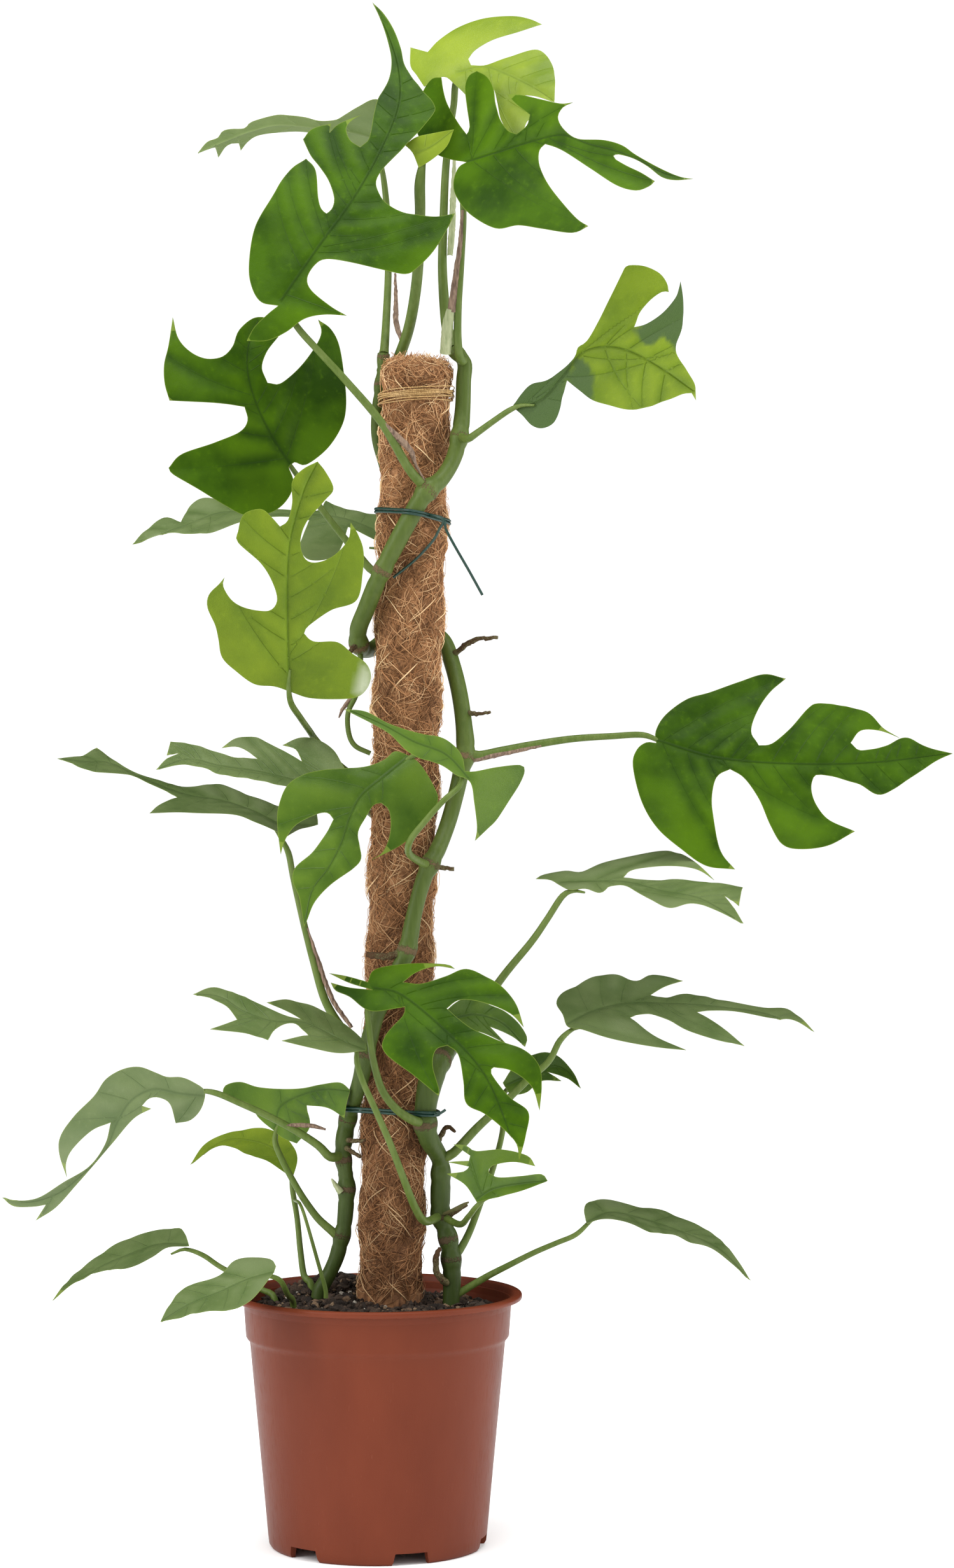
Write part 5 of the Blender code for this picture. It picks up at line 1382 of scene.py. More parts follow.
LEAVES = (
    Leaf("leaf_01", "light", (724, 108, 21), (868, 110, 1), (790, 30, 39), Root.LEFT_VINE,
         outline=dots("""645,75 672,82 690,62 720,42 760,29 805,26 832,31 852,40 815,52 775,63 748,78 736,93
             740,102 765,101 800,90 845,79 866,98 872,125 871,160 840,151 812,150 803,152 820,167 845,186
             830,190 822,208 812,217 800,210 787,188 781,160 775,138 762,122 745,113 738,130 733,150 715,134
             697,122 667,138 654,118 645,104"""),
         spine=dots("722,112 760,104 800,118 840,138 868,156"),
         petiole=dots("""717,128,32 713,165,40 706,210,43 700,270,38 697,340,32 695,410,25 697,460,20
             701,505,15 706,530,10"""),
         radii=(2.2, 4.4)),
    Leaf("leaf_02", "dark", (440, 482, -81), (585, 3, 16), (715, 335, -51), Root.LEFT_VINE,
         outline=dots("""437,481 410,475 395,450 391,415 400,360 425,315 452,272 481,249 496,268 500,310
             505,328 513,335 521,328 525,312 517,285 502,262 488,244 476,218 490,203 520,194 518,208 532,196
             568,182 554,190 544,203 550,222 566,232 580,218 587,182 594,155 610,127 615,98 610,68 598,30
             585,3 603,22 619,48 630,77 637,105 660,138 682,165 680,181 650,215 620,247 599,270 591,290
             605,318 635,335 680,341 715,335 700,365 680,397 655,422 637,431 600,424 550,413 513,408 495,417
             483,438 490,458 520,482 545,496 510,495 478,502 450,522 420,536 388,537 400,515 420,495"""),
         spine=dots("443,470 497,392 556,310 600,232 626,165 626,110 610,55 585,5"),
         petiole=dots("468,515,-78 500,551,-74 545,600,-68 600,665,-55 640,733,-40 664,762,-28"),
         radii=(2.1, 3.8), arch=0.04, cup=0.06),
    Leaf("leaf_03", "soft", (600, 252, 82), (311, 240, 119), (455, 186, 47), Root.RIGHT_VINE,
         outline=dots("""600,250 560,232 530,222 500,212 455,208 418,211 395,219 378,238 375,226 358,229
             343,248 338,232 311,240 325,225 342,218 352,206 383,203 396,193 440,183 480,187 520,191 560,170
             590,158 615,172 640,200 630,235"""),
         spine=dots("606,222 560,208 500,200 440,195 395,205 350,222 311,240"),
         petiole=dots("604,290,79 610,360,70 610,430,57 607,500,40 604,548,26"),
         radii=(2.0, 3.4), underside=True, rib=(588, 205)),
    Leaf("leaf_04", "light", (660, 250, -35), (713, 203, -39), (636, 228, -34), Root.RIGHT_VINE,
         outline=dots("658,264 648,240 636,228 655,215 682,209 713,203 702,230 680,250"),
         spine=dots("655,240 680,228 713,203"),
         petiole=dots("660,285,-31 660,340,-21 656,430,0 646,500,17 632,548,29 612,590,34"),
         radii=(3.4, 4.0)),
    Leaf("leaf_05", "dark", (733, 254, -34), (1090, 281, -107), (790, 358, -62), Root.LEFT_VINE,
         outline=dots("""733,255 722,264 715,284 718,308 740,338 780,360 815,355 850,360 900,367 925,356
             908,345 885,320 862,290 849,262 849,238 857,227 885,238 930,267 970,293 1000,301 1020,294
             1029,285 1008,272 985,261 968,251 964,245 972,243 995,249 1018,262 1040,279 1062,284 1090,281
             1070,278 1040,266 1000,244 978,229 950,221 908,218 886,203 878,185 885,169 900,161 880,163
             850,157 822,151 797,149 812,165 833,181 828,198 812,211 798,205 786,187 780,165 778,142 768,123
             750,112 738,120 732,138 735,170 738,200 733,211 720,192 704,164 697,142 694,122 680,124 667,141
             655,175 660,215 685,242 710,252"""),
         spine=dots("733,254 790,236 845,219 885,212 925,226 965,236 1005,252 1045,272 1088,280"),
         petiole=dots("729,300,-32 728,350,-29 724,420,-24 720,480,-19 719,530,-14 722,560,-8"),
         radii=(2.0, 3.4), arch=0.05, cup=0.05),
    Leaf("leaf_06", "light", (812, 640, -39), (1093, 625, -104), (985, 420, -41), Root.LEFT_VINE,
         outline=dots("""806,640 818,620 835,603 860,597 885,580 903,562 908,546 922,536 940,506 957,470
             976,430 983,418 994,416 1015,419 1037,430 1048,445 1051,459 1040,459 1022,471 1004,492 996,514
             1015,507 1040,490 1060,468 1066,455 1070,443 1073,475 1072,510 1062,550 1078,580 1092,605
             1093,629 1087,618 1072,619 1050,628 1020,639 990,644 955,636 930,628 910,613 891,598 884,620
             880,640 870,664 852,673 835,668 820,652"""),
         spine=dots("808,638 850,630 885,592 915,556 950,546 990,553 1040,580 1090,615"),
         petiole=dots("800,645,-39 775,662,-35 750,680,-30 734,690,-24"),
         radii=(1.8, 3.0), cup=0.1, underside=True,
         turned=(dots("""905,560 876,576 849,590 825,602 798,632 800,650 818,663 834,675 852,681 872,677
             884,661 889,634 889,612 893,598"""),
                 dots("890,597 903,564 914,562 929,575 933,590 932,634 912,622 896,610"),
                 dots("""995,518 1033,484 1052,467 1066,436 1080,440 1081,480 1080,516 1064,556 1041,529
                     1021,546 1004,537"""),)),
    Leaf("leaf_07", "dark", (453, 728, -32), (385, 520, -18), (258, 600, -48), Root.LEFT_VINE,
         outline=dots("""453,735 460,757 455,778 440,797 418,808 385,810 350,793 310,769 272,746 265,735
             285,714 335,697 375,680 388,662 384,640 340,634 266,630 258,605 257,575 264,545 271,500 280,533
             300,554 325,564 350,560 365,545 375,520 400,500 425,505 437,530 418,555 411,580 420,602 440,603
             470,578 495,545 505,522 500,502 520,518 533,545 540,595 542,640 535,672 513,706 480,731
             462,727"""),
         spine=dots("455,728 430,690 405,640 390,590 390,545 405,505"),
         petiole=dots("474,757,-28 500,793,-24 530,832,-20 560,868,-18 586,897,-18"),
         arch=0.03, fold=0.06),
    Leaf("leaf_08", "light", (453, 1082, -55), (490, 728, -106), (330, 950, -73), Root.RIGHT_VINE,
         outline=dots("""453,1086 430,1079 400,1075 372,1056 349,1034 343,1005 338,983 326,955 328,935 344,918
             353,907 351,922 366,945 392,958 422,960 435,945 429,918 410,885 374,852 374,835 383,808 410,800
             426,812 440,827 452,818 459,790 459,757 475,738 499,725 512,742 524,768 510,787 482,820 472,852
             480,879 500,884 525,873 547,848 551,821 562,839 571,865 570,900 560,944 520,959 485,983 478,995
             492,1007 530,1009 553,1027 575,1043 583,1062 577,1082 560,1096 525,1100 485,1098"""),
         spine=dots("455,1080 452,990 452,900 458,840 478,770 498,728"),
         petiole=dots("""457,1104,-47 472,1128,-28 486,1148,-8 498,1165,4 528,1198,15 560,1222,22 600,1238,35
             628,1240,38"""),
         radii=(2.0, 3.2), arch=0.03, underside=True,
         # Painted sheen on its lower right lobe.
         sheen_patches=(dots("566,1034 590,1052 592,1085 572,1102 548,1092 556,1060"),)),
    Leaf("leaf_09", "soft", (612, 858, 46), (208, 855, 79), (400, 800, 114), Root.RIGHT_VINE,
         outline=dots("""612,862 575,843 547,827 540,852 528,873 505,882 482,880 471,860 477,838 486,817
             440,812 400,816 375,822 335,838 290,838 255,838 208,855 230,832 258,815 284,820 299,797 318,784
             345,786 385,799 440,801 498,803 512,787 532,797 570,805 610,812 625,835"""),
         spine=dots("600,838 540,815 480,808 420,808 350,805 290,826 212,853"),
         petiole=dots("617,862,46 624,872,38"),
         radii=(2.0, 2.8)),
    Leaf("leaf_10", "mid", (735, 1222, -66), (540, 1114, -74), (765, 1300, -80), Root.LEFT_VINE,
         outline=dots("""737,1228 715,1219 690,1202 660,1192 638,1180 612,1154 585,1138 558,1124 540,1114
             575,1119 610,1137 650,1151 690,1159 712,1171 725,1190 730,1212 745,1213 780,1206 815,1203
             822,1212 815,1232 800,1257 780,1288 765,1303 745,1322 748,1300 743,1262"""),
         spine=dots("735,1222 700,1185 650,1165 600,1138 542,1114"),
         petiole=dots("""722,1235,-68 695,1260,-74 665,1294,-76 645,1320,-70 642,1340,-56 658,1353,-36"""),
         radii=(1.8, 2.8), arch=0.06),
    Leaf("leaf_11", "mid", (640, 1188, -40), (478, 1457, -84), (688, 1250, -44), Root.LEFT_VINE,
         outline=dots("""640,1186 655,1196 668,1212 681,1235 688,1255 680,1275 660,1300 630,1328 583,1352
             602,1338 613,1308 612,1275 600,1261 587,1265 575,1284 563,1307 565,1330 567,1350 555,1365
             520,1390 495,1417 483,1445 478,1457 470,1410 460,1385 464,1363 490,1340 512,1310 524,1287
             514,1277 495,1280 465,1296 448,1320 441,1343 436,1300 437,1270 450,1236 475,1218 505,1211
             540,1208 580,1203 605,1193 620,1181"""),
         spine=dots("640,1190 600,1222 567,1250 549,1285 536,1325 515,1365 490,1400 478,1455"),
         petiole=dots("660,1184,-38 685,1188,-32 706,1200,-18"),
         radii=(1.8, 2.6), arch=0.04, fold=0.08),
    Leaf("leaf_12", "soft", (560, 1235, -30), (245, 1210, -88), (400, 1164, -26), Root.RIGHT_VINE,
         outline=dots("""560,1240 540,1208 524,1181 500,1165 472,1161 444,1171 465,1178 475,1196 440,1178
             400,1160 370,1163 347,1179 374,1178 405,1194 362,1191 305,1172 268,1165 262,1187 282,1184
             262,1193 245,1210 285,1203 320,1208 345,1218 400,1226 470,1242 520,1250"""),
         spine=dots("555,1243 510,1236 460,1225 405,1212 345,1203 295,1193 247,1209"),
         petiole=dots("574,1246,-21 570,1264,6 590,1284,29 620,1290,38"),
         radii=(1.8, 2.8)),
    Leaf("leaf_13", "soft", (447, 1318, -26), (90, 1191, 42), (375, 1245, 52), Root.LEFT_VINE,
         outline=dots("""447,1320 430,1307 400,1293 365,1280 300,1277 235,1278 250,1266 279,1253 235,1233
             205,1219 150,1212 90,1191 130,1188 152,1176 175,1193 215,1215 260,1229 300,1236 340,1232 375,1244
             437,1267 498,1280 500,1294 470,1304"""),
         spine=dots("""447,1300 400,1275 350,1258 300,1250 262,1238 215,1218 170,1198 130,1196 92,1191"""),
         petiole=dots("""453,1340,-18 460,1375,-13 470,1420,-10 480,1462,-7 493,1512,-6 510,1570,-8
             534,1612,-10 562,1645,-12"""),
         radii=(2.0, 3.6), rib=(425, 1288)),
    Leaf("leaf_14", "dark", (1031, 1163, 20), (1497, 1184, 61), (1220, 1062, 62), Root.LEFT_VINE,
         outline=dots("""1031,1168 1030,1150 1045,1125 1078,1101 1115,1090 1160,1073 1200,1060 1235,1066
             1210,1088 1190,1118 1180,1150 1192,1172 1212,1170 1240,1147 1268,1115 1285,1106 1320,1110
             1362,1121 1388,1146 1413,1160 1380,1149 1352,1149 1337,1167 1352,1179 1390,1173 1421,1160
             1458,1176 1497,1184 1470,1197 1435,1220 1383,1250 1345,1232 1290,1218 1276,1228 1278,1256
             1300,1287 1343,1307 1300,1330 1255,1336 1228,1328 1210,1298 1193,1258 1170,1224 1147,1209
             1126,1222 1118,1255 1122,1295 1133,1338 1155,1366 1110,1361 1070,1335 1033,1303 1008,1260
             994,1205 1000,1180 1015,1168"""),
         spine=dots("1031,1163 1130,1191 1250,1200 1370,1198 1497,1184"),
         petiole=dots("1010,1155,19 960,1157,19 900,1161,18 840,1170,15 790,1180,10 752,1188,4"),
         radii=(2.0, 4.0), arch=0.03, fold=0.05),
    Leaf("leaf_15", "soft", (893, 1394, -20), (1168, 1450, -121), (1045, 1337, 16), Root.RIGHT_VINE,
         outline=dots("""893,1398 920,1397 943,1403 960,1392 985,1392 1020,1413 1052,1427 1090,1420 1130,1432
             1168,1450 1152,1425 1138,1408 1161,1423 1167,1394 1110,1386 1065,1381 1008,1382 979,1378 997,1367
             1045,1362 1092,1367 1122,1382 1095,1359 1065,1341 1040,1337 1000,1343 950,1357 915,1372 888,1370
             855,1375 842,1382 866,1384"""),
         spine=dots("885,1386 930,1385 985,1386 1040,1400 1100,1412 1166,1449"),
         petiole=dots("884,1408,-20 860,1444,-18 835,1480,-14 790,1535,-7 745,1600,1 718,1640,8"),
         radii=(2.0, 3.8)),
    Leaf("leaf_16", "dark", (580, 1556, -50), (816, 1823, -105), (850, 1700, -81), Root.RIGHT_VINE,
         outline=dots("""585,1556 550,1546 517,1530 545,1535 578,1544 590,1524 640,1515 700,1517 715,1524
             685,1520 655,1528 633,1543 660,1546 700,1535 733,1524 768,1537 795,1556 812,1580 823,1615
             802,1593 765,1577 725,1571 702,1585 735,1613 775,1632 822,1650 846,1674 851,1705 848,1745
             835,1708 805,1684 776,1677 772,1687 800,1723 830,1747 826,1785 816,1823 808,1792 765,1753
             733,1735 728,1700 720,1658 703,1643 685,1651 680,1675 690,1712 689,1722 650,1690 605,1655
             605,1630 633,1596 636,1582 583,1590 550,1568 528,1558 520,1545 550,1553"""),
         spine=dots("590,1553 630,1563 700,1620 765,1695 816,1823"),
         petiole=dots("""578,1580,-50 581,1625,-47 587,1668,-44 600,1712,-40 622,1742,-36 648,1760,-32"""),
         radii=(2.0, 3.4), arch=0.05, fold=0.06),
    Leaf("leaf_17", "mid", (702, 1608, -20), (825, 1645, -38), (745, 1573, -10), Root.RIGHT_VINE,
         outline=dots("""698,1608 700,1592 725,1572 747,1573 785,1586 812,1606 828,1630 825,1645 806,1630
             770,1614 795,1640 762,1626 730,1618"""),
         spine=dots("702,1604 745,1594 790,1608 824,1644"),
         petiole=dots("695,1615,-18 694,1632,-6"),
         radii=(1.6, 2.4)),
    Leaf("leaf_18", "soft", (893, 1612, -5), (1280, 1620, 33), (1070, 1541, 71), Root.RIGHT_VINE,
         outline=dots("""893,1614 884,1595 874,1578 882,1562 905,1548 935,1533 968,1532 1000,1543 1025,1534
             1073,1541 1045,1551 1022,1563 1045,1567 1085,1562 1140,1573 1200,1584 1242,1587 1280,1620
             1245,1602 1205,1599 1150,1589 1095,1589 1130,1612 1170,1641 1120,1632 1080,1619 1050,1600
             1015,1592 990,1598 1030,1630 1078,1651 1030,1646 960,1631 915,1618"""),
         spine=dots("893,1608 935,1588 985,1577 1050,1577 1120,1581 1200,1592 1278,1619"),
         petiole=dots("""880,1635,-10 862,1668,-15 828,1698,-17 790,1735,-14 750,1772,-10 712,1812,-4"""),
         radii=(2.0, 3.6)),
    Leaf("leaf_19", "soft", (570, 1648, -51), (303, 1563, -80), (455, 1572, -37), Root.RIGHT_VINE,
         outline=dots("""575,1652 572,1640 545,1615 505,1587 455,1572 418,1578 445,1589 474,1603 440,1595
             380,1567 335,1554 303,1563 333,1571 355,1583 373,1602 330,1618 385,1625 421,1635 433,1618
             460,1609 484,1629 442,1637 485,1650 530,1658"""),
         spine=dots("572,1650 530,1632 492,1612 468,1606 430,1605 385,1590 345,1566 306,1563"),
         petiole=dots("""561,1670,-52 571,1702,-52 589,1742,-52 613,1797,-49 634,1852,-44 652,1897,-35
             668,1919,-22"""),
         radii=(1.9, 3.0)),
    Leaf("leaf_20", "soft", (320, 1712, -5), (3, 1882, 60), (168, 1694, 8), Root.LEFT_VINE,
         outline=dots("""322,1714 305,1700 285,1692 262,1692 245,1685 220,1676 195,1679 168,1694 148,1722
             118,1752 97,1782 94,1808 106,1850 105,1828 115,1805 145,1776 174,1764 165,1798 140,1833 100,1857
             60,1882 25,1887 3,1882 22,1895 50,1896 72,1893 56,1918 88,1897 120,1862 150,1828 178,1795
             210,1758 238,1742 223,1738 235,1726 252,1725 268,1735 276,1765 300,1759 317,1740"""),
         spine=dots("""318,1722 280,1718 240,1712 205,1730 183,1765 165,1808 130,1845 90,1876 45,1889
             5,1883"""),
         petiole=dots("340,1718,-6 380,1735,-7 420,1753,-7 465,1777,-7 500,1800,-8 519,1818,-6"),
         radii=(2.0, 3.4), arch=0.05, fold=0.1),
    Leaf("leaf_21", "mid", (432, 1764, 18), (548, 1722, -18), (380, 1703, 36), Root.LEFT_VINE,
         outline=dots("""432,1778 405,1755 392,1735 350,1722 355,1706 378,1700 405,1708 440,1711 475,1710
             505,1704 535,1701 550,1713 541,1757 515,1741 482,1737 487,1772 466,1797 445,1788"""),
         spine=dots("432,1770 440,1740 470,1722 510,1712 548,1715"),
         petiole=dots("432,1790,17 443,1822,13 463,1860,9 480,1888,7 500,1915,6 522,1935,4"),
         radii=(1.9, 3.2)),
    Leaf("leaf_22", "light", (458, 1850, 41), (299, 1830, 72), (400, 1776, 94), Root.SOIL,
         outline=dots("""460,1852 440,1839 415,1823 388,1814 360,1802 333,1806 299,1830 322,1800 355,1783
             400,1774 432,1778 457,1797 468,1822"""),
         spine=dots("458,1845 440,1812 400,1793 350,1793 300,1829"),
         petiole=dots("460,1872,40 467,1915,36 472,1965,30 478,2005,22 490,2022,18"),
         radii=(1.8, 2.8), rib=(452, 1812)),
    Leaf("leaf_23", "mid", (795, 1702, 29), (913, 1710, 26), (875, 1660, 51), Root.RIGHT_VINE,
         outline=dots("""790,1702 812,1672 845,1655 875,1660 900,1684 913,1710 890,1694 860,1684 882,1698
             850,1699 828,1718 802,1724"""),
         spine=dots("797,1704 830,1690 865,1675 890,1682 912,1708"),
         petiole=dots("790,1725,30 790,1775,29 775,1835,26 755,1890,21 738,1935,14 722,1965,7"),
         radii=(1.8, 3.0)),
    Leaf("leaf_24", "mid", (750, 1885, -72), (861, 1856, -95), (740, 1803, -50), Root.RIGHT_VINE,
         outline=dots("""750,1890 732,1863 704,1846 730,1842 738,1834 705,1828 738,1825 740,1817 715,1800
             735,1802 750,1810 790,1807 830,1817 843,1834 808,1827 774,1833 768,1843 785,1851 820,1849
             852,1846 861,1856 820,1873 775,1884"""),
         spine=dots("750,1884 775,1868 815,1860 858,1856"),
         petiole=dots("747,1898,-65 736,1912,-45 722,1924,-16"),
         radii=(1.7, 2.6)),
    Leaf("leaf_25", "soft", (922, 1920, 1), (1180, 2012, -12), (1000, 1895, 52), Root.RIGHT_VINE,
         outline=dots("""922,1923 917,1903 925,1890 955,1885 1000,1895 1040,1903 1070,1917 1105,1932 1135,1952
             1158,1980 1180,2012 1148,1985 1118,1963 1085,1952 1055,1940 1020,1936 980,1922 945,1917"""),
         spine=dots("922,1920 960,1905 1010,1915 1070,1935 1130,1962 1178,2010"),
         petiole=dots("905,1940,2 875,1953,3 840,1968,5 800,1988,6 765,2006,6 728,2028,4"),
         radii=(1.7, 2.8), rib=(945, 1903)),
    Leaf("leaf_26", "soft", (298, 1955, 28), (82, 2045, 13), (210, 1947, 70), Root.SOIL,
         outline=dots("""298,1960 265,1962 240,1976 205,1993 160,1999 120,2015 82,2045 118,2003 165,1968
             210,1947 275,1932 291,1940"""),
         spine=dots("298,1956 250,1955 200,1972 150,1995 84,2044"),
         petiole=dots("318,1972,28 345,1990,27 378,2008,23 410,2026,15 432,2042,8"),
         radii=(1.7, 2.4)),
    Leaf("leaf_27", "soft", (429, 1998, -82), (252, 2077, -107), (390, 1980, -63), Root.SOIL,
         outline=dots("""428,2004 434,1992 425,1982 390,1980 368,1985 352,2000 335,2010 300,2018 278,2034
             252,2077 280,2074 300,2067 340,2063 365,2060 392,2047 412,2025"""),
         spine=dots("428,2000 390,2010 345,2030 300,2048 254,2076"),
         petiole=dots("440,2012,-69 452,2034,-41 461,2050,-16"),
         radii=(1.7, 2.4), arch=0.04),
)


@dataclass
class Foliage:
    """The plant's leaves, each a blade on its petiole.

    Attributes:
        leaves: the leaves' plans.
        looks: the finishes, by name.
        lines: the stems' lines by name, to which each petiole's is added.
        sides: how many sides a petiole has.
        depths: how far under its blade a petiole ends, and lies where the blade begins.
        ends: the petiole's radius at those two places.
        reach: how far up the midrib a petiole ends.
        sunk: how far a petiole that comes from the soil reaches into it.
    """

    leaves: Sequence[Leaf]
    looks: dict[str, bpy.types.Material]
    lines: dict[str, Array]
    sides: int = 14
    depths: Point = (1.5, 2.1)
    ends: Point = (0.7, 1.3)
    reach: float = 14.0
    sunk: float = 28.0

    def petiole(self, leaf: Leaf, blade: Blade) -> Shape:
        """A leaf's petiole, from under its blade into its vine or the soil.

        Args:
            leaf: the leaf's plan.
            blade: its blade.

        Returns:
            The petiole, with the mark "node".
        """
        thin, thick = leaf.radii
        under = np.array(self.depths) * (1.0 if leaf.underside else -1.0)
        inner = blade.traced(np.array([leaf.rib]))[0] if leaf.rib else np.array([self.reach, 0.0])
        places = np.array([inner, inner * 0.3])
        rib = blade.surface(places) + blade.normals(places) * under[:, None]
        stalk = [POLE.off(settle(s, thick), thick + 0.4, PETIOLE_CLEARANCE) for s in leaf.petiole]
        if leaf.root is Root.SOIL:
            stalk.append(stalk[-1] - np.array([0.0, 0.0, self.sunk]))
        else:
            stalk.append(nearest(self.lines[leaf.root.value], stalk[-1]))
        path = [(*place, radius) for place, radius in zip(rib, self.ends)]
        for k, point in enumerate(stalk):
            share = (k + 1) / len(stalk)
            path.append((*point, thin + (thick - thin) * share**2))
        curve = smooth_curve(path, 3.0)
        self.lines[leaf.name] = curve
        made = tube(curve, self.sides)
        along = made.marks["along"]
        knee = np.exp(-(((along - 16.0) / 6.0) ** 2)) * 0.3
        foot = np.clip(1.0 - (along.max() - along) / 14.0, 0.0, 1.0) * 0.65
        made.marks["node"] = np.maximum(knee, foot)
        return made

    def build(self) -> None:
        """Builds every leaf as one piece with three finishes."""
        for leaf in self.leaves:
            blade = Blade(leaf)
            names = (f"leaf_{leaf.faces}_upper", f"leaf_{leaf.faces}_under", "petiole_skin")
            looks = [self.looks[name] for name in names]
            shape = blade.shape().add(self.petiole(leaf, blade), slot=2)
            shape.piece(f"{leaf.name}_green", looks, leaf.slot, replaces=(leaf.name,), crease=50.0)


# Stems


@dataclass
class Vines:
    """The two climbing stems, with their nodes, and the roots they put out.

    Attributes:
        looks: the finishes, by name.
        lines: each stem's coarse line, by its node's name.
        sides: how many sides a stem has.
        swell: how far a node stands out, and the neck beside it goes in.
        steps: how far apart the points of the coarse and the fine line are.
    """

    looks: dict[str, bpy.types.Material]
    lines: dict[str, Array] = field(default_factory=dict)
    sides: int = 22
    swell: Point = (0.7, 0.45)
    steps: Point = (13.0, 2.0)

    def __post_init__(self) -> None:
        """Works out the stems' lines."""
        for root, sightings in ((Root.LEFT_VINE, LEFT_VINE), (Root.RIGHT_VINE, RIGHT_VINE)):
            self.lines[root.value] = self.line(sightings, self.steps[0])

    @staticmethod
    def line(sightings: Sequence[tuple], step: float) -> Array:
        """A stem's smooth line, with its radius."""
        places = [POLE.off(settle(s, s[3]), s[3], STEM_CLEARANCE) for s in sightings]
        return smooth_curve([(*p, s[3]) for p, s in zip(places, sightings)], step)

    def build(self) -> None:
        """Builds both stems and their roots."""
        plans = ((Root.LEFT_VINE, LEFT_VINE, LEFT_NODES), (Root.RIGHT_VINE, RIGHT_VINE, RIGHT_NODES))
        for which, sightings, nodes in plans:
            fine = self.line(sightings, self.steps[1])
            close = np.zeros(len(fine))
            for px, py in nodes:
                depth = nearest_depth(fine, px, py)
                reach = np.linalg.norm(fine[:, :3] - VIEWER.place(px, py, depth), axis=1)
                fine[:, 3] += self.swell[0] * np.exp(-((reach / 4.5) ** 2))
                fine[:, 3] -= self.swell[1] * np.exp(-(((reach - 7.0) / 2.0) ** 2))
                close = np.maximum(close, np.exp(-((reach / 3.4) ** 2)))
            stem = tube(fine, self.sides)
            stem.marks["node"] = np.repeat(close, self.sides)
            stem.piece(f"{which.value}_stem", (self.looks["stem_skin"],), "vine_green", (which.value,))
            self.roots(which, fine)

    def roots(self, which: Root, line: Array) -> None:
        """The knobbly roots and shoots of one stem.

        Args:
            which: the stem.
            line: its line.
        """
        rng = np.random.default_rng(SEED)
        made = []
        for root in ROOTLETS[which]:
            start = nearest(line, VIEWER.place(*root[0][:3]))
            places = [(*start, root[0][3])]
            places += [(*POLE.off(VIEWER.place(*r[:3]), r[3], PETIOLE_CLEARANCE), r[3]) for r in root[1:]]
            curve = smooth_curve(places, 1.6)
            curve[:, 3] *= 1.0 + rng.uniform(-0.14, 0.14, len(curve))
            curve[:, :3] += rng.normal(0.0, 0.18, (len(curve), 3))
            made.append(tube(curve, 9))
            made[-1].marks["node"] = np.clip(made[-1].marks["along"] / 14.0, 0.0, 0.8)
        joined(made).piece(f"{which.value}_roots", (self.looks["root_skin"],), "vine_green")


def nearest_depth(line: Array, px: float, py: float) -> float:
    """The depth of a line where it comes nearest a picture point.

    Args:
        line: the line.
        px: the picture column.
        py: the picture row.

    Returns:
        The depth.
    """
    eye = np.array(VIEWER.eye)
    reach = VIEWER.focal / (line[:, 1] - eye[1])
    columns = VIEWER.middle[0] + (line[:, 0] - eye[0]) * reach
    rows = VIEWER.middle[1] - (line[:, 2] - eye[2]) * reach
    return float(line[np.argmin((columns - px) ** 2 + (rows - py) ** 2), 1])


# Pot and soil


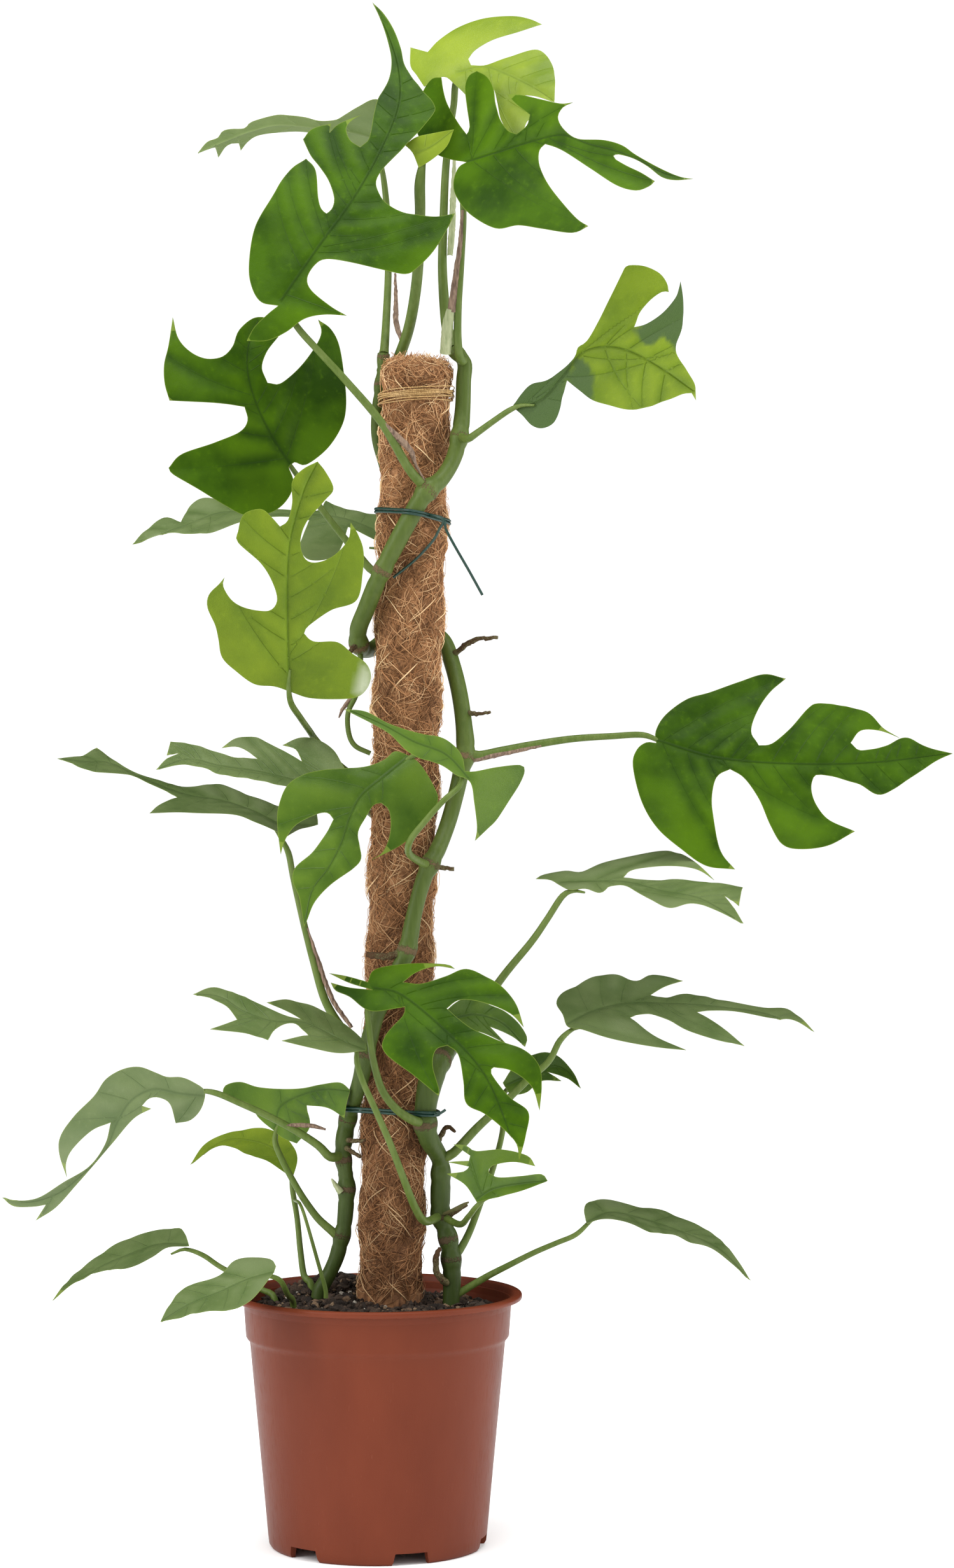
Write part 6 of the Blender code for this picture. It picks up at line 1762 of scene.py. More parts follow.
@dataclass(frozen=True)
class Pot:
    """The moulded nursery pot.

    Attributes:
        finish: its finish.
        rim: the rim's radius.
        height: its height.
        wall: its wall's thickness.
        foot: its radius just above the ground.
        foot_height: how far its floor is off the ground.
        floor: the floor's thickness.
        feet: how many feet it has.
        notch_turn: where the first gap between feet is, in degrees.
        drain: a drain hole's radius.
        drain_ring: how far the drain holes are from its axis.
        crease: the angle of a sharp edge, in degrees.
    """

    finish: bpy.types.Material
    rim: float = 95.0
    height: float = 165.3
    wall: float = 1.8
    foot: float = 71.5
    foot_height: float = 9.0
    floor: float = 2.0
    feet: int = 6
    notch_turn: float = -70.8
    drain: float = 5.0
    drain_ring: float = 48.0
    crease: float = 38.0

    def outer(self, z: float) -> float:
        """The outer radius at a height."""
        return float(np.interp(z, (0.0, 3.0, 134.0, 137.0, 161.3), (70.4, self.foot, 83.9, 86.4, 88.1)))

    def inner(self, z: float) -> float:
        """The inner radius at a height."""
        return self.outer(z) - self.wall

    def profile(self) -> list[Point]:
        """The pot's section, with its edges rounded.

        Returns:
            Radii and heights, up the outer side and down the inner.
        """
        lip, floor, foot = self.height - 4.0, self.foot_height + self.floor, self.foot
        rows = [(0.0, self.foot_height), (foot - 5.5, self.foot_height), (foot - 4.2, self.foot_height - 1.5)]
        rows += [(foot + r, z) for r, z in ((-4.4, 0.3), (-4.1, 0.0), (-2.0, 0.0), (-1.5, 0.3), (-0.2, 2.2))]
        rows += [(self.outer(z), z) for z in (7.0, 30.0, 60.0, 95.0, 125.0, 132.8)]
        rows += [(84.1, 134.2), (84.9, 135.4), (85.8, 136.4), (86.4, 137.4), (86.5, 138.6)]
        rows += [(self.outer(z), z) for z in (145.0, 153.0, lip - 0.8)]
        rows += [(self.rim + r, lip + z) for r, z in (
            (-6.2, 0.0), (-1.1, 0.0), (-0.35, 0.35), (0.0, 1.1), (0.0, 2.5), (-0.35, 3.4), (-1.2, 4.0),
            (-4.4, 4.0), (-5.3, 3.6), (-5.9, 2.7), (-6.6, -1.0))]
        rows += [(self.inner(z), z) for z in (137.0, 134.0, floor + 3.0)]
        rows += [(self.inner(floor) - 3.0, floor), (0.0, floor)]
        return rows

    def notch(self, turn: float) -> Shape:
        """The gap between two feet.

        Args:
            turn: where it is round the pot, in radians.

        Returns:
            A block to cut with.
        """
        points = []
        for radius in (self.foot - 12.0, self.foot + 6.0):
            for height, half in ((-2.0, 10.6), (self.foot_height - 1.2, 8.6)):
                for way in (-1, 1):
                    angle = turn + math.radians(half * way)
                    points.append((radius * math.cos(angle), radius * math.sin(angle), height))
        faces = [(0, 2, 3, 1), (4, 5, 7, 6), (0, 1, 5, 4), (2, 6, 7, 3), (0, 4, 6, 2), (1, 3, 7, 5)]
        return Shape(np.array(points), faces)

    def build(self) -> None:
        """Turns the pot and cuts the gaps between its feet and its drain holes."""
        section = turned(self.profile(), 180)
        pot = section.piece("pot_moulded", (self.finish,), "pot_terracotta", ("pot",), self.crease)
        turns = [math.radians(360 * k / self.feet) for k in range(self.feet)]
        cutters = [self.notch(math.radians(self.notch_turn) + turn) for turn in turns]
        for turn in turns:
            x, y = self.drain_ring * math.cos(turn), self.drain_ring * math.sin(turn)
            cutters.append(tube([(x, y, z, self.drain) for z in (self.foot_height - 3.0, 14.0)], 24))
        tool = add_object("pot_cuts", joined(cutters).mesh("pot_cuts"))
        cut = pot.modifiers.new("cuts", "BOOLEAN")
        cut.operation, cut.solver, cut.object = "DIFFERENCE", "EXACT", tool
        shaped = bpy.data.meshes.new_from_object(pot.evaluated_get(bpy.context.evaluated_depsgraph_get()))
        pot.modifiers.clear()
        pot.data = shaped
        shaped.set_sharp_from_angle(angle=math.radians(self.crease))
        bpy.data.objects.remove(tool)


LONG = (1 + 5**0.5) / 2
BALL = np.array([
    (-1, LONG, 0), (1, LONG, 0), (-1, -LONG, 0), (1, -LONG, 0), (0, -1, LONG), (0, 1, LONG),
    (0, -1, -LONG), (0, 1, -LONG), (LONG, 0, -1), (LONG, 0, 1), (-LONG, 0, -1), (-LONG, 0, 1)]) / 1.9
BALL_FACES = np.array([
    (0, 11, 5), (0, 5, 1), (0, 1, 7), (0, 7, 10), (0, 10, 11), (1, 5, 9), (5, 11, 4), (11, 10, 2), (10, 7, 6),
    (7, 1, 8), (3, 9, 4), (3, 4, 2), (3, 2, 6), (3, 6, 8), (3, 8, 9), (4, 9, 5), (2, 4, 11), (6, 2, 10),
    (8, 6, 7), (9, 8, 1)])


@dataclass(frozen=True)
class Soil:
    """The potting mix: a heaped body under loose crumbs, bark chips and white grains.

    Attributes:
        body: the body's finish.
        crumb: the crumbs' finish.
        pot: the pot it fills.
        height: its height away from the heap.
        mound: how high it is heaped behind the left stem.
        gap: the gap between it and the pot's wall.
        crumbs: how many loose crumbs there are.
        spread: how far from its axis they lie.
        chips: the share of draws past which a crumb is a bark chip.
        grains: the share past which it is a white grain.
    """

    body: bpy.types.Material
    crumb: bpy.types.Material
    pot: Pot
    height: float = 155.0
    mound: float = 15.0
    gap: float = 0.65
    crumbs: int = 5200
    spread: float = 85.0
    chips: float = 0.86
    grains: float = 0.985

    def top(self, x: Array, y: Array) -> Array:
        """The soil's height.

        Args:
            x: places across.
            y: places in depth.

        Returns:
            The height at each.
        """
        distance = np.hypot(x, y)
        fall = 4.0 * np.maximum(0.0, distance / 86.0 - 0.75) / 0.25
        heap = self.mound * np.exp(-(((x + 30) / 38) ** 2 + ((y - 36) / 30) ** 2))
        collar = 3.0 * np.exp(-(((x - 8) / 34) ** 2 + ((y - 5) / 30) ** 2))
        clods = 0.9 * np.sin(x * 0.23 + 1.3) * np.sin(y * 0.19 - 0.7) + 0.6 * np.sin(x * 0.51 - y * 0.37)
        return self.height + heap + collar + clods - fall

    def build(self) -> None:
        """Builds the body and scatters the crumbs on it."""
        rows = [(0.0, 11.4), (self.pot.inner(11.4) - 4.5, 11.4)]
        rows += [(self.pot.inner(z) - self.gap, z) for z in (15.4, 134.0, 137.0)]
        rows += [(self.pot.inner(150.0) - self.gap, 149.0)]
        rows += [(r, self.height) for r in np.arange(self.spread, 0.0, -2.5)] + [(0.0, self.height)]
        body = turned(rows, 120)
        loose = body.points[:, 2] > 150.5
        rng = np.random.default_rng(SEED)
        x, y = body.points[loose, 0], body.points[loose, 1]
        body.points[loose, 2] = self.top(x, y) + rng.uniform(-1.3, 0.6, loose.sum())
        body.marks["tint"] = np.clip(rng.normal(0.25, 0.12, len(body.points)), 0.0, 1.0)
        body.piece("soil_body", (self.body,), "potting_soil", ("soil",), 70.0)
        self.scatter(rng)

    def scatter(self, rng: np.random.Generator) -> None:
        """Scatters crumbs, chips and grains, each a battered lump.

        Args:
            rng: the source of random draws.
        """
        count, corners = self.crumbs, len(BALL)
        turn = rng.uniform(0.0, 2 * math.pi, count)
        reach = self.spread * np.sqrt(rng.uniform(0.0, 1.0, count))
        x, y = reach * np.cos(turn), reach * np.sin(turn)
        kind = rng.uniform(0.0, 1.0, count)
        size = np.where(kind > self.grains, rng.uniform(1.0, 1.9, count), rng.gamma(2.2, 0.52, count) + 0.45)
        size = np.minimum(size, 4.2)
        stretch = rng.uniform(0.55, 1.5, (count, 3)) * size[:, None]
        stretch[:, 2] *= 0.7
        jitter = rng.uniform(0.72, 1.25, (count, corners, 1))
        px, py, pz = np.moveaxis(BALL[None] * jitter * stretch[:, None, :], 2, 0)
        spin, tilt = rng.uniform(0.0, 2 * math.pi, count)[:, None], rng.uniform(-0.6, 0.6, count)[:, None]
        py, pz = py * np.cos(tilt) - pz * np.sin(tilt), py * np.sin(tilt) + pz * np.cos(tilt)
        px, py = px * np.cos(spin) - py * np.sin(spin), px * np.sin(spin) + py * np.cos(spin)
        centres = np.stack([x, y, self.top(x, y) + size * 0.15], axis=1)
        placed = np.stack([px, py, pz], axis=2) + centres[:, None, :]
        keep = np.hypot(placed[..., 0], placed[..., 1]).max(axis=1) < 86.3
        placed, kind = placed[keep], kind[keep]
        chip, mix = rng.uniform(0.5, 0.8, len(kind)), rng.uniform(0.0, 0.42, len(kind))
        tint = np.where(kind > self.grains, 1.0, np.where(kind > self.chips, chip, mix))
        shifted = (BALL_FACES[None] + (np.arange(len(placed)) * corners)[:, None, None]).reshape(-1, 3)
        marks = {"tint": np.repeat(tint, corners)}
        crumbs = Shape(placed.reshape(-1, 3), list(map(tuple, shifted.tolist())), marks=marks)
        crumbs.piece("soil_crumbs", (self.crumb,), "potting_soil", (), 35.0)


# Pole, twine and ties


@dataclass
class Pole:
    """The coir pole: a lumpy sleeve under layers of strands, on a wooden rod, bound with twine at its top.

    Attributes:
        looks: the finishes, by name.
        lump: how far the plaited lumps stand out.
        pitch: the height in which the plait climbs one radian.
        lobes: how many lumps go round.
        twine: the binding strands' radius.
        bound: a sighting of the binding's middle.
        band: the binding's height.
        wraps: how many times the twine goes round.
        buried: how much of the sleeve's foot the soil hides.
        sides: how many points go round the sleeve.
        rings: how many rings of them it has.
        hairs: how many strands stand at its top.
        rng: the source of random draws.
    """

    looks: dict[str, bpy.types.Material]
    lump: float = 1.7
    pitch: float = 9.0
    lobes: int = 4
    twine: float = 0.34
    bound: Point = (655, 624, 5.0)
    band: float = 7.0
    wraps: int = 12
    buried: float = 150.0
    sides: int = 72
    rings: int = 300
    hairs: int = 900
    rng: np.random.Generator = field(default_factory=lambda: np.random.default_rng(SEED))

    def __post_init__(self) -> None:
        """Finds the two ways across the pole."""
        self.across = unit(np.cross(POLE.axis, (0.0, 1.0, 0.0)))
        self.other = np.cross(POLE.axis, self.across)

    def out(self, turn: Array) -> Array:
        """The ways out from the pole's axis at angles round it."""
        return np.cos(turn)[..., None] * self.across + np.sin(turn)[..., None] * self.other

    def net(self, height: Array, turn: Array) -> Array:
        """The plait's crossing lines: 1 in a groove and -1 in the middle of a lump."""
        climb, around = height / self.pitch, self.lobes * turn
        return 1.0 - 2.0 * np.abs(np.sin((around + climb) / 2) * np.sin((around - climb) / 2))

    def relief(self, height: Array, turn: Array) -> Array:
        """The sleeve's radius: plaited lumps in a raised net, with ragged detail.

        Args:
            height: heights up the sleeve.
            turn: angles round it.

        Returns:
            The radius at each.
        """
        base = POLE.radii[0] + (POLE.radii[1] - POLE.radii[0]) * height / POLE.length
        rough = 0.35 * np.sin(turn * 11 + height * 0.9) * np.sin(height * 0.37 + turn * 5)
        fade = np.clip((POLE.length - height) / 10.0, 0.0, 1.0)
        lumps = -self.lump * np.maximum(self.net(height, turn), -0.5)
        return base + (lumps + rough) * fade * np.clip(height / 20.0, 0.0, 1.0) - 0.6

    def at(self, height: Array, turn: Array, lift: Array | float) -> Array:
        """Places on the sleeve, lifted off it."""
        radius = self.relief(height, turn) + lift
        return POLE.bottom_place + height[..., None] * POLE.axis + self.out(turn) * radius[..., None]

    def sleeve(self) -> None:
        """The sleeve's body, with a ragged crown closed round the rod."""
        turn = np.arange(self.sides) * 2 * math.pi / self.sides
        heights = np.linspace(0.0, POLE.length, self.rings + 1)
        rows = [self.at(np.full(self.sides, height), turn, 0.0) for height in heights]
        for rise, radius in ((2.0, 20.6), (4.5, 17.0), (5.2, 11.0), (4.6, 4.0)):
            ragged = radius * (1.0 + 0.06 * np.sin(turn * 7 + rise))
            rows.append(POLE.top_place + POLE.axis * rise + self.out(turn) * ragged[:, None])
        points = np.concatenate(rows)
        # The sleeve takes dark tints: partly the coir's own colour, partly painted shade under the strands.
        tint = np.clip(self.rng.normal(0.26, 0.10, len(points)), 0.0, 1.0)
        sleeve = Shape(points, bands(len(rows), self.sides), marks={"tint": tint})
        sleeve.piece("coir_sleeve", (self.looks["coir_fibre"],), "coir", ("coir_pole", "pole_stake"), 80.0)

    def layer(self, name: str, count: int, length: Point, radius: Point, lift: Point, tints: Point,
              lean: Point, curl: float = 0.45) -> None:
        """One layer of strands lying on the sleeve.

        Args:
            name: the piece's name.
            count: how many strands.
            length: shortest and longest strand.
            radius: thinnest and thickest strand.
            lift: how far off the sleeve their middles are.
            tints: darkest and lightest tint.
            lean: least and most angle off upright, in degrees.
            curl: how much the strands bend, in radians.
        """
        rng, steps = self.rng, 7
        size = rng.uniform(*length, count)
        angle = np.radians(rng.uniform(*lean, count)) * rng.choice((-1, 1), count)
        bend = rng.normal(0.0, curl, count)
        height = rng.uniform(self.buried, POLE.length - 1.0, count)
        turn = rng.uniform(0.0, 2 * math.pi, count)
        share = np.linspace(-0.5, 0.5, steps)[None, :]
        bent = angle[:, None] + bend[:, None] * share * 2
        rise = size[:, None] * share * np.cos(bent)
        side = size[:, None] * share * np.sin(bent)
        heights = np.clip(height[:, None] + rise, 1.0, POLE.length + 1.0)
        turns = turn[:, None] + side / 21.0
        arch = rng.uniform(*lift, count)[:, None] * (1 - (2 * share) ** 2)
        arch += rng.uniform(-0.2, 0.25, count)[:, None]
        thick = rng.uniform(*radius, count)[:, None] * (1 - 0.75 * np.abs(2 * share) ** 3)
        # Painted shade: strands lying in the plait's grooves take darker tints.
        tint = rng.uniform(*tints, count) * (1.0 - 0.55 * np.clip(self.net(height, turn), 0.0, 1.0))
        made = strands(self.at(heights, turns, arch), thick * np.ones((count, steps)), self.out(turns), tint)
        made.piece(name, (self.looks["coir_fibre"],), "coir", (), 80.0)

    def crown(self) -> None:
        """The frayed top: strands that curl over the sleeve's end and stand off it."""
        rng, count, share = self.rng, self.hairs, np.linspace(0.0, 1.0, 7)[None, :]
        turn = rng.uniform(0.0, 2 * math.pi, count)[:, None]
        inner = rng.uniform(2.0, 21.0, count)[:, None]
        heading = rng.uniform(0.0, 2 * math.pi, count)[:, None] + share * 1.4
        reach = rng.uniform(4.0, 17.0, count)[:, None] * share
        rise = 3.5 + rng.uniform(-1.5, 3.0, count)[:, None]
        rise = rise + rng.uniform(-3.0, 5.5, count)[:, None] * (2 * share - 1) ** 2
        x = inner * np.cos(turn) + reach * np.cos(heading)
        y = inner * np.sin(turn) + reach * np.sin(heading)
        far = np.hypot(x, y)
        rise = rise - np.maximum(0.0, far - 19.0) * 0.9
        scale = np.minimum(1.0, 24.0 / np.maximum(far, TINY))
        places = np.stack([x * scale, y * scale, rise], axis=2)
        centres = POLE.top_place + places @ np.stack([self.across, self.other, POLE.axis])
        outward = np.broadcast_to(POLE.axis, centres.shape)
        thick = rng.uniform(0.14, 0.26, count)[:, None] * np.ones(far.shape)
        made = strands(centres, thick, outward, rng.uniform(0.35, 0.9, count))
        made.piece("coir_crown", (self.looks["coir_fibre"],), "coir", (), 80.0)

    def binding(self) -> None:
        """Golden twine wound round the top in a loose band of strands."""
        made = []
        for wrap in range(self.wraps):
            level = VIEWER.place(*self.bound)[2] + self.band * (wrap / (self.wraps - 1) - 0.5)
            phase = self.rng.uniform(0.0, 2 * math.pi)
            rows = []
            for turn in np.arange(60) * 2 * math.pi / 60:
                wave = 0.9 * math.sin(turn + phase) + 0.4 * math.sin(3 * turn + phase)
                middle = POLE.centre(level + wave)
                radius = POLE.radius(middle[2]) + 1.9 + self.twine * (wrap % 3)
                way = np.array([math.cos(turn), math.sin(turn), 0.06 * math.cos(turn)])
                rows.append((*(middle + radius * way), self.twine))
            made.append(tube(rows, 6, closed=True))
        joined(made).piece("twine_binding", (self.looks["golden_twine"],), "golden_twine", ("pole_binding",))

    def build(self) -> None:
        """Builds the whole pole."""
        self.sleeve()
        # Deeper layers take darker tints: partly the coir's own dark fibres, partly painted shade under the
        # outer strands.
        self.layer("coir_deep", 5000, (14.0, 34.0), (0.18, 0.34), (0.1, 0.6), (0.05, 0.45), (10.0, 80.0))
        self.layer("coir_middle", 5000, (10.0, 32.0), (0.16, 0.32), (0.4, 1.3), (0.38, 0.82), (10.0, 80.0))
        self.layer("coir_loose", 1900, (10.0, 30.0), (0.10, 0.22), (0.8, 3.0), (0.55, 0.95), (0.0, 90.0))
        self.layer("coir_straws", 190, (18.0, 34.0), (0.30, 0.46), (1.4, 2.6), (1.0, 1.4), (40.0, 52.0), 0.05)
        self.crown()
        self.binding()


@dataclass
class Ties:
    """Coated wire pulled tight round the pole and stems.

    Attributes:
        looks: the finishes, by name.
        lines: the stems' lines, by name.
        radius: the wire's radius.
        slack: the gap it keeps from a stem.
        fibres: how far it lies off the sleeve, on the fibres.
    """

    looks: dict[str, bpy.types.Material]
    lines: dict[str, Array]
    radius: float = 0.9
    slack: float = 0.6
    fibres: float = 1.25

    def girths(self, path: Array, height_at: Callable[[float], float]) -> list[Point]:
        """The circles in which a stem's body meets a tilted level.

        Args:
            path: the stem's line, with its radius.
            height_at: the level's height at a place across.

        Returns:
            Each circle's middle and radius.
        """
        circles = []
        for here, there in zip(path, path[1:]):
            for share in np.linspace(0.0, 1.0, 8):
                x, y, z, radius = here + (there - here) * share
                reach = radius + self.radius + self.slack
                off = z - height_at(x)
                if abs(off) < reach:
                    circles.append((x, y, math.sqrt(reach * reach - off * off)))
        return circles

    @staticmethod
    def around(circles: Sequence[Point], count: int) -> Array:
        """The taut loop round circles.

        Args:
            circles: each circle's middle and radius.
            count: how many points the loop has.

        Returns:
            The loop's points, evenly spaced.
        """
        turns = np.arange(72) * 2 * math.pi / 72
        points = sorted({(x + r * math.cos(t), y + r * math.sin(t)) for x, y, r in circles for t in turns})

        def half(ordered: list[Point]) -> list[Point]:
            """One side of the loop.

            Args:
                ordered: the points from one end to the other.

            Returns:
                Those the loop touches, without the last.
            """
            hull: list[Point] = []
            for x, y in ordered:
                while len(hull) > 1:
                    (ax, ay), (bx, by) = hull[-2:]
                    if (bx - ax) * (y - ay) > (by - ay) * (x - ax):
                        break
                    hull.pop()
                hull.append((x, y))
            return hull[:-1]

        hull = np.array(half(points) + half(points[::-1]))
        ring = np.concatenate([hull, hull[:1]])
        lengths = distances(ring)
        goals = np.arange(count) * lengths[-1] / count
        return np.stack([np.interp(goals, lengths, axis) for axis in ring.T], axis=1)

    def tie(self, name: str, sighting: Point, tilt: float, roots: Sequence[Root],
            tails: Sequence[tuple]) -> None:
        """One tie with its loose ends.

        Args:
            name: its node's name.
            sighting: where it crosses the pole.
            tilt: how much it rises to the right.
            roots: the stems it holds.
            tails: sightings along each loose end.
        """
        z = VIEWER.place(*sighting)[2]
        middle = POLE.centre(z)

        def height_at(x: float) -> float:
            """The tie's height at a place across."""
            return z + tilt * (x - middle[0])

        circles = [(middle[0], middle[1], POLE.radius(z) + self.fibres + self.radius)]
        for root in roots:
            circles += self.girths(self.lines[root.value], height_at)
        loop = self.around(circles, 160)
        path = np.array([(x, y, height_at(x), self.radius) for x, y in loop])
        second = path - (0.0, 0.0, 2.1 * self.radius, 0.0)
        whole = tube(path, 10, closed=True).add(tube(second, 10, closed=True))
        for points in tails:
            places = [POLE.off(VIEWER.place(*p), self.radius, PETIOLE_CLEARANCE) for p in points]
            places.insert(0, nearest(path, places[0]))
            whole.add(tube(smooth_curve([(*p, self.radius) for p in places], 3.0), 10))
        whole.piece(f"{name}_wire", (self.looks["tie_coating"],), "tie_green", (name,))

    def build(self) -> None:
        """Builds both ties."""
        self.tie("tie_upper", (650, 805, -20), -0.16, (Root.LEFT_VINE,),
                 (((697, 815, -31), (700, 830, -30), (714, 857, -31), (737, 897, -29), (758, 935, -26)),
                  ((697, 817, -31), (691, 830, -28), (680, 850, -24), (652, 880, -20), (622, 908, -14))))
        self.tie("tie_lower", (620, 1745, -20), -0.03, (Root.LEFT_VINE, Root.RIGHT_VINE),
                 (((687, 1752, -30), (700, 1744, -31)),))


@dataclass(frozen=True)
class Sheath:
    """A dried leaf sheath or twig end: a thin curled strip along a stem.

    Attributes:
        name: the piece's name.
        stem: the line it follows, by name.
        path: picture points along its middle, each with its half width in millimetres.
        look: its finish, by name.
        lift: how far it stands off the stem's middle, towards the viewer.
        skin: its thickness.
        columns: how many points go across it.
    """

    name: str
    stem: str
    path: tuple
    look: str = "dried_sheath"
    lift: float = 1.5
    skin: float = 0.3
    columns: int = 9

    def rows(self, line: Array) -> Array:
        """The strip's middle, with its half width, in front of its stem.

        Args:
            line: the stem's line.

        Returns:
            Rows of x, y, z and half width.
        """
        places = []
        for px, py, half in self.path:
            place = VIEWER.place(px, py, nearest_depth(line, px, py) - self.lift)
            places.append((*POLE.off(place, half * 0.7, PETIOLE_CLEARANCE), half))
        return smooth_curve(places, 2.0)

    def build(self, line: Array, finish: bpy.types.Material) -> None:
        """Builds the strip, creased along its middle and ragged at its edges.

        Args:
            line: the stem it follows.
            finish: its finish.
        """
        rows = self.rows(line)
        along = unit(np.gradient(rows[:, :3], axis=0))
        across = unit(np.cross(along, (0.0, 1.0, 0.0)))
        front = np.cross(across, along)
        rng = np.random.default_rng(SEED + len(rows))
        shares = np.linspace(-1.0, 1.0, self.columns)
        skins = []
        for skin in (0.0, self.skin):
            lines = []
            for c in shares:
                wobble = rng.normal(0.0, 0.16, len(rows)) * abs(c)
                curl = 0.72 * (1 - c * c) * rows[:, 3] + skin
                beside = across * (c * rows[:, 3] + wobble)[:, None]
                lines.append(rows[:, :3] + beside - front * curl[:, None])
            skins.append(np.stack(lines, axis=1))
        count, wide = len(rows), self.columns
        points = np.concatenate([skins[1].reshape(-1, 3), skins[0].reshape(-1, 3)])
        total = count * wide
        faces = []
        for k in range(count - 1):
            for n in range(wide - 1):
                a, d = k * wide + n, (k + 1) * wide + n
                faces += [(a, a + 1, d + 1, d), (d + total, d + 1 + total, a + 1 + total, a + total)]
        numbers = np.arange(total).reshape(count, wide)
        ring = [*numbers[0], *numbers[1:, -1], *numbers[-1, -2::-1], *numbers[-2:0:-1, 0]]
        faces += [(b, a, a + total, b + total) for a, b in zip(ring, ring[1:] + ring[:1])]
        Shape(points, faces).piece(self.name, (finish,), "leaf_new_green", (), 60.0)


SHEATHS = (
    Sheath("sheath_crown_right", "leaf_05", dots("727,330,0.8 723,385,1.6 716,440,2.2 709,490,2.6")),
    Sheath("sheath_crown_cream", "leaf_05", dots("708,486,2.6 703,515,3.6 700,556,3.6"), "pale_sheath", 1.9),
    Sheath("sheath_crown_pale", "leaf_01", dots("714,252,1 712,310,1.9 710,365,2.1 707,402,1.8"),
           "pale_sheath"),
    Sheath("sheath_crown_left", "leaf_03", dots("621,430,0.6 622,470,1.3 623,510,1.8 634,540,1.4")),
    Sheath("sheath_upper_left", "leaf_02",
           dots("590,652,0.7 610,673,1.8 629,691,2.2 645,708,1.9 653,730,1 668,757,0.6")),
    Sheath("sheath_middle_right", "leaf_14", dots("738,1196,1.6 760,1190,1.9 800,1182,1.6 850,1172,0.8")),
    Sheath("sheath_left_petiole", "leaf_13", dots("483,1458,0.6 500,1510,1.3 522,1570,1.5 553,1615,1.1")),
    Sheath("sheath_low_left", "leaf_20", dots("446,1769,0.6 464,1768,1.2 490,1769,1.4 512,1775,0.7")),
    Sheath("sheath_low_stem", "vine_left", dots("521,1852,0.5 527,1862,1.5 536,1874,2.2"),
           "pale_sheath", 7.0),
    Sheath("sheath_hook_tip", "vine_left", dots("532,1128,0.4 540,1112,1.2 552,1098,1.8 562,1082,1.8"),
           lift=1.0),
)


@dataclass(frozen=True)
class Shoot:
    """A small shoot, twig or second petiole.

    Attributes:
        name: the piece's name.
        stem: the line it grows from, by name.
        path: sightings along it, each with its radius.
        look: its finish, by name.
    """

    name: str
    stem: str
    path: tuple
    look: str = "petiole_skin"

    def build(self, line: Array, finish: bpy.types.Material) -> None:
        """Builds the shoot out of its stem.

        Args:
            line: the stem's line.
            finish: its finish.
        """
        start = nearest(line, VIEWER.place(*self.path[0][:3]))
        places = [(*start, self.path[0][3])]
        places += [(*VIEWER.place(*p[:3]), p[3]) for p in self.path[1:]]
        made = tube(smooth_curve(places, 1.8), 12)
        made.marks["node"] = np.clip(1.0 - made.marks["along"] / 9.0, 0.0, 0.6)
        made.piece(self.name, (finish,), "vine_green")


SHOOTS = (
    Shoot("shoot_hook", "vine_left",
          dots("563,1016,0,1.8 566,1050,4,1.8 560,1090,4,1.8 547,1120,4,1.7 548,1152,4,1.7 558,1172,4,1.7 "
               "582,1184,4,1.6")),
    Shoot("shoot_low_left", "leaf_22",
          dots("462,1862,-20,1.1 475,1900,-20,1.1 500,1985,-19,1.3 511,2024,-18,1.5 512,2040,-18,1.5")),
    Shoot("twig_low_right", "vine_right",
          dots("700,1912,-14,1.2 709,1903,-16,1.3 722,1897,-17,1.5 730,1892,-18,1 737,1889,-18,0.5"),
          "root_skin"),
)


# Studio


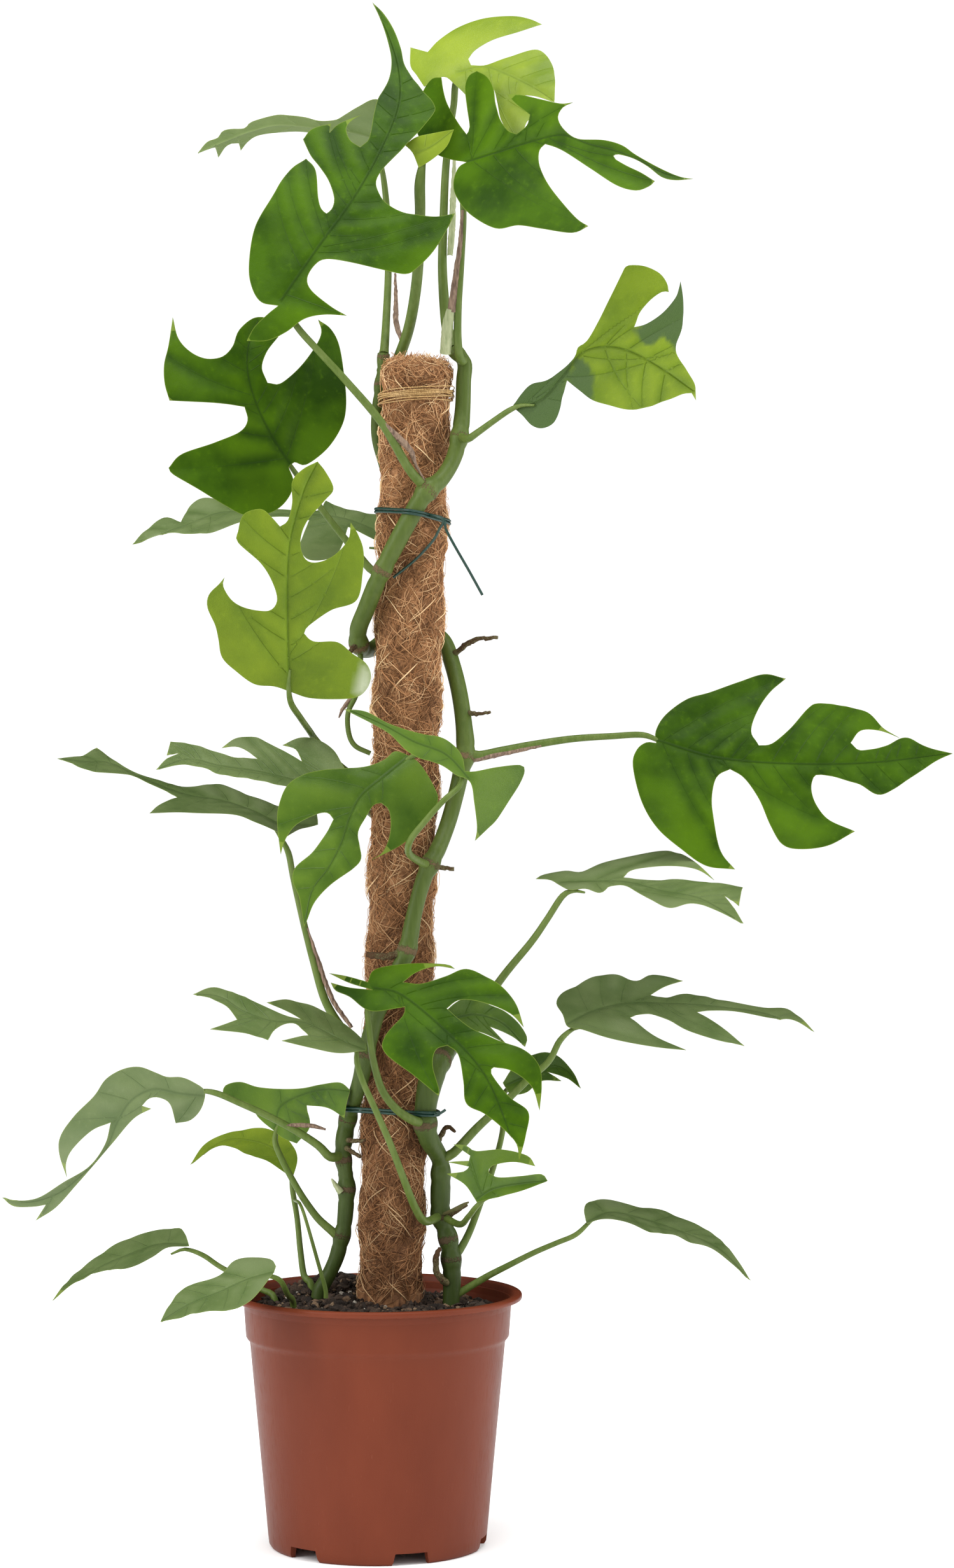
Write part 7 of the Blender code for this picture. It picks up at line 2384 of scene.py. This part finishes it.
@dataclass(frozen=True)
class Studio:
    """A white floor and surroundings, soft lights at both sides, and the camera at the viewer's place.

    Attributes:
        reach: how far the floor goes, in millimetres.
        glow: the surroundings' strength.
    """

    reach: float = 30000.0
    glow: float = 1.13

    def floor(self) -> None:
        """The pale floor."""
        mesh = bpy.data.meshes.new("studio_floor")
        reach = self.reach * MM
        corners = [(-reach, -reach, 0.0), (reach, -reach, 0.0), (reach, reach, 0.0), (-reach, reach, 0.0)]
        mesh.from_pydata(corners, [], [(0, 1, 2, 3)])
        g = Graph("studio_floor")
        g.feed("Base Color", g.mix(g.noise(3.0, 2.0) * 0.05, (0.98, 0.98, 0.98), (0.96, 0.96, 0.96)))
        g.feed("Roughness", 0.8)
        g.feed("Specular IOR Level", 0.2)
        mesh.materials.append(g.material)
        add_object("studio_floor", mesh)

    def world(self) -> None:
        """Even white surroundings that glossy skins don't mirror."""
        world = bpy.data.worlds.new("studio_white")
        world.use_nodes = True
        back = world.node_tree.nodes["Background"]
        back.inputs["Color"].default_value = (1.0, 1.0, 1.0, 1.0)
        back.inputs["Strength"].default_value = self.glow
        bpy.context.scene.world = world
        world.cycles_visibility.glossy = False
        bpy.context.scene.view_settings.view_transform = "Standard"

    def light(self, name: str, place: Point, aim: Point, size: Point, power: float) -> None:
        """A soft box.

        Args:
            name: its name.
            place: where it stands, in metres.
            aim: what it points at, in metres.
            size: its width and height, in metres.
            power: its strength in watts.
        """
        lamp = bpy.data.lights.new(name, "AREA")
        lamp.shape, lamp.size, lamp.size_y, lamp.energy = "RECTANGLE", size[0], size[1], power
        made = add_object(name, lamp)
        made.location = place
        made.rotation_euler = (Vector(aim) - Vector(place)).to_track_quat("-Z", "Y").to_euler()

    def camera(self) -> None:
        """The camera at the viewer's place, level."""
        lens = bpy.data.cameras.new("photo_camera")
        lens.sensor_width = 36.0
        lens.lens = VIEWER.focal / VIEWER.height * lens.sensor_width
        made = add_object("photo_camera", lens)
        made.location = Vector((np.array(VIEWER.eye) + AXIS) * MM)
        made.rotation_euler = (math.radians(90.0), 0.0, 0.0)
        bpy.context.scene.camera = made

    def build(self) -> None:
        """Sets the studio up."""
        self.floor()
        self.world()
        self.light("soft_left", (-1.5, -0.9, 1.2), (0.0, 0.0, 0.55), (0.7, 1.8), 28.0)
        self.light("soft_right", (1.7, -0.2, 1.0), (0.0, 0.0, 0.55), (0.5, 1.8), 18.0)
        self.light("soft_top", (0.1, -0.5, 2.3), (0.0, 0.0, 0.6), (1.2, 0.8), 28.0)
        self.camera()


def main() -> None:
    """Builds the plant from the pot up."""
    looks = {finish.name: finish.material() for finish in FINISHES}
    Studio().build()
    pot = Pot(looks["pot_plastic"])
    pot.build()
    log.info("pot moulded")
    Soil(looks["soil_dark"], looks["soil_crumb"], pot).build()
    log.info("soil filled in")
    Pole(looks).build()
    log.info("coir pole bound")
    vines = Vines(looks)
    vines.build()
    log.info("stems grown up the pole")
    Foliage(LEAVES, looks, vines.lines).build()
    log.info("%d leaves opened", len(LEAVES))
    Ties(looks, vines.lines).build()
    log.info("ties pulled tight")
    for sheath in SHEATHS:
        sheath.build(vines.lines[sheath.stem], looks[sheath.look])
    log.info("%d dried sheaths left on", len(SHEATHS))
    for shoot in SHOOTS:
        shoot.build(vines.lines[shoot.stem], looks[shoot.look])
    log.info("%d small shoots grown", len(SHOOTS))
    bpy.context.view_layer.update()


if __name__ == "__main__":
    main()
